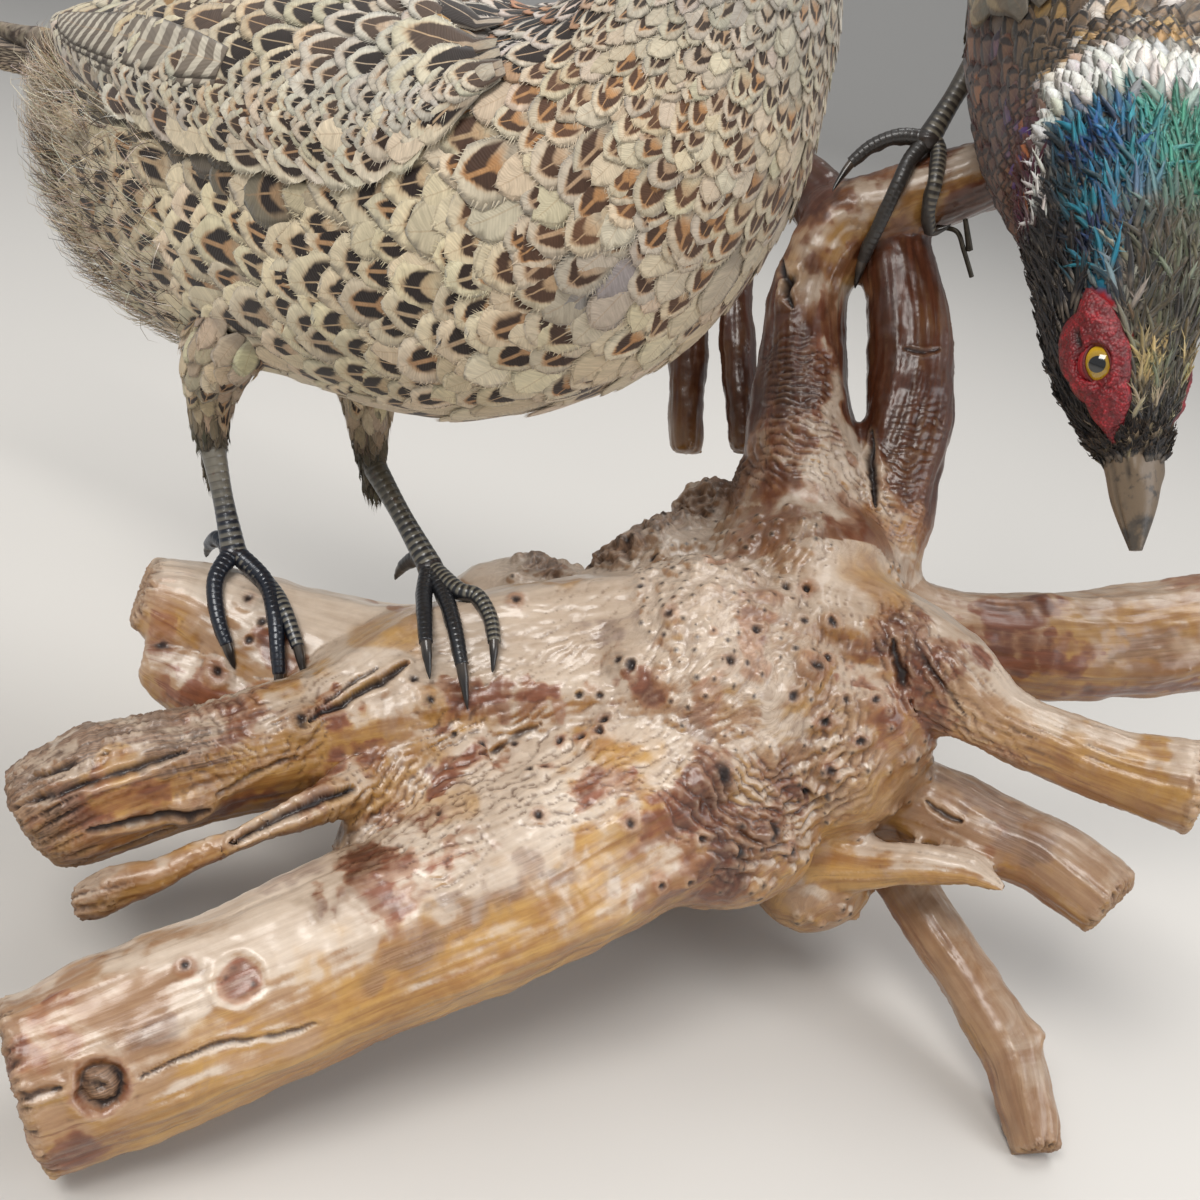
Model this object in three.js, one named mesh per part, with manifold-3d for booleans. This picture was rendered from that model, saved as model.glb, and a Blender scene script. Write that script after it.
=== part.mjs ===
// Mounted pair of ring-necked pheasants on a driftwood root, life size, in millimetres, +Z up.
// The hen stands on the low log of the root; the cock leans down from the high limb.
// The hen is divided into her named parts, the cock is one plain solid, and the root is one piece of wood.
import * as THREE from "three";
import { mergeVertices } from "three/addons/utils/BufferGeometryUtils.js";
import Module from "manifold-3d";

const wasm = await Module();
wasm.setup();

// ---------------------------------------------------------------- sizes
const SHIFT = [-33.34, -616.35, 0]; // from the drawing point on the shelf to the middle of the base
const GAP = 0.35; // clearance between neighbouring solids
const HEN_AT = [-12, 474, 277]; // middle of the hen's trunk
const HEN_HEADING = -35; // degrees from +X, towards the viewer
const TAIL_LENGTH = 232; // hen's tail past the rump
const SHANK_R = 4.1; // hen's tarsus, half its thickness
const TOE_R = 2.8; // hen's toe at its root, half its thickness
const EYE_R = 5.2; // hen's eyeball
const COCK_TAIL = 440; // cock's tail past the rump
const WING_T = 5; // thickness of a folded wing

// ---------------------------------------------------------------- shape tools
const V = (a) => new THREE.Vector3(...a);
const clamp = (x, a, b) => Math.min(b, Math.max(a, x));
const smooth = (a, b, x) => {
  const t = clamp((x - a) / (b - a), 0, 1);
  return t * t * (3 - 2 * t);
};

// Catmull-Rom through a list of numbers, t from 0 to 1.
function along(list, t) {
  const n = list.length - 1,
    x = clamp(t, 0, 1) * n,
    i = Math.min(Math.floor(x), n - 1),
    f = x - i,
    at = (k) => list[clamp(k, 0, n)],
    [a, b, c, d] = [at(i - 1), at(i), at(i + 1), at(i + 2)];
  return 0.5 * (2 * b + (c - a) * f + (2 * a - 5 * b + 4 * c - d) * f * f + (3 * b - a - 3 * c + d) * f * f * f);
}

function meshOf(positions, faces) {
  let volume = 0;
  for (const [a, b, c] of faces) {
    const [p, q, r] = [positions[a], positions[b], positions[c]];
    volume += p[0] * (q[1] * r[2] - q[2] * r[1]) - p[1] * (q[0] * r[2] - q[2] * r[0]) + p[2] * (q[0] * r[1] - q[1] * r[0]);
  }
  const g = new THREE.BufferGeometry();
  g.setAttribute("position", new THREE.Float32BufferAttribute(positions.flat(), 3));
  g.setIndex(faces.flatMap(([a, b, c]) => (volume < 0 ? [a, c, b] : [a, b, c])));
  return g;
}

// A closed skin over rings of points: rings[i][j] is a point, and both ends are closed by a fan.
function skin(rings) {
  const n = rings[0].length,
    pts = rings.flat(),
    faces = [];
  for (let i = 0; i + 1 < rings.length; i++)
    for (let j = 0; j < n; j++) {
      const k = (j + 1) % n,
        a = i * n + j,
        b = i * n + k,
        c = (i + 1) * n + k,
        d = (i + 1) * n + j;
      faces.push([a, b, c], [a, c, d]);
    }
  for (const end of [0, rings.length - 1]) {
    const mid = [0, 1, 2].map((x) => rings[end].reduce((s, p) => s + p[x], 0) / n);
    pts.push(mid);
    for (let j = 0; j < n; j++) {
      const a = end * n + j,
        b = end * n + ((j + 1) % n);
      faces.push(end ? [a, b, pts.length - 1] : [b, a, pts.length - 1]);
    }
  }
  return meshOf(pts, faces);
}

// The section of a body at t: stations hold p (place), w (half width), u (half height above), d (below).
// side is the direction of the body's left.
function sectionAt(stations, t, side, grow = 0) {
  const x = (k) => along(stations.map((s) => s.p[k]), t),
    e = 0.01,
    dx = (k) => along(stations.map((s) => s.p[k]), Math.min(1, t + e)) - along(stations.map((s) => s.p[k]), Math.max(0, t - e)),
    P = V([x(0), x(1), x(2)]),
    T = V([dx(0), dx(1), dx(2)]).normalize(),
    left = V(typeof side === "function" ? side(t) : side),
    L = left.clone().addScaledVector(T, -T.dot(left)).normalize(),
    U = T.clone().cross(L).normalize(),
    pick = (k) => along(stations.map((s) => s[k]), t) + grow;
  return { P, T, L, U, w: pick("w"), u: pick("u"), d: pick("d") };
}
const onSection = (s, a, out = 0, n = 2.15) => {
  const c = Math.cos(a),
    v = Math.sin(a),
    pw = (x) => Math.sign(x) * Math.abs(x) ** (2 / n);
  return s.P.clone()
    .addScaledVector(s.L, (s.w + out) * pw(c))
    .addScaledVector(s.U, ((v > 0 ? s.u : s.d) + out) * pw(v))
    .toArray();
};
function loft(stations, { side = [0, 1, 0], sides = 16, steps = 20, from = 0, to = 1, grow = 0 } = {}) {
  const rings = [];
  for (let i = 0; i <= steps; i++) {
    const s = sectionAt(stations, from + ((to - from) * i) / steps, side, grow);
    rings.push(Array.from({ length: sides }, (_, j) => onSection(s, (2 * Math.PI * j) / sides)));
  }
  return skin(rings);
}

// A limb of wood: control points [x, y, z, r], a section that isn't quite round, and flat ends.
function limb(points, { sides = 11, per = 3, lump = 0.07, seed = 1, grow = 0, twist = 0.4 } = {}) {
  const steps = (points.length - 1) * per,
    rings = [],
    col = (k) => points.map((p) => p[k]);
  let L = null;
  for (let i = 0; i <= steps; i++) {
    const t = i / steps,
      P = V([along(col(0), t), along(col(1), t), along(col(2), t)]),
      a = Math.max(0, t - 0.02),
      b = Math.min(1, t + 0.02),
      T = V([0, 1, 2].map((k) => along(col(k), b) - along(col(k), a))).normalize();
    if (!L) L = Math.abs(T.z) < 0.8 ? V([0, 0, 1]) : V([1, 0, 0]);
    L = L.clone().addScaledVector(T, -T.dot(L)).normalize();
    const U = T.clone().cross(L),
      r = along(col(3), t);
    rings.push(
      Array.from({ length: sides }, (_, j) => {
        const q = (2 * Math.PI * j) / sides,
          m = 1 + lump * Math.sin(2 * q + seed + 5 * t * twist) + 0.6 * lump * Math.sin(3 * q - 2.1 * seed + 9 * t * twist),
          R = r * m + grow;
        return P.clone().addScaledVector(L, R * Math.cos(q)).addScaledVector(U, R * Math.sin(q)).toArray();
      }),
    );
  }
  return skin(rings);
}

// A chain of round segments: points [x, y, z, r].
function chain(points, { sides = 8, per = 2, grow = 0 } = {}) {
  return limb(points, { sides, per, lump: 0, grow });
}

function ball(p, r, w = 12, h = 8, squash = [1, 1, 1]) {
  const g = new THREE.SphereGeometry(r, w, h);
  g.scale(...squash);
  g.rotateX(0.4);
  g.translate(...p);
  return g;
}

// ---------------------------------------------------------------- solids
function solid(geometry, matrix = new THREE.Matrix4()) {
  const g = (geometry.index ? geometry.toNonIndexed() : geometry.clone()).applyMatrix4(matrix);
  g.deleteAttribute("normal");
  g.deleteAttribute("uv");
  const m = mergeVertices(g, 1e-3);
  return new wasm.Manifold(
    new wasm.Mesh({ numProp: 3, vertProperties: new Float32Array(m.attributes.position.array), triVerts: new Uint32Array(m.index.array) }),
  );
}
function geometryOf(made) {
  const m = made.getMesh(),
    n = m.numProp,
    v = new Float32Array(m.numVert * 3);
  for (let i = 0; i < m.numVert; i++) v.set(m.vertProperties.subarray(i * n, i * n + 3), i * 3);
  const g = new THREE.BufferGeometry();
  g.setAttribute("position", new THREE.BufferAttribute(v, 3));
  g.setIndex(new THREE.BufferAttribute(new Uint32Array(m.triVerts), 1));
  g.computeVertexNormals();
  return g;
}
const union = (list) => list.reduce((a, b) => a.add(b));
const biggest = (made) => made.decompose().reduce((a, b) => (b.volume() > a.volume() ? b : a));

// ---------------------------------------------------------------- the driftwood root
const LIMBS = {
  // the long front limb, which rests on the floor near its sawn end
  front: { p: [[-81.5, 285.2, 30, 27], [-40, 304, 42, 29.2], [7, 328, 55, 30.5], [56, 352, 69, 33.2], [98, 380, 85, 38], [138, 414, 97, 47]], seed: 2.2, per: 1 },
  // the split log that the hen stands on, and the short stub beside it
  log: { p: [[-101, 362, 66, 19.5], [-80, 371, 77, 24], [-50, 381, 85, 21.5], [-18, 399, 88, 25], [20, 424, 86, 44], [62, 432, 88, 54], [110, 432, 96, 60]], seed: 0.6, per: 1 },
  stub: { p: [[-88, 455, 107, 14.5], [-66, 457, 101, 20], [-38, 453, 94, 26], [0, 448, 84, 36], [50, 440, 84, 46]], seed: 3.1, sides: 9 },
  splinter: { p: [[-82, 337, 53, 7], [-57, 342, 62, 5], [-34, 351, 72, 3.6], [-13, 362, 79, 4.4], [4, 379, 83, 8.5], [24, 392, 90, 16]], seed: 1.2, sides: 7, per: 1 },
  // the wood that fills the fork between stub and log, and the web between log and front limb
  shoulder: { p: [[-84, 441, 84, 8], [-62, 438, 78, 18], [-40, 436, 74, 21], [-12, 436, 76, 30]], seed: 1.4, sides: 7 },
  web: { p: [[0, 366, 58, 9], [10, 372, 62, 16], [26, 380, 67, 25], [48, 392, 74, 36]], seed: 2.4, sides: 7 },
  // the high limb that the cock grips
  high: { p: [[170, 470, 150, 40], [165, 494, 187, 27], [160, 519, 217, 20], [159, 541, 250, 17], [167, 549, 278, 18], [189, 544, 292, 16], [216, 538, 309, 13.8], [245, 537, 325, 13], [276, 540, 337, 12], [300, 543, 344, 9]], seed: 0.3 },
  arch: { p: [[181, 551, 280, 14], [193, 540, 269, 15.5], [201, 520, 246, 17.8], [204, 500, 216, 18.2], [199, 475, 181, 17.5], [189, 454, 152, 21], [178, 434, 130, 30]], seed: 2.7, sides: 9 },
  behind: { p: [[168, 551, 278, 15], [155, 586, 287, 13], [142, 616, 286, 12], [127, 628, 269, 11], [122, 616, 238, 11], [126, 596, 200, 10.5], [132, 572, 157, 9.5]], seed: 1.9, sides: 7 },
  stick: { p: [[144, 613, 287, 10], [139, 617, 259, 9], [143, 598, 227, 8.5], [149, 576, 196, 8.2], [155, 557, 169, 7.5]], seed: 0.9, sides: 7 },
  // the two limbs to the right
  right: { p: [[174, 426, 140, 38], [197, 412, 149, 25], [211, 399, 149, 21], [227, 384, 144, 13], [242, 374, 144, 11.8], [264, 360, 145, 14], [285, 349, 149, 17.5]], seed: 1.1, sides: 9, per: 1 },
  rightBack: { p: [[197, 454, 139, 26], [231, 451, 141, 20], [274, 450, 145, 22.3], [312, 454, 151, 24.3], [352, 456, 162, 24.5], [398, 459, 169, 22.2]], seed: 2.5, sides: 9, per: 1 },
  rightUp: { p: [[345, 456, 160, 13], [356, 462, 180, 10], [366, 468, 196, 7]], seed: 0.2, sides: 7, per: 1 },
  // lower roots
  cut: { p: [[192, 428, 82, 28], [217, 406, 90, 18], [237, 387, 95, 16.5], [257, 371, 97, 15.5], [277, 351, 93, 15.5]], seed: 2.0, sides: 7, per: 1 },
  thin: { p: [[182, 402, 60, 20], [196, 386, 72, 10.5], [213, 374, 84, 8], [228, 365, 90, 6.5], [240, 356, 90, 3.5]], seed: 0.5, sides: 7, per: 1 },
  leg: { p: [[200, 440, 84, 24], [216, 424, 64, 15], [230, 396, 48, 12], [246, 367, 37, 12.5], [260, 343, 25, 11.5], [265, 327, 13, 11], [267, 314, 5.5, 9.5]], seed: 1.5, sides: 7, per: 1 },
  spur: { p: [[255, 344, 26, 7], [266, 345, 32, 4.5], [271, 344, 36, 2.5]], seed: 1.5, sides: 6, per: 1 },
  // the hidden rear roots that carry the burl
  heel: { p: [[120, 470, 70, 40], [108, 510, 40, 26], [98, 540, 8, 20]], seed: 0.8, sides: 7, per: 1 },
  heelRight: { p: [[180, 460, 70, 34], [212, 496, 40, 20], [232, 524, 6, 16]], seed: 2.9, sides: 7, per: 1 },
  // the knot under the sawn end of the front limb
  knot: { p: [[-42, 316, 34, 12], [-44, 315, 10, 15], [-44, 315, -6, 15]], seed: 0.4, sides: 7, per: 1 },
};
const BURL = [
  [[134, 430, 108], 60, [1.12, 0.95, 1.05]],
  [[92, 436, 98], 48, [1.1, 1, 1]],
  [[166, 462, 140], 46, [1, 1, 1.15]],
  [[176, 420, 112], 46, [1, 1, 1.1]],
  [[186, 402, 50], 23, [1.15, 1, 1]],
  [[134, 388, 82], 34, [1.3, 1, 0.9]],
  [[206, 408, 104], 15, [0.9, 1, 1.6]],
  [[120, 480, 130], 32, [1.15, 1, 1]],
  [[70, 494, 103], 27, [1.7, 0.8, 1]],
  [[140, 505, 154], 19, [1.3, 1, 1]],
];
function wood(grow = 0) {
  const parts = [
    ...Object.values(LIMBS).map((l) => solid(limb(l.p, { sides: Math.min(l.sides || 8, 8), per: l.per || 1, seed: l.seed, grow }))),
    ...BURL.map(([p, r, s]) => solid(ball(p, r + grow, 10, 6, s))),
  ];
  const floor = new THREE.BoxGeometry(2000, 2000, 400);
  floor.translate(0, 500, -200 - grow);
  return biggest(union(parts).subtract(solid(floor)));
}

// ---------------------------------------------------------------- the hen, in her own frame: +X ahead, +Y left
const HEN = [
  { p: [-162, 0, 4], w: 16, u: 12, d: 15 },
  { p: [-146, 0, 0], w: 29, u: 23, d: 50 },
  { p: [-114, 0, -6], w: 45, u: 40, d: 75 },
  { p: [-72, 0, -9], w: 59, u: 55, d: 81 },
  { p: [-25, 0, -8], w: 65, u: 62, d: 78 },
  { p: [25, 0, -2], w: 66, u: 64, d: 78 },
  { p: [66, 0, 12], w: 63, u: 60, d: 68 },
  { p: [93, 0, 38], w: 54, u: 52, d: 52 },
  { p: [106, 0, 70], w: 40, u: 42, d: 36 },
  { p: [109, 0, 100], w: 28, u: 30, d: 26 },
  { p: [110, 0, 130], w: 20.5, u: 22, d: 19 },
  { p: [113, 0, 157], w: 17, u: 18, d: 16 },
  { p: [122, 0, 177.5], w: 16.5, u: 17.5, d: 15.5 },
  { p: [138, 0, 187.5], w: 14, u: 14, d: 14.5 },
  { p: [152.6, 0, 185.6], w: 7.4, u: 8, d: 8 },
];
const HEN_NECK = 8 / 14,
  HEN_HEAD = 11.3 / 14;
const BILL_UP = [
  { p: [153.6, 0, 186.2], w: 5.6, u: 5.8, d: 2.2 },
  { p: [163, 0, 184], w: 4.6, u: 5.4, d: 2.2 },
  { p: [173, 0, 180], w: 3, u: 4, d: 2 },
  { p: [180, 0, 174], w: 1, u: 1.4, d: 1.4 },
];
const BILL_LOW = [
  { p: [153.6, 0, 180.2], w: 4.8, u: 3, d: 3.2 },
  { p: [163, 0, 178.8], w: 3.9, u: 2.4, d: 2.6 },
  { p: [171, 0, 175.6], w: 2.4, u: 1.6, d: 1.6 },
  { p: [175, 0, 173.2], w: 0.9, u: 0.7, d: 0.7 },
];
const EYE_AT = [132.5, 10.9, 188.6];
const HEN_TAIL = [
  { p: [-160.6, 0, 5], w: 15, u: 8, d: 7 },
  { p: [-190, 0, 5], w: 20, u: 7, d: 5 },
  { p: [-240, 0, 3], w: 20, u: 5.5, d: 4 },
  { p: [-300, 0, -1], w: 15, u: 4, d: 3 },
  { p: [-352, 0, -5], w: 9, u: 2.6, d: 2 },
  { p: [-160 - TAIL_LENGTH, 0, -9], w: 3, u: 1, d: 1 },
];
const UP_AXIS = [0, 1, 0];

// A folded wing: a shell over the trunk between a low line and a high one, from the tips (f = 0) to the wrist (f = 1).
function foldedWing(body, side, { axis, from, to, low, top, thick, n = 9, m = 4 }) {
  const outer = [],
    inner = [];
  for (let i = 0; i <= n; i++) {
    const f = i / n,
      s = sectionAt(body, from + (to - from) * f, axis);
    outer.push([]);
    inner.push([]);
    for (let j = 0; j <= m; j++) {
      const g = j / m,
        a = low(f) + (top(f) - low(f)) * g,
        edge = Math.min(1, 5 * g + 0.15, 5 * (1 - g) + 0.15, 6 * (1 - f) + 0.15),
        q = side > 0 ? a : Math.PI - a;
      outer[i].push(onSection(s, q, 0.9 + thick * edge));
      inner[i].push(onSection(s, q, -3));
    }
  }
  const pts = [...outer.flat(), ...inner.flat()],
    id = (k, i, j) => k * (n + 1) * (m + 1) + i * (m + 1) + j,
    faces = [];
  for (let i = 0; i < n; i++)
    for (let j = 0; j < m; j++) {
      faces.push([id(0, i, j), id(0, i + 1, j), id(0, i + 1, j + 1)], [id(0, i, j), id(0, i + 1, j + 1), id(0, i, j + 1)]);
      faces.push([id(1, i, j), id(1, i + 1, j + 1), id(1, i + 1, j)], [id(1, i, j), id(1, i, j + 1), id(1, i + 1, j + 1)]);
    }
  const rim = [];
  for (let i = 0; i < n; i++) rim.push([i, 0]);
  for (let j = 0; j < m; j++) rim.push([n, j]);
  for (let i = n; i > 0; i--) rim.push([i, m]);
  for (let j = m; j > 0; j--) rim.push([0, j]);
  rim.forEach(([i, j], k) => {
    const [x, y] = rim[(k + 1) % rim.length];
    faces.push([id(0, i, j), id(1, i, j), id(1, x, y)], [id(0, i, j), id(1, x, y), id(0, x, y)]);
  });
  return meshOf(pts, faces);
}
const HEN_WING = {
  axis: UP_AXIS, from: 0.05 / 14, to: 6.35 / 14, thick: WING_T,
  low: (f) => 0.3 + 0.28 * smooth(0.3, 0, f) - 0.1 * smooth(0.3, 0.7, f) + 0.25 * smooth(0.8, 1, f),
  top: (f) => 1.4 - 0.2 * f - 0.2 * smooth(0.75, 1, f),
};

// ---------------------------------------------------------------- the hen's legs
const turn = THREE.MathUtils.degToRad(HEN_HEADING);
const henPlace = new THREE.Matrix4().makeRotationZ(turn).setPosition(...HEN_AT);
// each toe is a run of points from the joint to the root of the claw; the last point is the claw's tip
const LEGS = {
  right: {
    hip: [-58, 462, 222], knee: [-70, 474, 198], shin: [-73, 481, 179], ankle: [-71, 480, 161.5], foot: [-57, 461, 127],
    toes: {
      inner: [[-61, 448, 120.5], [-57.8, 437.4, 111.5], [-52.6, 430.6, 103.4], [-48.6, 428, 95]],
      middle: [[-43.5, 451.6, 121.4], [-37, 436, 115.8], [-34, 427, 107.4], [-31.8, 421.4, 99.4], [-31, 417, 87.4]],
      outer: [[-41, 450, 119.6], [-33.5, 437.6, 117], [-26.5, 426.6, 109], [-21.8, 419.4, 97.8]],
      hind: [[-64, 468, 128], [-68, 474.5, 121.4], [-69.4, 477.6, 114]],
    },
  },
  left: {
    hip: [-16, 482, 226], knee: [-16.5, 487, 200], shin: [-14, 487.5, 180], ankle: [-10.5, 485, 163], foot: [17.6, 447.6, 139.6],
    toes: {
      inner: [[16.4, 434, 135.6], [17.2, 419, 134.4], [18.8, 405.6, 130.4], [22, 397.6, 120.6]],
      middle: [[23.8, 431.6, 136.8], [28.4, 414, 133.6], [32.4, 400.6, 126.4], [36.8, 393.4, 112.6]],
      outer: [[28.4, 432, 139.6], [35.6, 427.4, 140.4], [40.9, 418, 137.4], [43, 408, 133.4], [43.7, 400.6, 125]],
      hind: [[12.4, 455, 139.2], [7.6, 460.6, 131.6], [5.4, 463, 124]],
    },
  },
};
const pt = (p, r) => [...p, r];
function foot({ ankle, foot, toes }, { shank = SHANK_R, toe = TOE_R, grow = 0, sides = 5 } = {}) {
  const mid = ankle.map((x, k) => x * 0.5 + foot[k] * 0.5),
    made = [chain([pt(ankle, shank * 1.12), pt(mid, shank * 0.94), pt(foot, shank * 1.1)], { sides: 7, per: 1, grow })];
  for (const run of Object.values(toes)) {
    const body = run.slice(0, -1);
    made.push(chain([pt(foot, toe * 1.05), ...body.map((p, i) => pt(p, toe * (1 - 0.28 * ((i + 1) / body.length) ** 1.5)))], { sides, per: 1, grow }));
  }
  return union([...made.map((g) => solid(g)), solid(ball(foot, shank * 1.25 + grow, 7, 5))]);
}
// a claw starts just past the end of its toe and curves to a point
function claw(run, { toe = TOE_R, gap = GAP } = {}) {
  const a = V(run.at(-2)),
    before = V(run.at(-3) ?? run.at(-2)),
    tip = V(run.at(-1)),
    T = a.clone().sub(before).normalize(),
    start = a.clone().addScaledVector(T, gap),
    mid = start.clone().lerp(tip, 0.5).addScaledVector(T, 0.9);
  return chain([pt(start.toArray(), toe * 0.66), pt(mid.toArray(), toe * 0.46), pt(tip.toArray(), toe * 0.12)], { sides: 6, per: 1 });
}
const thigh = (l, grow = 0, r = [26, 17, 10.5, 6.2]) => chain([pt(l.hip, r[0]), pt(l.knee, r[1]), pt(l.shin, r[2]), pt(l.ankle, r[3])], { sides: 10, per: 2, grow });

// ---------------------------------------------------------------- the cock, leaning down from the high limb
const COCK = [
  { p: [252, 640, 470], w: 20, u: 15, d: 18 },
  { p: [251, 610, 447], w: 36, u: 31, d: 36 },
  { p: [249, 575, 424], w: 51, u: 46, d: 54 },
  { p: [246, 535, 400], w: 60, u: 57, d: 65 },
  { p: [239, 492, 376], w: 61, u: 60, d: 71 },
  { p: [227, 455, 358], w: 53, u: 50, d: 67 },
  { p: [213, 424, 347], w: 41, u: 37, d: 55 },
  { p: [200, 396, 342], w: 31, u: 29, d: 40 },
  { p: [193.5, 371, 327], w: 27, u: 27, d: 34 },
  { p: [191, 351, 311], w: 22.5, u: 24, d: 28 },
  { p: [190, 336, 294], w: 18.5, u: 18, d: 22 },
  { p: [191.5, 325, 280.5], w: 14, u: 13, d: 16.5 },
  { p: [194, 317, 270], w: 8.4, u: 7.4, d: 8.8 },
  { p: [195.8, 309.6, 258.6], w: 5.8, u: 5.2, d: 6.2 },
  { p: [197, 303, 248], w: 1.5, u: 1.8, d: 1.6 },
];
// the body's left is to the right of the base, and the head is turned so that its right cheek looks up
const COCK_LEFT = (t) => {
  const k = smooth(6 / 14, 10 / 14, t);
  return [1 - 0.1 * k, -0.1 + 0.54 * k, -0.08 * k];
};
const COCK_TAIL_RUN = [
  { p: [252, 618, 455], w: 20, u: 12, d: 12 },
  { p: [252, 632 + 0.1 * COCK_TAIL * 0.766, 466 + 0.1 * COCK_TAIL * 0.643], w: 25, u: 9, d: 11 },
  { p: [253, 632 + 0.35 * COCK_TAIL * 0.766, 466 + 0.35 * COCK_TAIL * 0.65], w: 25, u: 7, d: 7 },
  { p: [254, 632 + 0.7 * COCK_TAIL * 0.766, 466 + 0.7 * COCK_TAIL * 0.64], w: 16, u: 5, d: 4 },
  { p: [255, 632 + COCK_TAIL * 0.766, 466 + COCK_TAIL * 0.61], w: 3, u: 1.5, d: 1.5 },
];
const COCK_WING = {
  axis: COCK_LEFT, from: 0.5 / 14, to: 5.3 / 14, thick: 6, n: 8, m: 4,
  low: (f) => -0.1 + 0.5 * smooth(0.4, 0, f) + 0.3 * smooth(0.8, 1, f),
  top: (f) => 1.35 - 0.25 * f,
};
const COCK_LEGS = {
  right: {
    hip: [214, 566, 388], knee: [212, 563, 372], shin: [209, 560, 360], ankle: [206, 557, 352], foot: [190, 541, 318],
    toes: {
      inner: [[179, 543, 317], [169.6, 545, 311], [163, 545, 303], [156.6, 538, 291.6]],
      middle: [[184, 536.6, 310], [180, 530, 301.6], [176.4, 528.8, 282], [175.6, 532.8, 268], [176.4, 534, 255.8]],
      outer: [[194.4, 538, 316], [193, 526, 304.8], [193.6, 525.4, 294], [198.4, 528.6, 285], [205, 526, 290]],
      hind: [[193, 549, 320], [195, 556, 316], [196, 560, 309]],
    },
  },
  left: {
    hip: [243, 566, 396], knee: [245, 563, 384], shin: [247, 559, 375], ankle: [249, 556, 368], foot: [254, 540, 348],
    toes: {
      inner: [[250, 530, 347], [247.6, 521, 340], [247, 518, 330], [248, 518, 321]],
      middle: [[256, 529, 349], [258, 519, 343], [260, 515.6, 331], [261, 516, 320]],
      outer: [[262, 531, 350], [268, 524, 347], [272, 520, 339], [274, 519, 331]],
      hind: [[252, 549, 348], [251, 555, 343], [251, 558, 336]],
    },
  },
};
// the twisted end of the wire that ties the cock's foot to the limb
const WIRE = [
  [[202, 532, 287, 1], [207.5, 524, 288, 1], [212.5, 522.5, 281.5, 1], [219, 521.5, 272, 1]],
  [[208.5, 521.6, 293.6, 1], [213, 522.4, 285.6, 1.3], [214.6, 522, 282, 1.5]],
];

// ---------------------------------------------------------------- all the solids
const woodBase = wood(0),
  woodGrown = wood(GAP),
  parts = {};
parts.driftwood_mount = { made: woodBase, look: "wood" };

// trunk, neck and head are one loft parted by thin cuts
const cutGap = GAP / 2 / 350;
const henLoft = (from, to, steps, sides, grow = 0) => solid(loft(HEN, { side: UP_AXIS, from, to, steps, sides, grow }), henPlace);
const trunkGrown = henLoft(0, HEN_NECK - cutGap, 11, 15, GAP);
parts.hen_trunk = { made: henLoft(0, HEN_NECK - cutGap, 11, 15), look: "feather" };
parts.hen_neck = { made: henLoft(HEN_NECK + cutGap * 2, HEN_HEAD - cutGap * 2, 5, 15), look: "feather" };
const eyes = Object.fromEntries(["left", "right"].map((side, k) => {
  const p = [EYE_AT[0], k ? -EYE_AT[1] : EYE_AT[1], EYE_AT[2]];
  return [side, (grow) => solid(ball(p, EYE_R + grow, 11, 7), henPlace)];
}));
parts.hen_head = { made: henLoft(HEN_HEAD + cutGap * 2, 1, 7, 15).subtract(eyes.left(GAP)).subtract(eyes.right(GAP)), look: "feather" };
parts.hen_eye_left = { made: eyes.left(0), look: "eye" };
parts.hen_eye_right = { made: eyes.right(0), look: "eye" };
parts.hen_bill_upper = { made: solid(loft(BILL_UP, { side: UP_AXIS, steps: 6, sides: 8 }), henPlace), look: "horn" };
parts.hen_bill_lower = { made: solid(loft(BILL_LOW, { side: UP_AXIS, steps: 5, sides: 8 }), henPlace), look: "horn" };
for (const [side, k] of [["left", 1], ["right", -1]])
  parts["hen_wing_" + side] = { made: biggest(solid(foldedWing(HEN, k, HEN_WING), henPlace).subtract(trunkGrown)), look: "feather" };
const wingsGrown = union([1, -1].map((k) => solid(foldedWing(HEN, k, { ...HEN_WING, thick: WING_T + GAP }), henPlace)));
parts.hen_tail = { made: biggest(solid(loft(HEN_TAIL, { side: UP_AXIS, steps: 9, sides: 8 }), henPlace).subtract(trunkGrown).subtract(wingsGrown)), look: "feather" };
for (const side of ["left", "right"]) {
  const l = LEGS[side];
  parts["hen_thigh_" + side] = { made: biggest(solid(thigh(l)).subtract(trunkGrown)), look: "feather" };
  const whole = foot(l),
    thighGrown = solid(thigh(l, GAP)).add(solid(ball(l.ankle, 6 + GAP, 8, 5)));
  parts["hen_foot_" + side] = { made: biggest(whole.subtract(thighGrown).subtract(woodGrown)), look: "skin" };
  const footGrown = foot(l, { grow: GAP });
  for (const [name, run] of Object.entries(l.toes))
    parts[`hen_claw_${side}_${name}`] = { made: biggest(solid(claw(run)).subtract(footGrown).subtract(woodGrown)), look: "horn" };
}

const cockSolids = [
  solid(loft(COCK, { side: COCK_LEFT, steps: 17, sides: 12 })),
  solid(loft(COCK_TAIL_RUN, { side: [1, 0, 0], steps: 8, sides: 8 })),
  ...[1, -1].map((k) => solid(foldedWing(COCK, k, { ...COCK_WING, n: 7, m: 3 }))),
];
for (const l of Object.values(COCK_LEGS)) {
  cockSolids.push(solid(thigh(l, 0, [24, 17, 11, 7])), foot(l, { shank: 4.4, toe: 3.3, sides: 5 }));
  for (const run of Object.values(l.toes)) cockSolids.push(solid(claw(run, { toe: 3.6, gap: -1 })));
}
parts.cock = { made: biggest(union(cockSolids).subtract(woodGrown)), look: "cock" };
parts.leg_wire = { made: biggest(union(WIRE.map((w) => solid(chain(w, { sides: 6, per: 1 })))).subtract(woodGrown).subtract(union(cockSolids))), look: "wire" };

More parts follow.
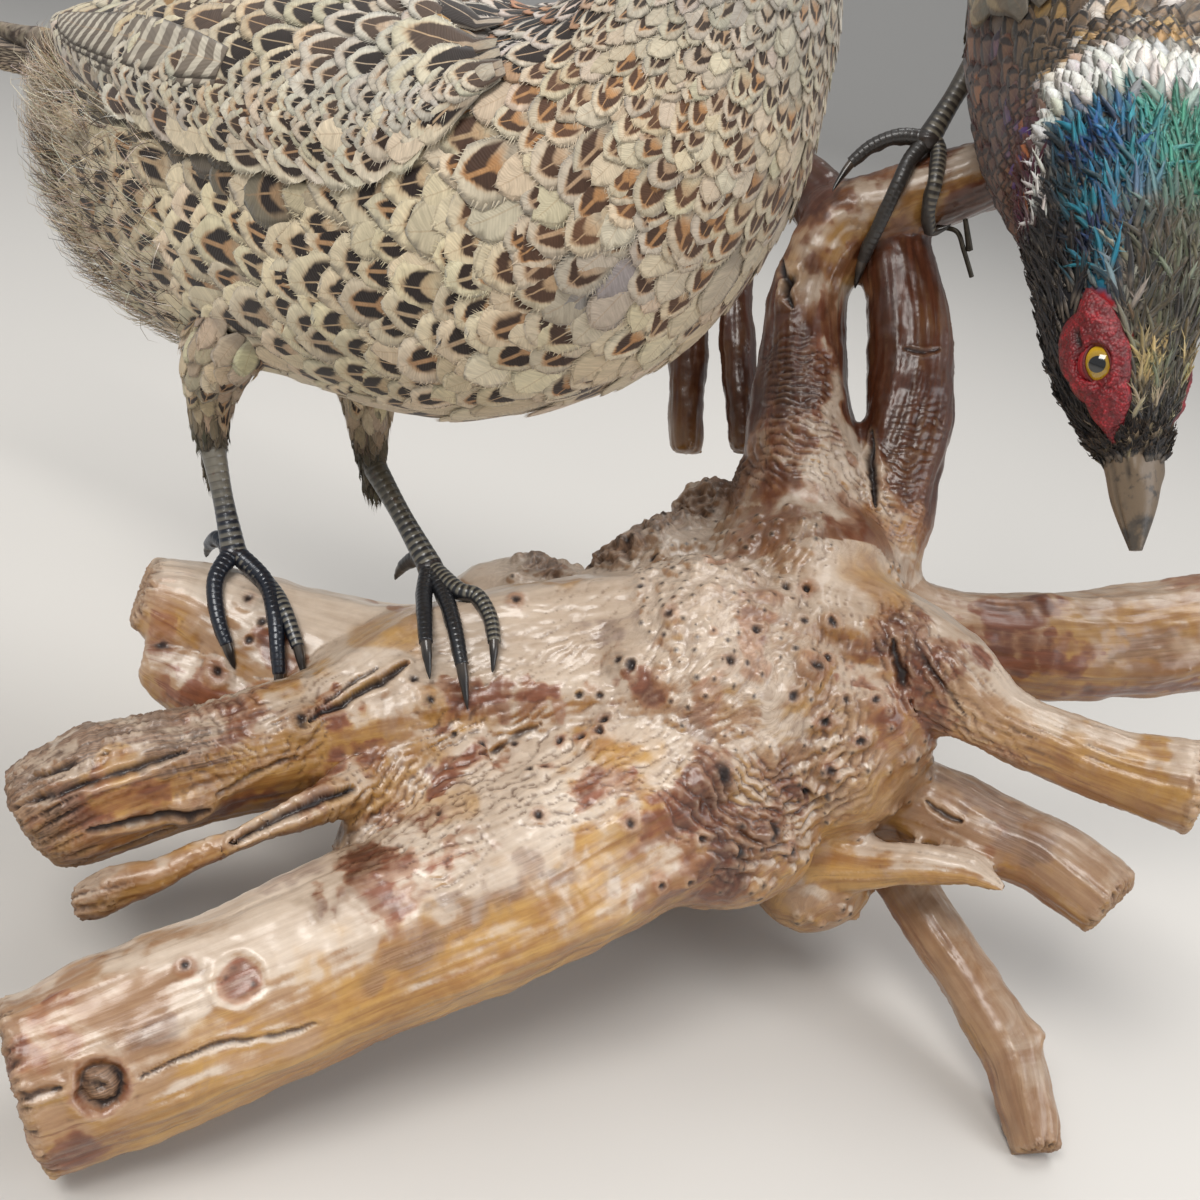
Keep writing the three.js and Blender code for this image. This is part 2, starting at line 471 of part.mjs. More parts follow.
// ---------------------------------------------------------------- the group
const looks = {
  wood: [0xb08a63, 0.45, 0], feather: [0xb9a27c, 0.85, 0], horn: [0x3a342c, 0.4, 0], eye: [0x1a0f08, 0.05, 0], skin: [0x4a4238, 0.55, 0],
  cock: [0x5e2b22, 0.7, 0], wire: [0x2c2a26, 0.5, 0.9],
};
const group = new THREE.Group();
for (const [name, { made, look }] of Object.entries(parts)) {
  const [color, roughness, metalness] = looks[look];
  const mesh = new THREE.Mesh(geometryOf(made), new THREE.MeshStandardMaterial({ color, roughness, metalness }));
  mesh.name = name;
  group.add(mesh);
}
group.position.set(...SHIFT);
export default group;
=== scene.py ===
# Looks of the mounted pheasant hen, her driftwood and the cock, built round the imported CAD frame.
import math

import bpy
import numpy as np
from mathutils import Matrix, Vector
from mathutils.bvhtree import BVHTree


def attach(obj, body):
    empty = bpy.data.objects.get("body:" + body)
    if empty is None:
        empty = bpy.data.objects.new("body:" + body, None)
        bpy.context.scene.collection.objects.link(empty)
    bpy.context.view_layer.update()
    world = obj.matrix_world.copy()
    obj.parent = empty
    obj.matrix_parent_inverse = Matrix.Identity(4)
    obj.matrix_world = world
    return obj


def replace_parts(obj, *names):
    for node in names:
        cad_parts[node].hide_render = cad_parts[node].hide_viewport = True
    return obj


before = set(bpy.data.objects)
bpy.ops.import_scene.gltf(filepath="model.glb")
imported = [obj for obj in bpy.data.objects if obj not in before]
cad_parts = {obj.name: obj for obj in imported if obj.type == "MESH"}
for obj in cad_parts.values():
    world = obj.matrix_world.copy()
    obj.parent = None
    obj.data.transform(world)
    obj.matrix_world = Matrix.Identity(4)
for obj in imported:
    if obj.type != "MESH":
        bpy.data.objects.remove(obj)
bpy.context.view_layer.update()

rng = np.random.default_rng(11)
SHIFT = np.array([-33.34, -616.35, 0.0])  # mm, drawing point to row frame
TAU = 2 * math.pi


def M(p):
    """millimetres at the drawing point to metres in the row frame"""
    return (np.asarray(p, float) + SHIFT) / 1000.0


# ------------------------------------------------------------------ camera
CAM_H, FOCAL = 362.0, 1300.0
CAM = np.array([
    [0.97510008, -0.08019789, 0.20675621],    # right
    [0.14645061, -0.46723243, -0.87192091],   # down
    [0.16652943, 0.88048972, -0.44385335]])   # ahead
EYE = M([0, 0, CAM_H])


def ray(px, py):
    d = CAM[0] * (px - 600) / FOCAL + CAM[1] * (py - 600) / FOCAL + CAM[2]
    return d / np.linalg.norm(d)


# ------------------------------------------------------------------ numbers
def smooth(a, b, x):
    t = np.clip((x - a) / (b - a), 0, 1)
    return t * t * (3 - 2 * t)


def along(values, t):
    """Catmull-Rom through a list, t from 0 to 1"""
    v = np.asarray(values, float)
    n = len(v) - 1
    x = np.clip(t, 0, 1) * n
    i = np.minimum(np.floor(x).astype(int), n - 1)
    f = x - i
    if v.ndim > 1:
        f = f[..., None]
    g = lambda k: v[np.clip(k, 0, n)]
    a, b, c, d = g(i - 1), g(i), g(i + 1), g(i + 2)
    return 0.5 * (2 * b + (c - a) * f + (2 * a - 5 * b + 4 * c - d) * f * f + (3 * b - a - 3 * c + d) * f ** 3)


def unit(v):
    return v / np.maximum(np.linalg.norm(v, axis=-1, keepdims=True), 1e-12)


def _hash(i, j, k, seed):
    h = (i * 374761393 + j * 668265263 + k * 2147483647 + seed * 1274126177) & 0xFFFFFFFF
    h = ((h ^ (h >> 13)) * 1274126177) & 0xFFFFFFFF
    return ((h ^ (h >> 16)) & 0xFFFF) / 65535.0


def noise(p, seed=0):
    """value noise, 0 to 1, on points (n, 3)"""
    q = np.floor(p).astype(np.int64)
    f = p - q
    f = f * f * (3 - 2 * f)
    out = 0
    for dx in (0, 1):
        for dy in (0, 1):
            for dz in (0, 1):
                w = (f[:, 0] if dx else 1 - f[:, 0]) * (f[:, 1] if dy else 1 - f[:, 1]) * (f[:, 2] if dz else 1 - f[:, 2])
                out = out + w * _hash(q[:, 0] + dx, q[:, 1] + dy, q[:, 2] + dz, seed)
    return out


def fbm(p, seed=0, octaves=3, gain=0.5):
    out, amp, total = 0, 1.0, 0
    for k in range(octaves):
        out = out + amp * noise(p * 2 ** k + 17.3 * k, seed + k)
        total += amp
        amp *= gain
    return out / total


def mix(a, b, k):
    k = np.asarray(k, float)[..., None]
    return np.asarray(a, float) * (1 - k) + np.asarray(b, float) * k


# ------------------------------------------------------------------ meshes and pieces
def mesh_object(name, verts, faces, material=None, smooth_shade=True):
    me = bpy.data.meshes.new(name)
    faces = np.asarray(faces)
    if faces.ndim == 2:
        k = faces.shape[1]
        me.vertices.add(len(verts))
        me.vertices.foreach_set("co", np.asarray(verts, np.float32).ravel())
        me.loops.add(faces.size)
        me.loops.foreach_set("vertex_index", faces.astype(np.int32).ravel())
        me.polygons.add(len(faces))
        me.polygons.foreach_set("loop_start", np.arange(0, faces.size, k, dtype=np.int32))
        me.update(calc_edges=True)
        me.validate()
    else:
        me.from_pydata([tuple(v) for v in verts], [], [tuple(f) for f in faces])
        me.update()
    if smooth_shade:
        me.polygons.foreach_set("use_smooth", np.ones(len(me.polygons), bool))
    ob = bpy.data.objects.new(name, me)
    bpy.context.scene.collection.objects.link(ob)
    if material:
        me.materials.append(material)
    return ob


def colour_attribute(me, name, rgba):
    a = me.attributes.new(name, "FLOAT_COLOR", "POINT")
    rgba = np.asarray(rgba, np.float32)
    if rgba.shape[1] == 3:
        rgba = np.concatenate([rgba, np.ones((len(rgba), 1), np.float32)], 1)
    a.data.foreach_set("color", rgba.ravel())


def uv_map(me, name, per_vertex):
    layer = me.uv_layers.new(name=name)
    idx = np.zeros(len(me.loops), np.int32)
    me.loops.foreach_get("vertex_index", idx)
    layer.data.foreach_set("uv", np.asarray(per_vertex, np.float32)[idx].ravel())


def coords(me):
    co = np.zeros(len(me.vertices) * 3, np.float32)
    me.vertices.foreach_get("co", co)
    return co.reshape(-1, 3).astype(float)


def set_coords(me, co):
    me.vertices.foreach_set("co", np.asarray(co, np.float32).ravel())
    me.update()


def normals(me):
    n = np.zeros(len(me.vertices) * 3, np.float32)
    me.vertices.foreach_get("normal", n)
    return n.reshape(-1, 3).astype(float)


def triangles(me):
    me.calc_loop_triangles()
    t = np.zeros(len(me.loop_triangles) * 3, np.int32)
    me.loop_triangles.foreach_get("vertices", t)
    return t.reshape(-1, 3)


def bvh_of(me):
    return BVHTree.FromPolygons([Vector(c) for c in coords(me)], triangles(me).tolist())


def remeshed(name, obs, voxel, smooth_steps=0):
    """one closed mesh over the given objects, which are removed"""
    bpy.ops.object.select_all(action="DESELECT")
    for o in obs:
        o.select_set(True)
    bpy.context.view_layer.objects.active = obs[0]
    if len(obs) > 1:
        bpy.ops.object.join()
    o = bpy.context.view_layer.objects.active
    m = o.modifiers.new("v", "REMESH")
    m.mode = "VOXEL"
    m.voxel_size = voxel
    if smooth_steps:
        s = o.modifiers.new("s", "SMOOTH")
        s.iterations = smooth_steps
        s.factor = 0.5
    dg = bpy.context.evaluated_depsgraph_get()
    me = bpy.data.meshes.new_from_object(o.evaluated_get(dg))
    me.name = name
    bpy.data.objects.remove(o)
    new = bpy.data.objects.new(name, me)
    bpy.context.scene.collection.objects.link(new)
    me.polygons.foreach_set("use_smooth", np.ones(len(me.polygons), bool))
    me.materials.clear()
    for a in [a.name for a in me.attributes if not a.is_required and a.name.startswith(("sharp", "material"))]:
        me.attributes.remove(me.attributes[a])
    me.update()
    return new


def copy_of(node):
    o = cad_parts[node]
    c = bpy.data.objects.new(node + "_src", o.data.copy())
    bpy.context.scene.collection.objects.link(c)
    return c


def done(ob, slot, *nodes):
    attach(ob, "root")
    if nodes:
        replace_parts(ob, *nodes)
    return ob


# ------------------------------------------------------------------ node materials
class Mat:
    def __init__(self, name):
        self.m = bpy.data.materials.new(name)
        self.m.use_nodes = True
        self.t = self.m.node_tree
        self.t.nodes.clear()
        self.out = self.t.nodes.new("ShaderNodeOutputMaterial")
        self.b = self.t.nodes.new("ShaderNodeBsdfPrincipled")
        self.t.links.new(self.b.outputs[0], self.out.inputs[0])

    def set(self, **kw):
        for k, v in kw.items():
            self.b.inputs[k.replace("_", " ")].default_value = v
        return self

    def link(self, socket, name):
        self.t.links.new(socket, self.b.inputs[name])

    def node(self, kind, **kw):
        n = self.t.nodes.new(kind)
        for k, v in kw.items():
            setattr(n, k, v)
        return n

    def plug(self, n, i, v):
        if v is None:
            return
        if hasattr(v, "links"):
            self.t.links.new(v, n.inputs[i])
        else:
            n.inputs[i].default_value = v

    def math(self, op, a, b=None, c=None, clamp=False):
        n = self.node("ShaderNodeMath", operation=op, use_clamp=clamp)
        self.plug(n, 0, a)
        self.plug(n, 1, b)
        self.plug(n, 2, c)
        return n.outputs[0]

    def step(self, lo, hi, x):
        n = self.node("ShaderNodeMapRange", interpolation_type="SMOOTHSTEP", clamp=True)
        self.plug(n, 0, x)
        self.plug(n, 1, lo)
        self.plug(n, 2, hi)
        n.inputs[3].default_value, n.inputs[4].default_value = 0.0, 1.0
        return n.outputs[0]

    def mixc(self, k, a, b, blend="MIX"):
        n = self.node("ShaderNodeMix", data_type="RGBA", blend_type=blend)
        self.plug(n, 0, k)
        for i, v in ((6, a), (7, b)):
            if isinstance(v, (tuple, list)) and len(v) == 3:
                v = (*v, 1.0)
            self.plug(n, i, v)
        return n.outputs[2]

    def attr(self, name):
        n = self.node("ShaderNodeAttribute", attribute_type="GEOMETRY", attribute_name=name)
        return n

    def noise(self, vec, scale, detail=2.0, rough=0.5, dims="3D", distortion=0.0):
        n = self.node("ShaderNodeTexNoise", noise_dimensions=dims)
        self.plug(n, "Vector", vec)
        n.inputs["Scale"].default_value = scale
        n.inputs["Detail"].default_value = detail
        n.inputs["Roughness"].default_value = rough
        n.inputs["Distortion"].default_value = distortion
        return n

    def combine(self, x, y, z):
        n = self.node("ShaderNodeCombineXYZ")
        self.plug(n, 0, x)
        self.plug(n, 1, y)
        self.plug(n, 2, z)
        return n.outputs[0]

    def split(self, v):
        n = self.node("ShaderNodeSeparateXYZ")
        self.plug(n, 0, v)
        return n.outputs

    def splitc(self, c):
        n = self.node("ShaderNodeSeparateColor")
        self.plug(n, 0, c)
        return n.outputs

    def bump(self, height, strength, distance, normal=None):
        n = self.node("ShaderNodeBump")
        n.inputs["Strength"].default_value = strength
        n.inputs["Distance"].default_value = distance
        self.plug(n, "Height", height)
        if normal is not None:
            self.plug(n, "Normal", normal)
        return n.outputs[0]

    def coords(self, which="Object"):
        return self.node("ShaderNodeTexCoord").outputs[which]


def feather_material(name, rough=0.62, sheen=0.2, spec=0.25, metallic=0.0, barb=1.0, coat=0.0):
    """Marks in the feather's own plane: u across, v from root to tip. The colours come from what each feather carries."""
    m = Mat(name)
    uv = m.node("ShaderNodeUVMap", uv_map="Feather").outputs[0]
    u, v, _ = m.split(uv)
    ca, cb, pm, rd = m.attr("ca"), m.attr("cb"), m.attr("pm"), m.attr("rd")
    q0, q1, rufous = m.splitc(pm.outputs["Color"])[:3]
    gap = pm.outputs["Alpha"]
    seed, bars, light = m.splitc(rd.outputs["Color"])[:3]
    reach = rd.outputs["Alpha"]
    uu = m.math("ABSOLUTE", m.math("MULTIPLY", m.math("SUBTRACT", u, 0.5), 2.0))
    s = m.math("MULTIPLY", seed, 53.0)
    wob = m.noise(m.combine(m.math("ADD", m.math("MULTIPLY", u, 2.2), s), m.math("MULTIPLY", v, 3.4), s), 1.0, 2.0, 0.55).outputs["Fac"]
    wo = m.math("SUBTRACT", wob, 0.5)
    # barbs run out and towards the tip
    slope = m.math("SUBTRACT", v, m.math("MULTIPLY", uu, 0.16))
    jag = m.noise(m.combine(m.math("MULTIPLY", slope, 40.0), m.math("MULTIPLY", u, 1.6), s), 1.0, 2.0).outputs["Fac"]
    ja = m.math("SUBTRACT", jag, 0.5)
    q = m.math("ADD", v, m.math("ADD", m.math("MULTIPLY", m.math("MULTIPLY", uu, uu), 0.40), m.math("ADD", m.math("MULTIPLY", wo, 0.17), m.math("MULTIPLY", ja, 0.07))))
    near = m.math("SUBTRACT", 1.0, m.step(0.0, 0.48, uu))
    a0 = m.math("ADD", q0, m.math("MULTIPLY", near, m.math("MULTIPLY", m.math("SUBTRACT", q1, q0), 0.16)))
    inner = m.step(m.math("SUBTRACT", a0, 0.04), m.math("ADD", a0, 0.035), q)
    outer = m.math("SUBTRACT", 1.0, m.step(m.math("SUBTRACT", q1, 0.028), m.math("ADD", q1, 0.028), q))
    shaft = m.step(m.math("MULTIPLY", gap, 0.45), m.math("ADD", m.math("MULTIPLY", gap, 1.15), 0.02), uu)
    sideq = m.math("ADD", uu, m.math("MULTIPLY", wo, 0.30))
    side = m.math("SUBTRACT", 1.0, m.step(m.math("SUBTRACT", reach, 0.11), m.math("ADD", reach, 0.11), sideq))
    mark = m.math("MULTIPLY", m.math("MULTIPLY", inner, outer), m.math("MULTIPLY", shaft, side))
    # cross bars
    wave = m.math("SINE", m.math("MULTIPLY", m.math("ADD", m.math("SUBTRACT", v, m.math("MULTIPLY", uu, 0.022)), m.math("MULTIPLY", wo, 0.02)), m.math("MULTIPLY", bars, 300.0)))
    barred = m.math("MULTIPLY", m.step(0.0, 0.4, wave), m.step(0.005, 0.02, bars))
    markb = m.math("MAXIMUM", mark, m.math("MULTIPLY", barred, m.math("SUBTRACT", 1.0, m.step(0.88, 1.0, uu))))
    base = ca.outputs["Color"]
    # orange-buff within the mark and along the shaft
    core = m.math("MULTIPLY", m.math("MULTIPLY", rufous, m.step(m.math("SUBTRACT", q0, 0.22), m.math("SUBTRACT", q0, 0.02), q)),
                  m.math("MULTIPLY", m.math("SUBTRACT", 1.0, m.step(m.math("ADD", q1, 0.0), m.math("ADD", q1, 0.07), q)), m.math("SUBTRACT", 1.0, m.step(0.16, 0.72, m.math("ADD", uu, m.math("MULTIPLY", wo, 0.5))))))
    warm = m.mixc(core, base, (0.50, 0.235, 0.085))
    # a soft brown halo round the mark
    halo = m.math("MULTIPLY", m.math("MULTIPLY", m.step(m.math("SUBTRACT", q0, 0.30), q0, q), m.math("SUBTRACT", 1.0, m.step(m.math("SUBTRACT", q1, 0.02), m.math("ADD", q1, 0.09), q))), m.math("SUBTRACT", 1.0, m.step(m.math("SUBTRACT", reach, 0.1), m.math("ADD", reach, 0.35), uu)))
    warm = m.mixc(m.math("MULTIPLY", halo, 0.42), warm, (0.30, 0.185, 0.095))
    # a faint second line inside the first
    arc = m.math("MULTIPLY", m.step(m.math("SUBTRACT", q0, 0.27), m.math("SUBTRACT", q0, 0.22), q), m.math("SUBTRACT", 1.0, m.step(m.math("SUBTRACT", q0, 0.20), m.math("SUBTRACT", q0, 0.14), q)))
    warm = m.mixc(m.math("MULTIPLY", arc, 0.34), warm, (0.17, 0.12, 0.08))
    down = m.math("SUBTRACT", 1.0, m.step(0.28, 0.52, v))
    warm = m.mixc(m.math("MULTIPLY", down, 0.6), warm, (0.20, 0.165, 0.13))
    col = m.mixc(markb, warm, cb.outputs["Color"])
    # shaft line and barbs
    line = m.math("SUBTRACT", 1.0, m.step(0.015, 0.05, uu))
    col = m.mixc(m.math("MULTIPLY", line, 0.30), col, (0.33, 0.20, 0.10))
    fine = m.math("SINE", m.math("MULTIPLY", slope, 190.0))
    strand = m.noise(m.combine(m.math("MULTIPLY", slope, 15.0), m.math("MULTIPLY", uu, 1.2), s), 1.0, 3.0, 0.6).outputs["Fac"]
    tone = m.math("ADD", m.math("ADD", 0.97, m.math("MULTIPLY", fine, 0.03 * barb)), m.math("MULTIPLY", ja, 0.42 * barb))
    tone = m.math("ADD", tone, m.math("MULTIPLY", m.math("SUBTRACT", strand, 0.5), 0.75 * barb))
    tone = m.math("MULTIPLY", tone, m.math("ADD", 0.72, m.math("MULTIPLY", light, 0.56)))
    grey = m.combine(tone, tone, tone)
    col = m.mixc(1.0, col, grey, "MULTIPLY")
    m.link(col, "Base Color")
    h = m.math("ADD", m.math("MULTIPLY", fine, 0.3), m.math("MULTIPLY", jag, 1.2))
    m.link(m.bump(h, 0.4 * barb, 0.0002), "Normal")
    m.set(Roughness=rough, Metallic=metallic)
    m.b.inputs["Sheen Weight"].default_value = sheen
    m.b.inputs["Sheen Roughness"].default_value = 0.5
    m.b.inputs["Specular IOR Level"].default_value = spec
    m.b.inputs["Coat Weight"].default_value = coat
    m.b.inputs["Coat Roughness"].default_value = 0.3
    return m.m


# ------------------------------------------------------------------ bodies as lofts, with a place for every (t, a)
class Body:
    """A loft through stations (x, y, z, half width, half height above, below). t runs from the tail to the bill,
    a goes round from the left side (0) over the back (pi/2) to the right side (pi). Lengths in mm."""

    def __init__(self, stations, side, turn=0.0, at=(0, 0, 0), n=2.15, nt=640, na=288):
        self.st, self.side, self.n, self.nt, self.na = np.array(stations, float), side, n, nt, na
        c, s = math.cos(turn), math.sin(turn)
        self.R = np.array([[c, -s, 0], [s, c, 0], [0, 0, 1]])
        self.at = np.array(at, float)
        t = np.linspace(0, 1, nt + 1)
        a = np.linspace(-math.pi, math.pi, na + 1)
        tt, aa = np.meshgrid(t, a, indexing="ij")
        p = self.raw(tt.ravel(), aa.ravel()).reshape(nt + 1, na + 1, 3)
        pt = np.gradient(p, t, axis=0)
        pa = np.empty_like(p)
        pa[:, 1:-1] = (p[:, 2:] - p[:, :-2]) / (a[2] - a[0])
        pa[:, 0] = pa[:, -1] = (p[:, 1] - p[:, -2]) / (a[2] - a[0])
        nrm = unit(np.cross(pt, pa))
        mid = p.mean(1, keepdims=True)
        flip = np.sign(np.sum(nrm * (p - mid), -1, keepdims=True).mean())
        self.p, self.nrm, self.pt, self.pa = p, nrm * flip, pt, pa
        self.st_speed = np.linalg.norm(pt, axis=-1)
        self.sa_speed = np.linalg.norm(pa, axis=-1)

    def frame_at(self, t):
        e = 0.01
        tc = np.clip(t, 0, 1)
        P = along(self.st[:, :3], tc)
        T = unit(along(self.st[:, :3], np.minimum(1, tc + e)) - along(self.st[:, :3], np.maximum(0, tc - e)))
        left = self.side(tc)
        L = unit(left - T * np.sum(T * left, -1, keepdims=True))
        U = unit(np.cross(T, L))
        return P, T, L, U, along(self.st[:, 3:], tc)

    def raw(self, t, a, out=0.0):
        P, T, L, U, wud = self.frame_at(t)
        pw = lambda x: np.sign(x) * np.abs(x) ** (2 / self.n)
        c, s = pw(np.cos(a)), pw(np.sin(a))
        h = np.where(s > 0, wud[:, 1], wud[:, 2]) + out
        q = P + L * ((wud[:, 0] + out) * c)[:, None] + U * (h * s)[:, None]
        return q @ self.R.T + self.at

    def _cell(self, t, a):
        x = np.clip(t, 0, 1) * self.nt
        i = np.minimum(x.astype(int), self.nt - 1)
        y = ((a + math.pi) / TAU % 1.0) * self.na
        j = np.minimum(y.astype(int), self.na - 1)
        return i, j, x - i, y - j

    def look(self, table, t, a):
        i, j, fx, fy = self._cell(t, a)
        if table.ndim == 3:
            fx, fy = fx[:, None], fy[:, None]
        return ((table[i, j] * (1 - fy) + table[i, j + 1] * fy) * (1 - fx) + (table[i + 1, j] * (1 - fy) + table[i + 1, j + 1] * fy) * fx)

    def point(self, t, a, h=0.0):
        """place in mm of (t, a), h above the surface; before the tail end it runs straight on"""
        t, a = np.asarray(t, float).ravel(), np.asarray(a, float).ravel()
        q = self.look(self.p, t, a) + self.look(self.nrm, t, a) * np.asarray(h, float).reshape(-1, 1)
        over = t - np.clip(t, 0, 1)
        if np.any(over):
            q = q + self.look(self.pt, t, a) * over[:, None] * 0.9
        return q

    def speeds(self, t, a):
        return self.look(self.st_speed, t, a), self.look(self.sa_speed, t, a)

    def hit(self, px, py):
        """(t, a) of the first surface point on the camera's ray through a pixel"""
        o = EYE * 1000 - SHIFT
        d = ray(px, py)
        rel = self.p - o
        dep = rel @ d
        off = np.linalg.norm(rel - dep[..., None] * d, axis=-1)
        score = off + 1e3 * (np.sum(self.nrm * d, -1) > 0)
        i, j = np.unravel_index(np.argmin(score), score.shape)
        return i / self.nt, j / self.na * TAU - math.pi, off[i, j]


def tube_body(points, side=(0, 0, 1), **kw):
    pts = np.array(points, float)
    st = np.concatenate([pts[:, :3], np.repeat(pts[:, 3:4], 3, 1)], 1)
    return Body(st, lambda t: np.broadcast_to(np.array(side, float), (len(t), 3)), n=2.0, **kw)


HEN_AT, HEN_TURN = (-12, 474, 277), math.radians(-35)
HEN_STATIONS = [
    [-162, 0, 4, 16, 12, 15], [-146, 0, 0, 29, 23, 50], [-114, 0, -6, 45, 40, 75], [-72, 0, -9, 59, 55, 81], [-25, 0, -8, 65, 62, 78],
    [25, 0, -2, 66, 64, 78], [66, 0, 12, 63, 60, 68], [93, 0, 38, 54, 52, 52], [106, 0, 70, 40, 42, 36], [109, 0, 100, 28, 30, 26],
    [110, 0, 130, 20.5, 22, 19], [113, 0, 157, 17, 18, 16], [122, 0, 177.5, 16.5, 17.5, 15.5], [138, 0, 187.5, 14, 14, 14.5], [152.6, 0, 185.6, 7.4, 8, 8]]
LEFT_Y = lambda t: np.broadcast_to(np.array([0.0, 1.0, 0.0]), (len(t), 3))
hen = Body(HEN_STATIONS, LEFT_Y, HEN_TURN, HEN_AT)

COCK_STATIONS = [
    [252, 640, 470, 20, 15, 18], [251, 610, 447, 36, 31, 36], [249, 575, 424, 51, 46, 54], [246, 535, 400, 60, 57, 65], [239, 492, 376, 61, 60, 71],
    [227, 455, 358, 53, 50, 67], [213, 424, 347, 41, 37, 55], [200, 396, 342, 31, 29, 40], [193.5, 371, 327, 27, 27, 34], [191, 351, 311, 22.5, 24, 28],
    [190, 336, 294, 18.5, 18, 22], [191.5, 325, 280.5, 14, 13, 16.5], [194, 317, 270, 8.4, 7.4, 8.8], [195.8, 309.6, 258.6, 5.8, 5.2, 6.2], [197, 303, 248, 1.5, 1.8, 1.6]]


def cock_left(t):
    k = smooth(6 / 14, 10 / 14, t)
    return np.stack([1 - 0.1 * k, -0.1 + 0.54 * k, -0.08 * k], -1)


cock = Body(COCK_STATIONS, cock_left)


def hen_point(p):
    """a place in the hen's own frame, to the drawing point"""
    return np.asarray(p, float) @ hen.R.T + hen.at
# ---- end of bodies


class FoldedWing:
    """The place of (f, g) on a folded wing: f from the tips (0) to the wrist (1), g from the low edge (0) to the high one (1)."""

    def __init__(self, body, right, t0, t1, low, top, thick):
        self.body, self.right, self.t0, self.t1, self.low, self.top, self.thick = body, right, t0, t1, low, top, thick

    def ta(self, f, g):
        fc = np.clip(f, 0, 1)
        al = self.low(fc) + (self.top(fc) - self.low(fc)) * g
        return self.t0 + (self.t1 - self.t0) * f, (math.pi - al if self.right else al)

    def rise(self, f, g):
        edge = np.minimum(1, np.minimum(np.minimum(5 * g + 0.45, 5 * (1 - g) + 0.3), 6 * (1 - f) + 0.15))
        return 0.9 + self.thick * np.clip(edge, 0.1, 1) - 2.6

    def point(self, f, g, h=0.0):
        t, a = self.ta(f, g)
        return self.body.point(t, a, np.maximum(self.rise(f, g), -1.5) + h)

    def speeds(self, f, g):
        e = 0.01
        df = np.linalg.norm(self.point(f + e, g) - self.point(f - e, g), axis=-1) / (2 * e)
        dg = np.linalg.norm(self.point(f, g + e) - self.point(f, g - e), axis=-1) / (2 * e)
        return df, dg


class Flat:
    """A plane with a slight roof, in mm: t along (minus is back), a across, h up."""

    def __init__(self, origin, ahead, side, roof=0.004, droop=0.0):
        self.o, self.x = np.array(origin, float), unit(np.array(ahead, float))
        s = np.array(side, float)
        self.y = unit(s - self.x * (s @ self.x))
        self.z = unit(np.cross(self.x, self.y))
        self.roof, self.droop = roof, droop

    def point(self, t, a, h=0.0):
        t, a = np.asarray(t, float).ravel(), np.asarray(a, float).ravel()
        z = np.asarray(h, float).ravel() - self.roof * a * a - self.droop * t * t
        return self.o + t[:, None] * self.x + a[:, None] * self.y + z[:, None] * self.z

    def speeds(self, t, a):
        return np.ones(len(t)), np.ones(len(t))


def rows(surf, t0, t1, spacing, lateral, span=None, jitter=0.13, keep=None):
    """roots of feathers in staggered rows that advance from t0 to t1, each row a front that moves by the local spacing"""
    wrap = span is None
    A = np.linspace(-math.pi, math.pi, 361)[:-1] if wrap else np.linspace(span[0], span[1], 121)
    front = np.full(len(A), float(t0))
    ts, as_, k = [], [], 0
    while front.min() < t1 and k < 400:
        p = surf.point(front, A)
        q = np.roll(p, -1, 0) if wrap else p[1:]
        seg = np.linalg.norm(q - (p if wrap else p[:-1]), axis=1)
        w = lateral(front, A)
        dens = seg / (w if wrap else w[:-1])
        cum = np.concatenate([[0], np.cumsum(dens)])
        n = max(2, int(round(cum[-1])))
        pos = (np.arange(n) + 0.5 * (k % 2) + (0.0 if wrap else 0.25)) / n * cum[-1]
        Ax = np.concatenate([A, [A[0] + TAU]]) if wrap else A
        Fx = np.concatenate([front, [front[0]]]) if wrap else front
        aa = np.interp(pos + rng.normal(0, jitter * 0.5, n) * cum[-1] / n, cum, Ax)
        tt = np.interp(aa, Ax, Fx)
        st = surf.speeds(tt, aa)[0]
        tt = tt + rng.normal(0, jitter, n) * spacing(tt, aa) / np.maximum(st, 1e-6)
        ok = (tt < t1) & (tt > t0 - 0.02)
        ts.append(tt[ok])
        as_.append(aa[ok])
        front = front + spacing(front, A) / np.maximum(surf.speeds(front, A)[0], 1e-6)
        pad = 6
        ext = np.concatenate([front[-pad:], front, front[:pad]]) if wrap else np.pad(front, pad, mode="edge")
        front = np.convolve(ext, np.hanning(2 * pad + 3)[1:-1] / np.hanning(2 * pad + 3)[1:-1].sum(), "valid")
        k += 1
    t, a = np.concatenate(ts), np.concatenate(as_)
    a = (a + math.pi) % TAU - math.pi if wrap else a
    if keep is not None:
        m = keep(t, a)
        t, a = t[m], a[m]
    return t, a


ROUND = ([0, 0.25, 0.5, 0.70, 0.84, 0.94, 1.0], [0.42, 0.76, 0.97, 1.0, 0.93, 0.70, 0.30])
LONG = ([0, 0.12, 0.3, 0.5, 0.7, 0.86, 0.95, 1.0], [0.5, 0.75, 0.95, 1.0, 0.97, 0.88, 0.62, 0.2])
POINTED = ([0, 0.12, 0.3, 0.5, 0.7, 0.85, 0.95, 1.0], [0.55, 0.8, 0.96, 1.0, 0.85, 0.58, 0.3, 0.06])
SLIM = ([0, 0.3, 0.6, 0.85, 1.0], [0.5, 0.95, 1.0, 0.62, 0.14])


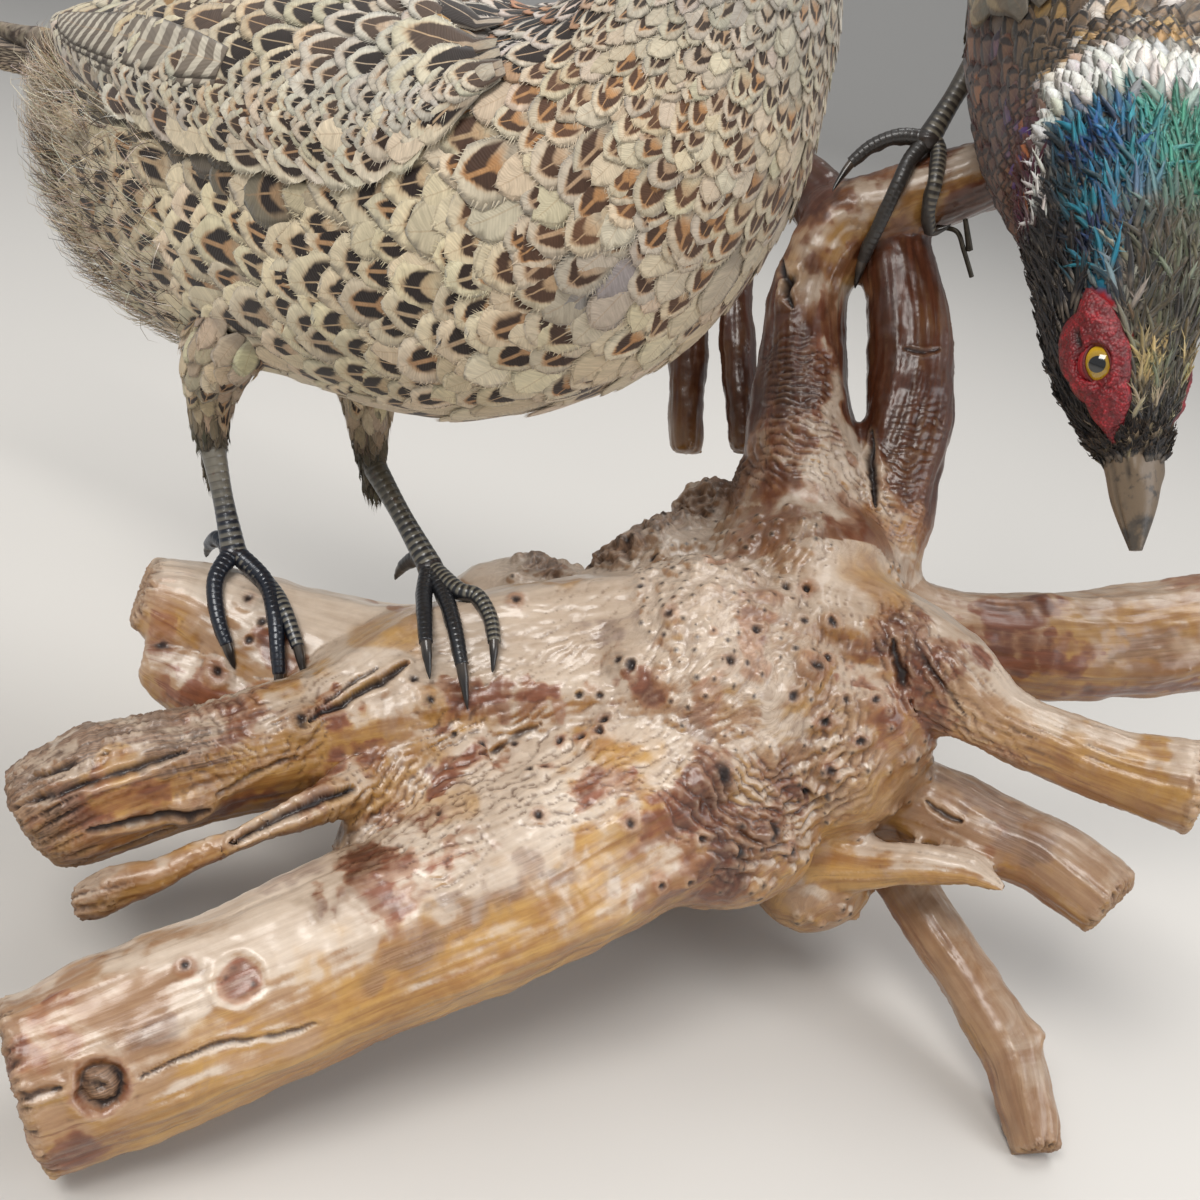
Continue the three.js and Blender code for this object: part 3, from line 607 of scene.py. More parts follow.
def vanes(surf, t, a, length, width, angle=0.0, root=0.4, tip=2.6, tuck=0.5, bend=0.0, roll=0.0, ragged=0.03, shape=ROUND, cols=6, lift=1.25, depth=0.0, fringe=0, wisp=2.2, hair=0.34, start=0.5):
    """closed thin vanes from roots at (t, a), their tips towards lower t, with loose barbs round the outer edge. Sizes in mm."""
    N = len(t)
    vec = lambda x: np.broadcast_to(np.asarray(x, float), (N,))[:, None]
    L, W, th, root, tip, tuck, bend, roll, ragged, wisp, hair = (vec(x) for x in (length, width, angle, root, tip, tuck, bend, roll, ragged, wisp, hair))
    s0 = surf.speeds(t, a)[0]
    st, sa = surf.speeds(t - 0.5 * L[:, 0] / np.maximum(s0, 1e-3), a)
    st, sa = np.maximum(st, 1e-3)[:, None], np.maximum(sa, 1e-3)[:, None]

    def place(x, y, h):
        xa, ya = x * np.cos(th) - y * np.sin(th), x * np.sin(th) + y * np.cos(th)
        T, A = (t[:, None] - xa / st).ravel(), (a[:, None] + ya / sa).ravel()
        D = depth(T, A) if callable(depth) else depth
        return surf.point(T, A, h.ravel() - D).reshape(N, -1, 3)

    rise = lambda V, U: root + (tip - root) * V ** lift - tuck * U * U * (0.3 + 0.7 * V) + roll * U * V
    v0, f0 = (np.array(x) for x in shape)
    nv, nu = len(v0), cols
    V, U = (x.ravel()[None] for x in np.meshgrid(v0, np.linspace(-1, 1, nu), indexing="ij"))
    F = np.repeat(f0, nu)[None]
    rag = ragged * np.tile(rng.normal(0, 1, (N, nu)), (1, nv)) * smooth(0.45, 1, V)
    x = L * (V + rag) - 0.16 * W * U * U * smooth(0.1, 0.6, V)
    y = W * F * U * (1 + 1.2 * ragged * np.repeat(rng.normal(0, 1, (N, nv)), nu, axis=1)) + bend * L * V * V
    verts = [place(x, y, rise(V, U))]
    us, vs = [np.broadcast_to(0.5 + 0.5 * U, (N, nv * nu))], [np.broadcast_to(V, (N, nv * nu))]
    top, low = [], []
    I = lambda i, j: i * nu + j
    for i in range(nv - 1):
        for j in range(nu - 1):
            top += [(I(i, j), I(i + 1, j), I(i + 1, j + 1)), (I(i, j), I(i + 1, j + 1), I(i, j + 1))]
        low += [(I(i, 0), I(i, nu - 1), I(i + 1, nu - 1)), (I(i, 0), I(i + 1, nu - 1), I(i + 1, 0))]
    for j in range(1, nu - 1):
        low += [(I(0, 0), I(0, j), I(0, j + 1)), (I(nv - 1, 0), I(nv - 1, j + 1), I(nv - 1, j))]
    per = nv * nu
    if fringe:
        # the rim of the outer half as a path: up one side, over the tip, down the other
        vr = np.linspace(start, 1, 24)
        fr = np.interp(vr, v0, f0)
        ux = np.linspace(-1, 1, 9)[1:-1]
        pv = np.concatenate([vr, np.ones(7), vr[::-1]])
        pu = np.concatenate([-np.ones(24), ux, np.ones(24)])
        pf = np.concatenate([fr, np.full(7, f0[-1]), fr[::-1]])
        asp = float(np.mean(L) / np.mean(W))
        run = np.concatenate([[0], np.cumsum(np.hypot(np.diff(pv) * asp, np.diff(pf * pu)))])
        k = (np.arange(fringe)[None] + rng.random((N, fringe))) / fringe * run[-1]
        kv, ku, kf = (np.interp(k, run, z) for z in (pv, pu, pf))
        x = L * kv - 0.16 * W * ku * ku * smooth(0.1, 0.6, kv)
        y = W * kf * ku + bend * L * kv * kv
        phi = 0.85 * kf * ku + rng.normal(0, 0.16, k.shape)
        back = np.minimum(0.28 * W, 1.3)
        bx, by = x - back * np.cos(phi), y - back * np.sin(phi)
        ln = back + wisp * (0.55 + 0.9 * rng.random(k.shape))
        h = rise(kv, ku * 0.9) - 0.05
        hw = 0.5 * hair * (0.7 + 0.6 * rng.random(k.shape))
        px_, py_ = -np.sin(phi) * hw, np.cos(phi) * hw
        quad = [place(bx - px_, by - py_, h), place(bx + px_, by + py_, h), place(bx, by, h - 0.28), place(bx + ln * np.cos(phi), by + ln * np.sin(phi), h + rng.normal(0.0, 0.16, k.shape) * wisp / 2.2)]
        verts.append(np.stack(quad, 2).reshape(N, -1, 3))
        us.append(np.repeat(0.5 + 0.5 * ku * 0.97, 4, axis=1))
        vs.append(np.repeat(np.minimum(kv, 0.995), 4, axis=1))
        for j in range(fringe):
            b = per + 4 * j
            low += [(b, b + 3, b + 1), (b + 1, b + 3, b + 2), (b + 2, b + 3, b), (b, b + 1, b + 2)]
        per += 4 * fringe
    verts = np.concatenate(verts, 1)
    tri = np.array(top + low)
    nrm = np.cross(verts[:, nu] - verts[:, 0], verts[:, 1] - verts[:, 0])
    want = surf.point(t, a, 1.0) - surf.point(t, a, 0.0)
    if np.mean(np.sum(nrm * want, -1)) < 0:
        tri = tri[:, ::-1]
    return dict(verts=verts, tri=tri, u=np.concatenate(us, 1), v=np.concatenate(vs, 1), nq=len(top), per=per, t=t, a=a, tris=len(tri))


def part_of(made, idx):
    return dict(made, verts=made["verts"][idx], u=made["u"][idx], v=made["v"][idx], t=made["t"][idx], a=made["a"][idx])


def coat(name, made, look, slot, material, uv, nodes=(), limit=190000):
    """joins feathers into pieces of under 200,000 triangles. look: per-feather colours, uv: (t, a) to a place on the unwrapped skin"""
    N, per = len(made["t"]), made["per"]
    chunk = max(1, limit // made["tris"])
    parts = math.ceil(N / chunk)
    chunk = math.ceil(N / parts)
    out = []
    for k in range(parts):
        s = slice(k * chunk, min(N, (k + 1) * chunk))
        n = s.stop - s.start
        verts = made["verts"][s].reshape(-1, 3)
        faces = (made["tri"][None] + (np.arange(n) * per)[:, None, None]).reshape(-1, 3)
        ob = mesh_object(name + (f"_{k + 1}" if parts > 1 else ""), M(verts), faces, material)
        me = ob.data
        flat = np.tile(np.arange(made["tris"]) < made["nq"], n)
        me.polygons.foreach_set("use_smooth", flat)
        rep = lambda x: np.repeat(np.asarray(x, float)[s], per, axis=0)
        colour_attribute(me, "ca", rep(look["ca"]))
        colour_attribute(me, "cb", rep(look["cb"]))
        colour_attribute(me, "pm", rep(look["pm"]))
        colour_attribute(me, "rd", rep(look["rd"]))
        u, v = made["u"][s].ravel(), made["v"][s].ravel()
        ru, rv = uv(made["t"][s], made["a"][s])
        uv_map(me, "OFBake", np.stack([np.repeat(ru, per) + (u - 0.5) * 0.003, np.repeat(rv, per) + (v - 0.5) * 0.003], -1))
        uv_map(me, "Feather", np.stack([u, v], -1))
        me.uv_layers["OFBake"].active_render = True
        done(ob, slot, *nodes)
        out.append(ob)
    return out


def look_of(n, base, mark, q0=0.6, q1=0.85, rufous=0.0, gap=0.08, bars=0.0, light=0.5, vary=0.06, side=0.78):
    """per-feather colours and mark places"""
    b = np.broadcast_to(np.asarray(base, float), (n, 3)) * (1 + rng.normal(0, vary, (n, 1))) * (1 + rng.normal(0, vary * 0.3, (n, 3)))
    c = np.broadcast_to(np.asarray(mark, float), (n, 3)) * (1 + rng.normal(0, vary, (n, 1)))
    f = lambda x: np.broadcast_to(np.asarray(x, float), (n,))
    pm = np.stack([f(q0) + rng.normal(0, 0.015, n), f(q1) + rng.normal(0, 0.012, n), f(rufous), f(gap)], -1)
    rd = np.stack([rng.random(n), f(bars), np.clip(f(light) + rng.normal(0, 0.08, n), 0, 1), np.clip(f(side) + rng.normal(0, 0.05, n), 0, 1.3)], -1)
    return dict(ca=np.clip(b, 0, 1), cb=np.clip(c, 0, 1), pm=np.clip(pm, 0, 2), rd=rd)


def turned(a):
    """angle from the back: 0 on the back, 0.5 on the side, 1 on the belly"""
    return np.abs((np.asarray(a) - math.pi / 2 + math.pi) % TAU - math.pi) / math.pi


hen_uv = lambda t, a: (0.02 + 0.66 * ((a + math.pi) / TAU), 0.04 + 0.94 * np.clip(t, 0, 1))
cock_uv = hen_uv
wing_uv = lambda k: (lambda f, g: (0.72 + 0.14 * k + 0.12 * np.clip(g, 0, 1), 0.04 + 0.5 * np.clip(f, 0, 1)))
leg_uv = lambda k: (lambda t, a: (0.72 + 0.14 * k + 0.12 * ((a + math.pi) / TAU % 1), 0.58 + 0.2 * np.clip(t, 0, 1)))
tail_uv = lambda t, a: (0.72 + 0.2 * np.clip((a + 40) / 80, 0, 1), 0.80 + 0.18 * np.clip(-t / 600, 0, 1))

# ------------------------------------------------------------------ colours (scene linear)
CREAM, GREYCREAM, BUFF = (0.68, 0.575, 0.39), (0.55, 0.475, 0.365), (0.52, 0.38, 0.22)
DARK, UMBER, RUFOUS, CHESTNUT = (0.017, 0.010, 0.008), (0.075, 0.048, 0.033), (0.27, 0.115, 0.05), (0.36, 0.13, 0.04)
GREYBROWN, OLIVE, SLATE, WHITE = (0.20, 0.155, 0.115), (0.055, 0.046, 0.026), (0.085, 0.09, 0.105), (0.68, 0.66, 0.62)


# ------------------------------------------------------------------ the hen's coat
def hen_depth(t, a=None):
    return 3.6 - 1.2 * smooth(0.50, 0.62, t) - 1.1 * smooth(0.72, 0.84, t)


def hen_spacing(t, a):
    out = 10.4 + (5.0 - 10.4) * smooth(0.455, 0.585, t)
    out = out + (2.7 - out) * smooth(0.72, 0.82, t)
    return out + (1.7 - out) * smooth(0.87, 0.95, t)


def hen_lateral(t, a):
    return hen_spacing(t, a) * (1.16 - 0.12 * smooth(0.45, 0.6, t))


def hen_region(t, a):
    """weights of the parts of the hen's coat"""
    s = turned(a)
    head = smooth(0.79, 0.83, t)
    neck = smooth(0.55, 0.62, t) * (1 - head)
    mantle = (1 - smooth(0.30, 0.40, s)) * smooth(0.34, 0.42, t) * (1 - smooth(0.55, 0.62, t))
    back = (1 - smooth(0.34, 0.46, s)) * (1 - smooth(0.34, 0.42, t))
    breast = smooth(0.42, 0.50, t) * (1 - neck) * (1 - head) * (1 - mantle)
    belly = smooth(0.80, 0.93, s) * (1 - smooth(0.44, 0.52, t))
    vent = (1 - smooth(0.10, 0.17, t)) * smooth(0.42, 0.55, s)
    return dict(s=s, head=head, neck=neck, mantle=mantle, back=back, breast=breast, belly=belly, vent=vent)


def hen_look(t, a):
    r = hen_region(t, a)
    n = len(t)
    base = np.tile(CREAM, (n, 1)).astype(float)
    mark = np.tile(DARK, (n, 1)).astype(float)
    ch, ch2, ch3 = rng.random(n), rng.random(n), rng.random(n)
    base = mix(base, (0.52, 0.46, 0.34), 0.6 * ch3)
    # the mark is a dark chevron, wide on some feathers and worn to a pair of spots or nothing on others
    q0, q1 = 0.60 - 0.12 * ch2, 0.835 - 0.04 * ch3
    q0 = np.where(ch < 0.14, 1.3, q0)
    ruf, gap, bars, light = np.where(ch2 > 0.7, 0.8, 0.25), np.where(ch2 < 0.35, 0.02, 0.085), np.zeros(n), np.full(n, 0.5)
    side = 0.50 + 0.16 * ch
    # breast: sparser marks, browner, many with an orange-buff eye
    k = r["breast"]
    base = mix(base, mix(GREYCREAM, (0.60, 0.49, 0.34), ch3), k)
    mark = mix(mark, mix((0.060, 0.030, 0.018), (0.13, 0.062, 0.032), ch3), k)
    worn = k > rng.random(n)
    q0 = np.where(worn, np.where(ch < 0.30, 1.3, 0.68 - 0.10 * ch2), q0)
    q1 = np.where(worn, 0.86, q1)
    ruf = np.where(worn, np.where(ch > 0.72, 1.0, 0.42), ruf)
    side = side + 0.04 * k
    # pale silky feathers low on the breast, with a smoky patch at its side
    low = smooth(0.36, 0.42, t) * (1 - smooth(0.47, 0.52, t)) * smooth(0.62, 0.74, r["s"])
    base = mix(base, mix((0.66, 0.59, 0.44), (0.60, 0.49, 0.32), ch3), 0.7 * low)
    q0 = np.where(low > 0.50 + 0.9 * rng.random(n), 1.3, q0)
    smoke = np.exp(-(((t - 0.490) / 0.016) ** 2 + ((r["s"] - 0.72) / 0.045) ** 2)) * (a < 0)
    base = mix(base, (0.25, 0.235, 0.235), np.clip(1.3 * smoke, 0, 1) * 0.85)
    q0 = np.where(smoke > 0.4, 1.3, q0)
    # neck: small, greyish, with a faint dark crescent
    k = r["neck"]
    base = mix(base, mix((0.49, 0.44, 0.355), (0.40, 0.36, 0.30), ch3), k)
    mark = mix(mark, (0.058, 0.042, 0.032), k)
    worn = k > rng.random(n)
    q0 = np.where(worn, np.where(ch < 0.22, 1.3, 0.64), q0)
    side = np.where(worn, 0.66, side)
    ruf = np.where(worn, np.where(ch > 0.9, 0.7, 0.10), ruf)
    # mantle: black centres, white rims, chestnut spots
    k = r["mantle"]
    base = mix(base, mix((0.56, 0.50, 0.44), CHESTNUT, (ch < 0.25) * 0.8), k)
    mark = mix(mark, (0.010, 0.008, 0.008), k)
    worn = k > 0.5
    q0, q1 = np.where(worn, 0.26, q0), np.where(worn, 0.86, q1)
    side = np.where(worn, 0.90, side)
    ruf, gap = np.where(worn, 0.3, ruf), np.where(worn, 0.03, gap)
    # back and rump: brown centres, buff rims
    k = r["back"]
    base = mix(base, BUFF, k)
    mark = mix(mark, (0.045, 0.028, 0.020), k)
    worn = k > 0.5
    q0, q1 = np.where(worn, 0.50, q0), np.where(worn, 0.88, q1)
    # belly: plain cream
    k = r["belly"]
    base = mix(base, (0.60, 0.50, 0.36), k)
    q0 = np.where((k > 0.4) & (ch < 0.5), 1.3, q0)
    # vent: soft grey-brown
    k = r["vent"]
    base = mix(base, mix(mix(GREYBROWN, (0.46, 0.38, 0.28), ch3), (0.075, 0.050, 0.036), ch2 < 0.25), k)
    q0 = np.where((k > 0.4) & (ch < 0.7), 1.3, q0)
    # under the long edge of the folded wing the flank feathers are painted near-black: painted shadow beneath that
    # edge, over the grey down that shows there
    f = (t - 0.05 / 14) / (6.3 / 14)
    al = np.where(np.abs(a) > math.pi / 2, math.pi - np.abs(a), np.abs(a)) * np.sign(a + 1e-9)
    wing_edge_shadow = smooth(-0.30, -0.02, al - wing_low(np.clip(f, 0, 1))) * smooth(-0.1, 0.05, f) * (1 - smooth(0.72, 0.95, f))
    wing_edge_shadow = wing_edge_shadow * (1 - smooth(-0.30, -0.10, al - wing_top(np.clip(f, 0, 1))))
    base = mix(base, (0.060, 0.046, 0.035), 0.92 * np.clip(1.4 * wing_edge_shadow, 0, 1))
    q0 = np.where(wing_edge_shadow > 0.7, 1.3, q0)
    # a patch of blue-grey down where the wrist meets the breast
    s_ = r["s"]
    patch = np.exp(-(((t - 0.425) / 0.022) ** 2 + ((s_ - 0.34) / 0.035) ** 2))
    base = mix(base, (0.30, 0.32, 0.34), np.clip(1.2 * patch, 0, 1) * 0.9)
    q0 = np.where(patch > 0.45, 1.3, q0)
    # head: dark barred crown, buff cheek, pale throat
    k = r["head"]
    crown = (1 - smooth(0.20, 0.36, s_))
    throat = smooth(0.66, 0.85, s_)
    face = mix(mix((0.46, 0.36, 0.23), (0.20, 0.125, 0.070), crown), (0.60, 0.53, 0.42), throat)
    ear = np.exp(-(((t - 0.835) / 0.018) ** 2 + ((s_ - 0.50) / 0.10) ** 2))
    face = mix(face, (0.15, 0.095, 0.055), 0.65 * ear)
    base = mix(base, face, k)
    worn = k > 0.5
    q0 = np.where(worn, np.where(ch < 0.35 + 0.5 * throat, 1.3, 0.60 + 0.1 * ch2), q0)
    q1 = np.where(worn, 0.85, q1)
    ruf = ruf * (1 - k)
    return look_of(n, base, mark, q0, q1, ruf, gap, bars, light, side=side)


m_feather = feather_material("hen_feathers")

wing_low = lambda f: 0.3 + 0.28 * (1 - smooth(0, 0.3, f)) - 0.1 * smooth(0.3, 0.7, f) + 0.25 * smooth(0.8, 1, f)
wing_top = lambda f: 1.4 - 0.2 * f - 0.2 * smooth(0.75, 1, f)
hen_wings = [FoldedWing(hen, k == 1, 0.05 / 14, 6.35 / 14, wing_low, wing_top, 5) for k in (0, 1)]


def under_wing(t, a):
    """true where the folded wing hides the body"""
    f = (t - 0.05 / 14) / (6.3 / 14)
    al = np.where(np.abs(a) > math.pi / 2, math.pi - np.abs(a), np.abs(a)) * np.sign(a + 1e-9)
    fc = np.clip(f, 0, 1)
    return (f > 0.12) & (f < 0.90) & (al > wing_low(fc) + 0.22) & (al < wing_top(fc) - 0.30)


t, a = rows(hen, 0.0, 0.988, hen_spacing, hen_lateral, keep=lambda t, a: ~under_wing(t, a))
EYE_T = 0.873
face_gap = lambda t, a: (((t - EYE_T) * 370) ** 2 + ((turned(a) - 0.42) * 48) ** 2) < 6.4 ** 2
m = ~face_gap(t, a)
t, a = t[m], a[m]
look = hen_look(t, a)
# large feathers first, then the small ones of the neck and head, which have fewer barbs
for sel, nm, fr in ((t < 0.25, "hen_rear_feathers", 34), ((t >= 0.25) & (t < 0.52), "hen_flank_feathers", 28), ((t >= 0.52) & (t < 0.76), "hen_neck_feathers", 14), (t >= 0.76, "hen_head_feathers", 5)):
    idx = np.nonzero(sel)[0]
    tt, aa = t[idx], a[idx]
    n = len(idx)
    sp, reg, dp = hen_spacing(tt, aa), hen_region(tt, aa), hen_depth(tt)
    soft = np.clip(reg["vent"] + 0.5 * reg["belly"], 0, 1)
    # the last ones before the tail are short, so that none stands above it
    size = (1 + rng.normal(0, 0.12, n)) * (0.42 + 0.58 * smooth(0.0, 0.07, tt))
    made = vanes(hen, tt, aa, sp * (2.7 + 0.4 * reg["belly"] + 1.0 * reg["vent"]) * size, hen_lateral(tt, aa) * (0.70 - 0.08 * reg["belly"] - 0.18 * reg["vent"]) * size,
                 angle=rng.normal(0, 0.12 + 0.20 * reg["vent"], n), root=0.25, tip=dp * (0.54 + 0.8 * reg["vent"]) * (1 + rng.normal(0, 0.16, n)), tuck=0.42 * dp / 3.6 + 0.1,
                 bend=rng.normal(0, 0.06, n), roll=rng.normal(0, 0.15, n) * dp / 3.6, ragged=0.022 + 0.03 * reg["vent"], depth=hen_depth, cols=6 if fr > 10 else 5,
                 fringe=fr, wisp=0.12 * sp * (1 + 0.5 * soft) + 6.0 * reg["vent"] * smooth(0.01, 0.08, tt) + 0.3, hair=0.32 + 0.02 * sp)
    coat(nm, made, {k: x[idx] for k, x in look.items()}, "hen_plumage", m_feather, hen_uv)
    print(nm, n, made["tris"] * n)

def strands(name, surf, t, a, length, thick, lift, colour, slot, material, uv, spread=0.5, depth=0.0, curl=0.3):
    """loose down: thin curved barbs that stand off the body and bend back"""
    N, S = len(t), 4
    st, sa = surf.speeds(t, a)
    st, sa = np.maximum(st, 1e-3)[:, None], np.maximum(sa, 1e-3)[:, None]
    x = np.linspace(0, 1, S)[None]
    th = rng.normal(0, spread, (N, 1)) + curl * rng.normal(0, 1, (N, 1)) * x
    L = (length * (1 + rng.normal(0, 0.25, N)))[:, None]
    xa, ya = np.cumsum(np.cos(th) * L / (S - 1), 1) - L / (S - 1), np.cumsum(np.sin(th) * L / (S - 1), 1)
    h = lift * (1 + rng.normal(0, 0.4, (N, 1))) * np.sin(x * 1.9) - depth
    c = surf.point((t[:, None] - xa / st).ravel(), (a[:, None] + ya / sa).ravel(), h.ravel()).reshape(N, S, 3)
    T = unit(np.gradient(c, axis=1))
    side = unit(np.cross(T, unit(rng.normal(0, 1, (N, 1, 3)))))
    up = np.cross(side, T)
    w = thick * (1 - 0.85 * x)[..., None]
    ring = np.stack([c + side * w, c - 0.5 * side * w + 0.8 * up * w, c - 0.5 * side * w - 0.8 * up * w], 2)[:, :-1].reshape(N, -1, 3)
    verts = np.concatenate([ring, c[:, -1:]], 1)
    tri = [(0, 1, 2)]
    for i in range(S - 2):
        for j in range(3):
            p_, q_ = 3 * i + j, 3 * i + (j + 1) % 3
            tri += [(p_, p_ + 3, q_ + 3), (p_, q_ + 3, q_)]
    e = 3 * (S - 2)
    tri += [(e + j, 3 * (S - 1), e + (j + 1) % 3) for j in range(3)]
    tri = np.array(tri)
    k = len(verts[0])
    faces = (tri[None] + (np.arange(N) * k)[:, None, None]).reshape(-1, 3)
    ob = mesh_object(name, M(verts.reshape(-1, 3)), faces, material)
    me = ob.data
    v = np.concatenate([np.repeat(x[0, :-1], 3), [1.0]])
    look = look_of(N, colour, colour, 1.4, 1.5, 0.0, 0.0, vary=0.16)
    for nm in ("ca", "cb", "pm", "rd"):
        colour_attribute(me, nm, np.repeat(look[nm], k, axis=0))
    V = np.tile(v, N)
    ru, rv = uv(t, a)
    uv_map(me, "OFBake", np.stack([np.repeat(ru, k) + np.tile(np.linspace(-0.0014, 0.0014, k), N), np.repeat(rv, k) + (V - 0.5) * 0.003], -1))
    uv_map(me, "Feather", np.stack([np.full(len(V), 0.4), 0.45 + 0.55 * V], -1))
    me.uv_layers["OFBake"].active_render = True
    done(ob, slot)
    print(name, N, len(faces))
    return ob


n = 5200
t = 0.005 + 0.24 * rng.random(n) ** 1.2
s_ = 0.44 + 0.50 * rng.random(n)
keepf = rng.random(n) < np.clip(1.2 - t / 0.22 * (0.5 + 0.6 * (s_ - 0.44)), 0.05, 1)
keepf &= (s_ > 0.62) | (t > 0.05)
t, s_ = t[keepf], s_[keepf]
a = math.pi / 2 + s_ * math.pi * np.where(rng.random(len(t)) < 0.62, 1, -1)
a = (a + math.pi) % TAU - math.pi
wob = fbm(hen.point(t, a) / 13.0, 33)
shade = smooth(0.44, 0.56, wob)
col = mix((0.075, 0.052, 0.038), (0.66, 0.56, 0.42), shade)
col = mix(col, (0.42, 0.30, 0.18), rng.random(len(t)) < 0.30)
col = mix(col, (0.80, 0.74, 0.64), rng.random(len(t)) < 0.12)
strands("hen_vent_down", hen, t, a, (13 + 8 * rng.random(len(t))) * (0.40 + 0.60 * smooth(0.0, 0.07, t)), 0.17, 5.2 * (1 - smooth(0.12, 0.24, t)[:, None]) + 1.4, col, "hen_plumage", m_feather, hen_uv, spread=0.42, depth=1.2)

# wings: flight feathers below, then coverts in rows
for k, wing in enumerate(hen_wings):
    side = ("left", "right")[k]
    n = 8
    g = np.linspace(0.02, 0.30, n)
    f = np.full(n, 0.62)
    made = vanes(wing, f, g, 128 - 5.0 * np.arange(n)[::-1] * 0.9, 8.5, root=0.3 + 0.28 * np.arange(n), tip=0.5 + 0.34 * np.arange(n), tuck=0.3, ragged=0.006, shape=LONG, cols=7, lift=1.0, fringe=60, wisp=0.8, start=0.35)
    coat(f"hen_primaries_{side}", made, look_of(n, (0.115, 0.088, 0.064), (0.50, 0.45, 0.36), 1.3, 1.4, 0, 0.03, bars=0.36), "hen_plumage", m_feather, wing_uv(k))
    n = 10
    g = np.linspace(0.30, 0.96, n)
    f = np.linspace(0.70, 0.78, n)
    made = vanes(wing, f, g, np.linspace(112, 84, n), 11.0, root=0.6 + 0.1 * np.arange(n), tip=1.6 + 0.12 * np.arange(n), tuck=0.4, ragged=0.008, shape=LONG, cols=7, lift=1.0, fringe=60, wisp=0.8, start=0.35)
    coat(f"hen_secondaries_{side}", made, look_of(n, (0.13, 0.092, 0.062), (0.50, 0.43, 0.31), 1.3, 1.4, 0, 0.05, bars=0.26), "hen_plumage", m_feather, wing_uv(k))
    sp_w = lambda f, g: 12.8 - 3.4 * smooth(0.3, 0.95, f) - 4.2 * (1 - smooth(0.05, 0.40, g))
    la_w = lambda f, g: sp_w(f, g) * 1.0
    f, g = rows(wing, 0.20, 1.06, sp_w, la_w, span=(0.0, 1.0), jitter=0.10)
    sp = sp_w(f, g)
    lower = 1 - smooth(0.05, 0.35, g)
    made = vanes(wing, f, g, sp * 2.6 * (1 + rng.normal(0, 0.05, len(f))), sp * 0.68, angle=rng.normal(0, 0.045, len(f)), root=0.5, tip=2.3 * (1 + rng.normal(0, 0.1, len(f))), tuck=0.40,
                 roll=rng.normal(0, 0.06, len(f)), ragged=0.008, fringe=24, wisp=0.07 * sp + 0.2)
    ch = rng.random(len(f))
    front = smooth(0.62, 0.95, f)
    pw = wing.point(f, g)
    blot = smooth(0.42, 0.60, fbm(pw / 17.0, 35))
    base = mix(mix((0.50, 0.435, 0.31), BUFF, 0.5 * (ch > 0.7)), (0.50, 0.465, 0.395), np.clip(0.6 * blot + 0.35 * front, 0, 1))
    ochre = np.clip((ch < 0.30) * smooth(0.42, 0.7, g) * smooth(0.35, 0.6, f) + 0.0, 0, 1)
    mark = mix(mix((0.018, 0.011, 0.008), (0.085, 0.052, 0.034), 0.7 * (ch > 0.6)), (0.30, 0.165, 0.05), ochre)
    pale_ = blot * (rng.random(len(f)) < 0.30)
    q0w = np.where(pale_ > 0.5, 0.62, 0.33 - 0.14 * rng.random(len(f)))
    q1w = 0.80 + 0.06 * smooth(0.35, 0.60, f)
    coat(f"hen_coverts_{side}", made, look_of(len(f), base, mark, q0w, q1w, 0.35 * (ch > 0.6), 0.02, side=0.76 + 0.12 * (ch > 0.4)), "hen_plumage", m_feather, wing_uv(k))
    # the last row hangs over the flank
    n = 26
    fe = np.linspace(0.08, 0.50, n) + rng.normal(0, 0.006, n)
    ge = 0.035 + 0.02 * rng.random(n)
    made = vanes(wing, fe, ge, 15.0, 5.0, angle=-(0.34 + 0.12 * rng.random(n)), root=1.6, tip=1.1, tuck=0.9, roll=rng.normal(0, 0.15, n), ragged=0.02, fringe=22, wisp=1.6)
    che = rng.random(n)
    coat(f"hen_edge_coverts_{side}", made, look_of(n, mix((0.60, 0.53, 0.39), (0.58, 0.55, 0.47), che), (0.020, 0.012, 0.009), 0.34, 0.79, 0.2, 0.02, side=0.76), "hen_plumage", m_feather, wing_uv(k))
    # big boldly marked ones lie over the front of that edge, so that wing and flank run together
    n = 68
    row3 = np.arange(n) % 4
    fe = np.repeat(np.linspace(0.48, 0.99, n // 4), 4) + row3 * 0.012 + rng.normal(0, 0.006, n)
    ge = np.array([-0.02, 0.035, 0.09, 0.145])[row3] + 0.015 * rng.random(n)
    order_ = np.argsort(fe, kind="stable")
    fe, ge = fe[order_], ge[order_]
    made = vanes(wing, fe, ge, (19 + 4 * rng.random(n)), 5.9 + 0.8 * rng.random(n), angle=rng.normal(-0.12, 0.06, n), root=1.2, tip=2.0 * (1 + rng.normal(0, 0.15, n)), tuck=0.9, roll=rng.normal(0, 0.10, n), ragged=0.016, fringe=22, wisp=1.6)
    che = rng.random(n)
    coat(f"hen_shoulder_feathers_{side}", made, look_of(n, mix((0.64, 0.55, 0.39), (0.60, 0.55, 0.45), che), mix((0.016, 0.010, 0.008), (0.05, 0.026, 0.016), che), np.where(che < 0.10, 1.3, 0.46 - 0.08 * che), 0.81, np.where(che > 0.6, 0.8, 0.3), 0.05, side=0.66), "hen_plumage", m_feather, wing_uv(k))

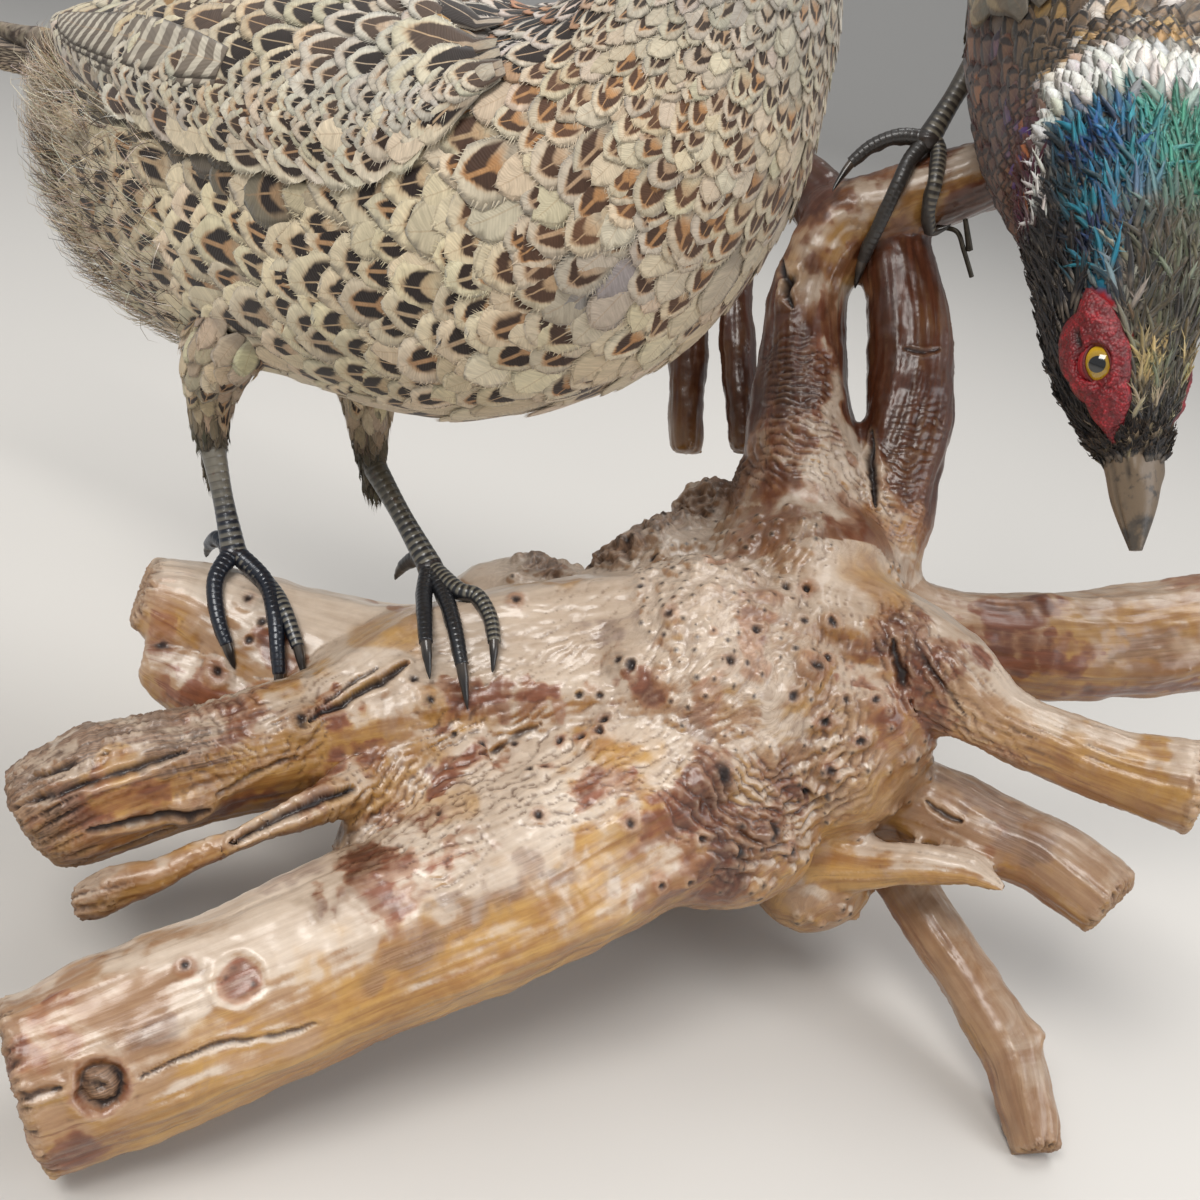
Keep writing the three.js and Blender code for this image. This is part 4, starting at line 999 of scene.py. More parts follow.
# tail: nine pairs, the middle pair longest
tail = Flat(hen_point([0, 0, 3]), [math.cos(HEN_TURN), math.sin(HEN_TURN), 0.03], [-math.sin(HEN_TURN), math.cos(HEN_TURN), 0], roof=0.006)
n = 18
pair = np.arange(n) // 2
sgn = np.where(np.arange(n) % 2, 1.0, -1.0)
order = np.argsort(-pair)
pair, sgn = pair[order], sgn[order]
made = vanes(tail, np.full(n, -138.0), sgn * (1.2 + 1.1 * pair), 250 - 21.0 * pair, 10.5, angle=sgn * (0.006 + 0.010 * pair), root=1.6 - 0.35 * pair, tip=2.2 - 0.4 * pair, tuck=0.5,
             ragged=0.003, shape=POINTED, cols=7, lift=1.0, fringe=90, wisp=0.9, start=0.2)
coat("hen_tail_feathers", made, look_of(n, (0.30, 0.225, 0.15), (0.055, 0.038, 0.027), 1.3, 1.4, 0, 0.05, bars=0.52, light=0.5), "hen_plumage", m_feather, tail_uv)


# ------------------------------------------------------------------ legs: thigh feathers, then shank and toes
HEN_LEGS = {
    "right": dict(hip=[-58, 462, 222], knee=[-70, 474, 198], shin=[-73, 481, 179], ankle=[-71, 480, 161.5], foot=[-57, 461, 127], toes=dict(
        inner=[[-61, 448, 120.5], [-57.8, 437.4, 111.5], [-52.6, 430.6, 103.4], [-48.6, 428, 95]],
        middle=[[-43.5, 451.6, 121.4], [-37, 436, 115.8], [-34, 427, 107.4], [-31.8, 421.4, 99.4], [-31, 417, 87.4]],
        outer=[[-41, 450, 119.6], [-33.5, 437.6, 117], [-26.5, 426.6, 109], [-21.8, 419.4, 97.8]],
        hind=[[-64, 468, 128], [-68, 474.5, 121.4], [-69.4, 477.6, 114]])),
    "left": dict(hip=[-16, 482, 226], knee=[-16.5, 487, 200], shin=[-14, 487.5, 180], ankle=[-10.5, 485, 163], foot=[17.6, 447.6, 139.6], toes=dict(
        inner=[[16.4, 434, 135.6], [17.2, 419, 134.4], [18.8, 405.6, 130.4], [22, 397.6, 120.6]],
        middle=[[23.8, 431.6, 136.8], [28.4, 414, 133.6], [32.4, 400.6, 126.4], [36.8, 393.4, 112.6]],
        outer=[[28.4, 432, 139.6], [35.6, 427.4, 140.4], [40.9, 418, 137.4], [43, 408, 133.4], [43.7, 400.6, 125]],
        hind=[[12.4, 455, 139.2], [7.6, 460.6, 131.6], [5.4, 463, 124]])),
}
COCK_LEGS = {
    "right": dict(hip=[214, 566, 388], knee=[212, 563, 372], shin=[209, 560, 360], ankle=[206, 557, 352], foot=[190, 541, 318], toes=dict(
        inner=[[179, 543, 317], [169.6, 545, 311], [163, 545, 303], [156.6, 538, 291.6]],
        middle=[[184, 536.6, 310], [180, 530, 301.6], [176.4, 528.8, 282], [175.6, 532.8, 268], [176.4, 534, 255.8]],
        outer=[[194.4, 538, 316], [193, 526, 304.8], [193.6, 525.4, 294], [198.4, 528.6, 285], [205, 526, 290]],
        hind=[[193, 549, 320], [195, 556, 316], [196, 560, 309]])),
    "left": dict(hip=[243, 566, 396], knee=[245, 563, 384], shin=[247, 559, 375], ankle=[249, 556, 368], foot=[254, 540, 348], toes=dict(
        inner=[[250, 530, 347], [247.6, 521, 340], [247, 518, 330], [248, 518, 321]],
        middle=[[256, 529, 349], [258, 519, 343], [260, 515.6, 331], [261, 516, 320]],
        outer=[[262, 531, 350], [268, 524, 347], [272, 520, 339], [274, 519, 331]],
        hind=[[252, 549, 348], [251, 555, 343], [251, 558, 336]])),
}


def swept(points, step=0.45, sides=14, up=None, shape=None, caps=True):
    """a tube through [x, y, z, r] points; shape(s, S, q) gives a factor on the radius at s mm of S and angle q (0 on the upper side)"""
    pts = np.array(points, float)
    n0 = 400
    tt = np.linspace(0, 1, n0)
    c = along(pts, tt)
    d = np.concatenate([[0], np.cumsum(np.linalg.norm(np.diff(c[:, :3], axis=0), axis=1))])
    S = d[-1]
    n = max(4, int(S / step))
    s = np.linspace(0, S, n + 1)
    c = np.stack([np.interp(s, d, c[:, k]) for k in range(4)], -1)
    T = unit(np.gradient(c[:, :3], axis=0))
    ref = np.array(up if up is not None else [0, 0, 1], float)
    Z = unit(ref - T * (T @ ref)[:, None])
    Y = np.cross(T, Z)
    q = np.arange(sides) / sides * TAU
    k = shape(s[:, None], S, q[None]) if shape else np.ones((n + 1, sides))
    R = c[:, 3:4] * k
    ring = c[:, None, :3] + R[..., None] * (np.cos(q)[None, :, None] * Z[:, None] + np.sin(q)[None, :, None] * Y[:, None])
    v = ring.reshape(-1, 3)
    i, j = np.meshgrid(np.arange(n), np.arange(sides), indexing="ij")
    a_, b_ = i * sides + j, i * sides + (j + 1) % sides
    f = np.stack([a_, b_, b_ + sides, a_ + sides], -1).reshape(-1, 4)
    # ends are closed by pulling a last ring to the middle
    v = np.concatenate([v, np.repeat(c[:1, :3], sides, 0) - T[0] * 0.3 * c[0, 3], np.repeat(c[-1:, :3], sides, 0) + T[-1] * 0.3 * c[-1, 3]])
    m0, m1 = (n + 1) * sides, (n + 2) * sides
    jj = np.arange(sides)
    f = np.concatenate([f, np.stack([m0 + jj, m0 + (jj + 1) % sides, (jj + 1) % sides, jj], -1), np.stack([n * sides + jj, n * sides + (jj + 1) % sides, m1 + (jj + 1) % sides, m1 + jj], -1)])
    sv = np.concatenate([np.repeat(s, sides), np.zeros(sides), np.full(sides, S)])
    qv = np.concatenate([np.tile(q, n + 1), q, q])
    return v, f, sv, qv, S


def joined(parts):
    out_v, out_f, out_a, k = [], [], [], 0
    for v, f, at in parts:
        out_v.append(v)
        out_f.append(np.asarray(f) + k)
        out_a.append(at)
        k += len(v)
    return np.concatenate(out_v), np.concatenate(out_f), np.concatenate(out_a)


def scutes(pitch, depth, pads=None):
    """overlapping plates across the upper side, small scales at the sides, and pads under the joints"""
    def f(s, S, q):
        up = 0.5 + 0.5 * np.cos(q)
        x = (s / pitch) % 1.0
        plate = (x ** 0.7) * depth * smooth(0.35, 0.7, up)
        fine = 0.25 * depth * np.sin(s / pitch * 2 * TAU + 3 * np.cos(5 * q)) * (1 - smooth(0.3, 0.6, up))
        pad = 0
        for c, w in pads or ():
            pad = pad + 0.22 * np.exp(-(((s - c * S) / (w * S)) ** 2)) * smooth(0.55, 1.0, 1 - up)
        return 1 + plate + fine + pad
    return f


def build_foot(name, leg, shank, toe, slot_leg, slot_claw, mat_leg, mat_claw, tint):
    an, ft = np.array(leg["ankle"], float), np.array(leg["foot"], float)
    mid = 0.5 * (an + ft)
    front = np.array([0.3, -0.9, 0.1])
    parts = []
    top = an + (an - ft) / np.linalg.norm(an - ft) * 4
    v, f, s, q, S = swept([[*top, shank * 1.1], [*an, shank * 1.14], [*mid, shank * 0.90], [*ft, shank * 1.12]], 0.35, 22, up=front, shape=scutes(3.1, 0.045))
    pale = np.stack([1 - s / S, 0.5 + 0.5 * np.cos(q), (s / 3.1) % 1.0, np.ones_like(s)], -1)
    parts.append((v, f, pale))
    for tn, run in leg["toes"].items():
        body = run[:-1]
        r = [toe * 1.12] + [toe * (1 - 0.28 * ((i + 1) / len(body)) ** 1.5) for i in range(len(body))]
        pts = [[*ft, r[0]]] + [[*p, x] for p, x in zip(body, r[1:])]
        joints = [(0.33, 0.07), (0.62, 0.07), (0.88, 0.07)] if tn != "hind" else [(0.7, 0.12)]
        v, f, s, q, S = swept(pts, 0.3, 18, up=[0.15, -0.35, 0.92], shape=scutes(2.4, 0.070, joints))
        at = np.stack([np.zeros_like(s), 0.5 + 0.5 * np.cos(q), (s / 2.4) % 1.0, np.ones_like(s) * (1.0 if tn == "outer" else 0.0)], -1)
        parts.append((v, f, at))
    # the pad under the joint
    v, f, s, q, S = swept([[*(ft + [0, 1, 3.4]), shank * 0.8], [*ft, shank * 1.25], [*(ft - [0, 1.5, 3.8]), shank * 0.85]], 0.4, 18)
    parts.append((v, f, np.stack([np.zeros_like(s), np.full_like(s, 0.2), np.zeros_like(s), np.zeros_like(s)], -1)))
    v, f, at = joined(parts)
    ob = mesh_object(name, M(v), f, mat_leg)
    colour_attribute(ob.data, "leg", at)
    done(ob, slot_leg)
    parts = []
    for tn, run in leg["toes"].items():
        e, before, tipp = (np.array(x, float) for x in (run[-2], run[-3] if len(run) > 2 else ft, run[-1]))
        T = unit(e - before)
        st = e - T * 0.6
        md = 0.5 * (st + tipp) + T * 1.1
        r = toe * 0.66
        v, f, s, q, S = swept([[*st, r * 1.02], [*(0.5 * (st + md) + T * 0.5), r * 0.9], [*md, r * 0.64], [*(0.45 * md + 0.55 * tipp + T * 0.35), r * 0.4], [*tipp, r * 0.1]], 0.3, 14, up=-np.array([0, 0, 1.0]) + T,
                              shape=lambda s, S, q: 1 - 0.16 * np.abs(np.sin(q)) ** 2)
        parts.append((v, f, np.stack([s / S, q / TAU, q * 0, q * 0], -1)))
    v, f, at = joined(parts)
    cl = mesh_object(name.replace("foot", "claws"), M(v), f, mat_claw)
    colour_attribute(cl.data, "claw", at)
    done(cl, slot_claw)
    return ob, cl


def leg_material(name, pale, dark, gloss, blue):
    m = Mat(name)
    at = m.attr("leg")
    up_s, sc, _ = m.splitc(at.outputs["Color"])[0], m.splitc(at.outputs["Color"])[1], 0
    plate = m.splitc(at.outputs["Color"])[2]
    pos = m.coords("Object")
    n1 = m.noise(pos, 240.0, 3.0).outputs["Fac"]
    n2 = m.noise(pos, 900.0, 2.0).outputs["Fac"]
    k = m.math("MULTIPLY", m.step(0.22, 0.75, up_s), m.math("ADD", 0.65, m.math("MULTIPLY", n1, 0.7)), clamp=True)
    col = m.mixc(k, dark, pale)
    col = m.mixc(m.math("MULTIPLY", m.step(0.60, 0.75, n1), m.math("MULTIPLY", k, 0.5)), col, (0.16, 0.05, 0.03))
    edge = m.math("SUBTRACT", 1.0, m.step(0.02, 0.22, plate))
    col = m.mixc(m.math("MULTIPLY", edge, m.math("ADD", 0.15, m.math("MULTIPLY", n1, 0.5))), col, (0.035, 0.018, 0.012))
    scl = m.math("MULTIPLY", m.math("MULTIPLY", m.math("MULTIPLY", at.outputs["Alpha"], m.step(0.55, 0.8, sc)), m.math("SUBTRACT", 1.0, up_s)), 0.45)
    col = m.mixc(m.math("MULTIPLY", scl, m.step(0.35, 0.7, plate)), col, (0.36, 0.31, 0.22))
    m.link(col, "Base Color")
    m.link(m.bump(m.math("ADD", n2, m.math("MULTIPLY", n1, 0.5)), 0.35, 0.0003), "Normal")
    m.set(Roughness=gloss)
    m.b.inputs["Coat Weight"].default_value = 0.35
    m.b.inputs["Coat Roughness"].default_value = 0.22
    m.b.inputs["Coat Tint"].default_value = blue
    return m.m


def claw_material(name, base, tipc):
    m = Mat(name)
    s = m.splitc(m.attr("claw").outputs["Color"])[0]
    n = m.noise(m.coords("Object"), 500.0, 2.0).outputs["Fac"]
    m.link(m.mixc(m.step(0.05, 0.55, m.math("ADD", s, m.math("MULTIPLY", m.math("SUBTRACT", n, 0.5), 0.3))), base, tipc), "Base Color")
    m.set(Roughness=0.3)
    m.b.inputs["Coat Weight"].default_value = 0.3
    return m.m


m_leg = leg_material("hen_leg", (0.17, 0.145, 0.105), (0.011, 0.013, 0.019), 0.28, (0.70, 0.82, 1.0, 1))
m_cock_leg = leg_material("cock_leg", (0.085, 0.072, 0.055), (0.035, 0.030, 0.026), 0.42, (0.9, 0.95, 1.0, 1))
# the far left leg gets darker copies of the leg colours: painted shade, where the body shades it
m_leg_shaded = leg_material("hen_leg_shaded", (0.055, 0.045, 0.030), (0.014, 0.014, 0.016), 0.32, (0.8, 0.9, 1.0, 1))
m_claw = claw_material("hen_claw", (0.050, 0.040, 0.032), (0.016, 0.014, 0.013))
m_cock_claw = claw_material("cock_claw", (0.08, 0.06, 0.045), (0.018, 0.015, 0.013))

for k, (side, leg) in enumerate(HEN_LEGS.items()):
    ob, cl = build_foot(f"hen_foot_{side}_skin", leg, 4.3, 3.35, "hen_legs", "hen_claws", m_leg if side == "right" else m_leg_shaded, m_claw, None)
    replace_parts(ob, f"hen_foot_{side}")
    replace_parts(cl, *[f"hen_claw_{side}_{tn}" for tn in leg["toes"]])
    thigh = tube_body([[*leg["ankle"], 6.0], [*leg["shin"], 9.2], [*leg["knee"], 14.0], [*leg["hip"], 16]], side=(0.2, -0.97, 0), nt=120, na=96)
    sp_t = lambda t, a: 3.9 + 3.4 * smooth(0.2, 0.8, t)
    t, a = rows(thigh, -0.10, 1.02, sp_t, lambda t, a: sp_t(t, a) * 0.85)
    sp = sp_t(t, a)
    low = 1 - smooth(0.36, 0.56, t)
    n = len(t)
    made = vanes(thigh, t, a, sp * (3.0 + 0.9 * low), sp * (0.62 - 0.2 * low), angle=rng.normal(0, 0.12, n), root=0.3, tip=2.2 * (1 + rng.normal(0, 0.2, n)), tuck=0.4, bend=rng.normal(0, 0.06, n),
                 roll=rng.normal(0, 0.2, n), ragged=0.05, depth=2.2, fringe=16, wisp=3.0 + 0.8 * low, hair=0.30)
    ch = rng.random(n)
    base = mix(mix((0.34, 0.25, 0.16), (0.60, 0.50, 0.35), ch * smooth(0.4, 0.8, t)), mix((0.040, 0.034, 0.020), (0.11, 0.088, 0.055), ch), low)
    q0 = np.where((t > 0.55) & (ch < 0.25), 0.70, 1.3)
    coat(f"hen_thigh_{side}_feathers", made, look_of(n, base, mix(DARK, UMBER, ch), q0, 0.885, 0.5 * (q0 < 1), 0.06, vary=0.12), "hen_plumage", m_feather, leg_uv(k))


# ------------------------------------------------------------------ skins, which lie inside the coats
def grid_mesh(body, nt, na, t0=0.0, t1=1.0, depth=lambda t, a: 0 * t):
    t = np.linspace(t0, t1, nt + 1)
    a = np.arange(na) / na * TAU - math.pi
    tt, aa = (x.ravel() for x in np.meshgrid(t, a, indexing="ij"))
    v = body.point(tt, aa, -depth(tt, aa))
    i, j = (x.ravel() for x in np.meshgrid(np.arange(nt), np.arange(na), indexing="ij"))
    f = np.stack([i * na + j, i * na + (j + 1) % na, (i + 1) * na + (j + 1) % na, (i + 1) * na + j], -1)
    ends = [body.point(np.full(na, tx), a, 0).mean(0) for tx in (t0, t1)]
    n0 = len(v)
    v = np.concatenate([v, np.repeat([ends[0]], na, 0), np.repeat([ends[1]], na, 0)])
    jj = np.arange(na)
    k = nt * na
    f = np.concatenate([f, np.stack([n0 + jj, n0 + (jj + 1) % na, (jj + 1) % na, jj], -1), np.stack([k + jj, k + (jj + 1) % na, n0 + na + (jj + 1) % na, n0 + na + jj], -1)])
    return v, f, np.concatenate([tt, np.full(na, t0), np.full(na, t1)]), np.concatenate([aa, a, a])


def wing_slab(wing, n=40, m=20):
    f, g = (x.ravel() for x in np.meshgrid(np.linspace(0.0, 1, n + 1), np.linspace(0, 1, m + 1), indexing="ij"))
    outer = wing.point(f, g, -0.3)
    t, a = wing.ta(f, g)
    inner = wing.body.point(t, a, -7.0)
    i, j = (x.ravel() for x in np.meshgrid(np.arange(n), np.arange(m), indexing="ij"))
    I = lambda i, j: i * (m + 1) + j
    q = np.stack([I(i, j), I(i + 1, j), I(i + 1, j + 1), I(i, j + 1)], -1)
    N = (n + 1) * (m + 1)
    rim = [I(i, 0) for i in range(n)] + [I(n, j) for j in range(m)] + [I(i, m) for i in range(n, 0, -1)] + [I(0, j) for j in range(m, 0, -1)]
    r = np.array(rim)
    s = np.roll(r, -1)
    return np.concatenate([outer, inner]), np.concatenate([q, (q + N)[:, ::-1], np.stack([r, r + N, s + N, s], -1)])


def skin_piece(name, parts, voxel, colour, slot, material, bump=None, steps=6):
    obs = [mesh_object("src", M(v), f) for v, f in parts]
    for o in obs:
        # outward faces for the voxel grid
        import bmesh
        bm = bmesh.new()
        bm.from_mesh(o.data)
        bmesh.ops.recalc_face_normals(bm, faces=bm.faces)
        bm.to_mesh(o.data)
        bm.free()
    ob = remeshed(name, obs, voxel, steps)
    co = coords(ob.data)
    colour_attribute(ob.data, "skin", colour(co * 1000 - SHIFT))
    ob.data.materials.append(material)
    return ob


def nearest_ta(body, p):
    from mathutils.kdtree import KDTree
    si, sj = 5, 6
    tab = body.p[::si, :-1:sj].reshape(-1, 3)
    nj = body.p[::si, :-1:sj].shape[1]
    kd = KDTree(len(tab))
    for i, q in enumerate(tab):
        kd.insert(q, i)
    kd.balance()
    idx = np.array([kd.find(q)[1] for q in p])
    return (idx // nj) * si / body.nt, ((idx % nj) * sj) / body.na * TAU - math.pi


def skin_material(name):
    m = Mat(name)
    c = m.attr("skin").outputs["Color"]
    pos = m.coords("Object")
    n1 = m.noise(pos, 900.0, 3.0).outputs["Fac"]
    n2 = m.noise(pos, 160.0, 2.0).outputs["Fac"]
    k = m.math("ADD", 0.62, m.math("ADD", m.math("MULTIPLY", n1, 0.45), m.math("MULTIPLY", n2, 0.3)))
    m.link(m.mixc(1.0, c, m.combine(k, k, k), "MULTIPLY"), "Base Color")
    m.link(m.bump(n1, 0.5, 0.0006), "Normal")
    m.set(Roughness=0.8)
    m.b.inputs["Sheen Weight"].default_value = 0.15
    m.b.inputs["Specular IOR Level"].default_value = 0.2
    return m.m


def hen_skin_colour(p):
    t, a = nearest_ta(hen, p)
    lk = hen_look(t, a)
    return np.clip(mix(lk["ca"], lk["cb"], 0.25) * 0.75, 0, 1)


m_skin = skin_material("under_feathers")
v, f, _, _ = grid_mesh(hen, 170, 120, depth=lambda t, a: hen_depth(t))
parts = [(v, f)]
for wing in hen_wings:
    parts.append(wing_slab(wing))
for leg in HEN_LEGS.values():
    v, f, *_ = swept([[*leg["ankle"], 4.2], [*leg["shin"], 6.6], [*leg["knee"], 10.6], [*leg["hip"], 11]], 2.0, 24)
    parts.append((v, f))
v, f, *_ = swept([[*hen_point([-130, 0, 2]), 12], [*hen_point([-165, 0, 3]), 8], [*hen_point([-215, 0, 2]), 3.2]], 2.0, 24)
parts.append((v, f))
hen_skin = skin_piece("hen_skin", parts, 0.0025, hen_skin_colour, "hen_plumage", m_skin)
done(hen_skin, "hen_plumage", "hen_trunk", "hen_neck", "hen_head", "hen_wing_left", "hen_wing_right", "hen_tail", "hen_thigh_left", "hen_thigh_right")


# ------------------------------------------------------------------ eyes, lids and bills
def eye_pair(prefix, centre, axis, up, r, open_h, open_v, mat_eye, mat_lid, slot_eye, slot_lid, fold=0.55):
    """an eyeball looking along axis, with an upper and a lower lid that follow it"""
    axis, up = unit(np.array(axis, float)), np.array(up, float)
    Y = unit(up - axis * (up @ axis))
    X = np.cross(Y, axis)
    c = np.array(centre, float)
    n, m = 40, 48
    th = np.linspace(0.0, math.pi, n + 1)
    ph = np.arange(m) / m * TAU
    tt, pp = (x.ravel() for x in np.meshgrid(th, ph, indexing="ij"))
    bulge = 1 + 0.05 * np.exp(-((tt / 0.5) ** 2))
    d = np.cos(tt)[:, None] * axis + np.sin(tt)[:, None] * (np.cos(pp)[:, None] * X + np.sin(pp)[:, None] * Y)
    v = c + d * (r * bulge)[:, None]
    i, j = (x.ravel() for x in np.meshgrid(np.arange(n), np.arange(m), indexing="ij"))
    f = np.stack([i * m + j, (i + 1) * m + j, (i + 1) * m + (j + 1) % m, i * m + (j + 1) % m], -1)
    ball = mesh_object(prefix, M(v), f, mat_eye)
    colour_attribute(ball.data, "ang", np.stack([tt / math.pi, pp / TAU, tt * 0], -1))
    done(ball, slot_eye)
    # lids: a ring of skin from the opening back over the ball
    K, mm = 26, 84
    s = np.linspace(0, 1, K + 1)
    ph = np.arange(mm) / mm * TAU
    ss, pp = (x.ravel() for x in np.meshgrid(s, ph, indexing="ij"))
    oh, ov = open_h, open_v
    edge = 1 / np.sqrt((np.cos(pp) / oh) ** 2 + (np.sin(pp) / np.where(np.sin(pp) > 0, ov, ov * 0.95)) ** 2)
    ang = edge + ss * (1.52 - edge)
    roll = 0.42 * np.exp(-((ss / 0.10) ** 2)) + 0.22 * np.sin(ss * 26 + 0.6 * np.sin(pp * 2)) * np.exp(-((ss / 0.5) ** 2)) * fold
    rr = r + 0.28 + roll + 0.25 * ss
    d = np.cos(ang)[:, None] * axis + np.sin(ang)[:, None] * (np.cos(pp)[:, None] * X + np.sin(pp)[:, None] * Y)
    v = c + d * rr[:, None]
    v2 = c + d * (r + 0.02)
    i, j = (x.ravel() for x in np.meshgrid(np.arange(K), np.arange(mm), indexing="ij"))
    q = np.stack([i * mm + j, (i + 1) * mm + j, (i + 1) * mm + (j + 1) % mm, i * mm + (j + 1) % mm], -1)
    N = len(v)
    jj = np.arange(mm)
    k = K * mm
    q = np.concatenate([q, (q + N)[:, ::-1], np.stack([jj, (jj + 1) % mm, N + (jj + 1) % mm, N + jj], -1), np.stack([k + jj, N + k + jj, N + k + (jj + 1) % mm, k + (jj + 1) % mm], -1)])
    lid = mesh_object(prefix + "_lids", M(np.concatenate([v, v2])), q, mat_lid)
    colour_attribute(lid.data, "lid", np.stack([np.concatenate([ss, ss]), np.concatenate([pp, pp]) / TAU, np.zeros(2 * N)], -1))
    done(lid, slot_lid)
    return ball, lid


def eye_material(name, iris, rim, pupil=0.115, edge=0.29):
    m = Mat(name)
    at = m.splitc(m.attr("ang").outputs["Color"])
    ang, ph = at[0], at[1]
    fib = m.noise(m.combine(m.math("MULTIPLY", m.math("SINE", m.math("MULTIPLY", ph, TAU)), 9.0), m.math("MULTIPLY", m.math("COSINE", m.math("MULTIPLY", ph, TAU)), 9.0), m.math("MULTIPLY", ang, 6.0)), 2.0, 2.0).outputs["Fac"]
    k = m.step(pupil, pupil + 0.15, m.math("ADD", ang, m.math("MULTIPLY", m.math("SUBTRACT", fib, 0.5), 0.06)))
    col = m.mixc(k, tuple(0.55 * x for x in iris), iris)
    col = m.mixc(m.step(edge - 0.04, edge, ang), col, rim)
    col = m.mixc(m.step(pupil - 0.006, pupil + 0.006, ang), (0.004, 0.004, 0.005), col)
    m.link(col, "Base Color")
    m.set(Roughness=0.12)
    m.b.inputs["Coat Weight"].default_value = 1.0
    m.b.inputs["Coat Roughness"].default_value = 0.03
    m.b.inputs["Coat IOR"].default_value = 1.5
    return m.m


def lid_material(name, inner, outer):
    m = Mat(name)
    s = m.splitc(m.attr("lid").outputs["Color"])[0]
    n = m.noise(m.coords("Object"), 1500.0, 3.0).outputs["Fac"]
    m.link(m.mixc(m.step(0.02, 0.35, m.math("ADD", s, m.math("MULTIPLY", m.math("SUBTRACT", n, 0.5), 0.25))), inner, outer), "Base Color")
    m.link(m.bump(n, 0.5, 0.0003), "Normal")
    m.set(Roughness=0.55)
    return m.m


m_eye = eye_material("hen_eye", (0.20, 0.075, 0.018), (0.015, 0.01, 0.008))
m_lid = lid_material("hen_lid", (0.055, 0.045, 0.04), (0.22, 0.17, 0.13))
hx, hy = hen.R @ np.array([1, 0, 0]), hen.R @ np.array([0, 1, 0])
for k, side in enumerate(("left", "right")):
    sg = 1 - 2 * k
    c = hen_point([132.5, sg * 10.3, 188.6])
    ball, lid = eye_pair(f"hen_eyeball_{side}", c, sg * hy * 0.97 + hx * 0.22 + np.array([0, 0, 0.10]), [0, 0, 1], 5.1, 0.86, 0.74, m_eye, m_lid, "hen_eye", "hen_plumage")
    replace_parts(ball, f"hen_eye_{side}")


def bill_material(name, top, low, spot, scale=1.0):
    m = Mat(name)
    at = m.splitc(m.attr("bill").outputs["Color"])
    t, u, hole = at[0], at[1], at[2]
    n1 = m.noise(m.coords("Object"), 170.0 * scale, 3.0, 0.6).outputs["Fac"]
    n2 = m.noise(m.coords("Object"), 700.0 * scale, 2.0).outputs["Fac"]
    col = m.mixc(m.step(0.35, 0.65, m.math("ADD", m.math("MULTIPLY", t, 0.75), m.math("MULTIPLY", m.math("SUBTRACT", n1, 0.5), 1.3))), top, low)
    col = m.mixc(m.math("MULTIPLY", m.step(0.56, 0.66, n1), 0.6), col, spot)
    col = m.mixc(m.math("MULTIPLY", u, 0.5), col, low)
    # near-black where the bill dips into the nostril slit and the groove: painted shade in these hollows
    col = m.mixc(hole, col, (0.006, 0.005, 0.004))
    m.link(col, "Base Color")
    m.link(m.bump(m.math("ADD", n2, n1), 0.25, 0.0004), "Normal")
    m.set(Roughness=0.44)
    m.b.inputs["Coat Weight"].default_value = 0.12
    m.b.inputs["Coat Roughness"].default_value = 0.2
    m.b.inputs["Subsurface Weight"].default_value = 0.0
    return m.m


def bill_piece(name, body, t0, t1, slot, material, lower=False, nostril=None, groove=None):
    nt, na = 90, 64
    v, f, tt, aa = grid_mesh(body, nt, na, t0, t1)
    x = (tt - t0) / (t1 - t0)
    al = np.where(np.abs(aa) > math.pi / 2, math.pi - np.abs(aa), np.abs(aa)) * np.sign(aa)
    h, hole = np.zeros(len(tt)), np.zeros(len(tt))
    # hole marks where the material paints the bill near-black, as shade in the groove and the nostril slit
    if groove is not None:
        h -= 0.55 * np.exp(-(((al - groove) / 0.07) ** 2)) * smooth(0, 0.1, x) * (1 - smooth(0.75, 0.95, x))
        hole = np.maximum(hole, 0.75 * np.exp(-(((al - groove) / 0.05) ** 2)) * (1 - smooth(0.75, 0.95, x)))
    if nostril is not None:
        nx, na_, wx, wa = nostril
        d2 = ((x - nx) / wx) ** 2 + ((al - na_) / wa) ** 2
        h += 0.9 * np.exp(-d2) - 0.9 * np.exp(-(((x - nx - 0.01) / (wx * 0.8)) ** 2 + ((al - na_ + wa * 0.9) / (wa * 0.28)) ** 2))
        hole = np.maximum(hole, np.exp(-(((x - nx - 0.01) / (wx * 0.75)) ** 2 + ((al - na_ + wa * 0.9) / (wa * 0.24)) ** 2)))
    n = len(tt) - 2 * na
    v[:n] = body.point(tt[:n], aa[:n], h[:n])
    ob = mesh_object(name, M(v), f, material)
    colour_attribute(ob.data, "bill", np.stack([x, np.full(len(x), 1.0 if lower else 0.0), np.clip(hole, 0, 1)], -1))
    done(ob, slot)
    return ob


UP = [[153.6, 0, 186.2, 5.6, 5.8, 2.2], [163, 0, 184, 4.6, 5.4, 2.2], [173, 0, 180, 3, 4, 2], [180, 0, 174, 1, 1.4, 1.4]]
LOW = [[153.6, 0, 180.3, 4.6, 3.1, 3.0], [163, 0, 179.1, 3.8, 2.5, 2.4], [171, 0, 176.1, 2.5, 1.8, 1.5], [176, 0, 173.6, 1.0, 1.0, 0.7]]
up_body = Body([[149.5, 0, 186.6, 6.2, 6.2, 2.4]] + UP, LEFT_Y, HEN_TURN, HEN_AT, nt=160, na=96)
low_body = Body([[149.5, 0, 180.6, 5.2, 3, 3.6]] + LOW, LEFT_Y, HEN_TURN, HEN_AT, nt=160, na=96)
m_bill = bill_material("hen_bill", (0.25, 0.185, 0.115), (0.15, 0.105, 0.068), (0.065, 0.045, 0.032))
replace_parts(bill_piece("hen_bill_top", up_body, 0, 1, "hen_bill", m_bill, nostril=(0.34, 0.42, 0.11, 0.42)), "hen_bill_upper")
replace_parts(bill_piece("hen_bill_under", low_body, 0, 1, "hen_bill", m_bill, lower=True), "hen_bill_lower")
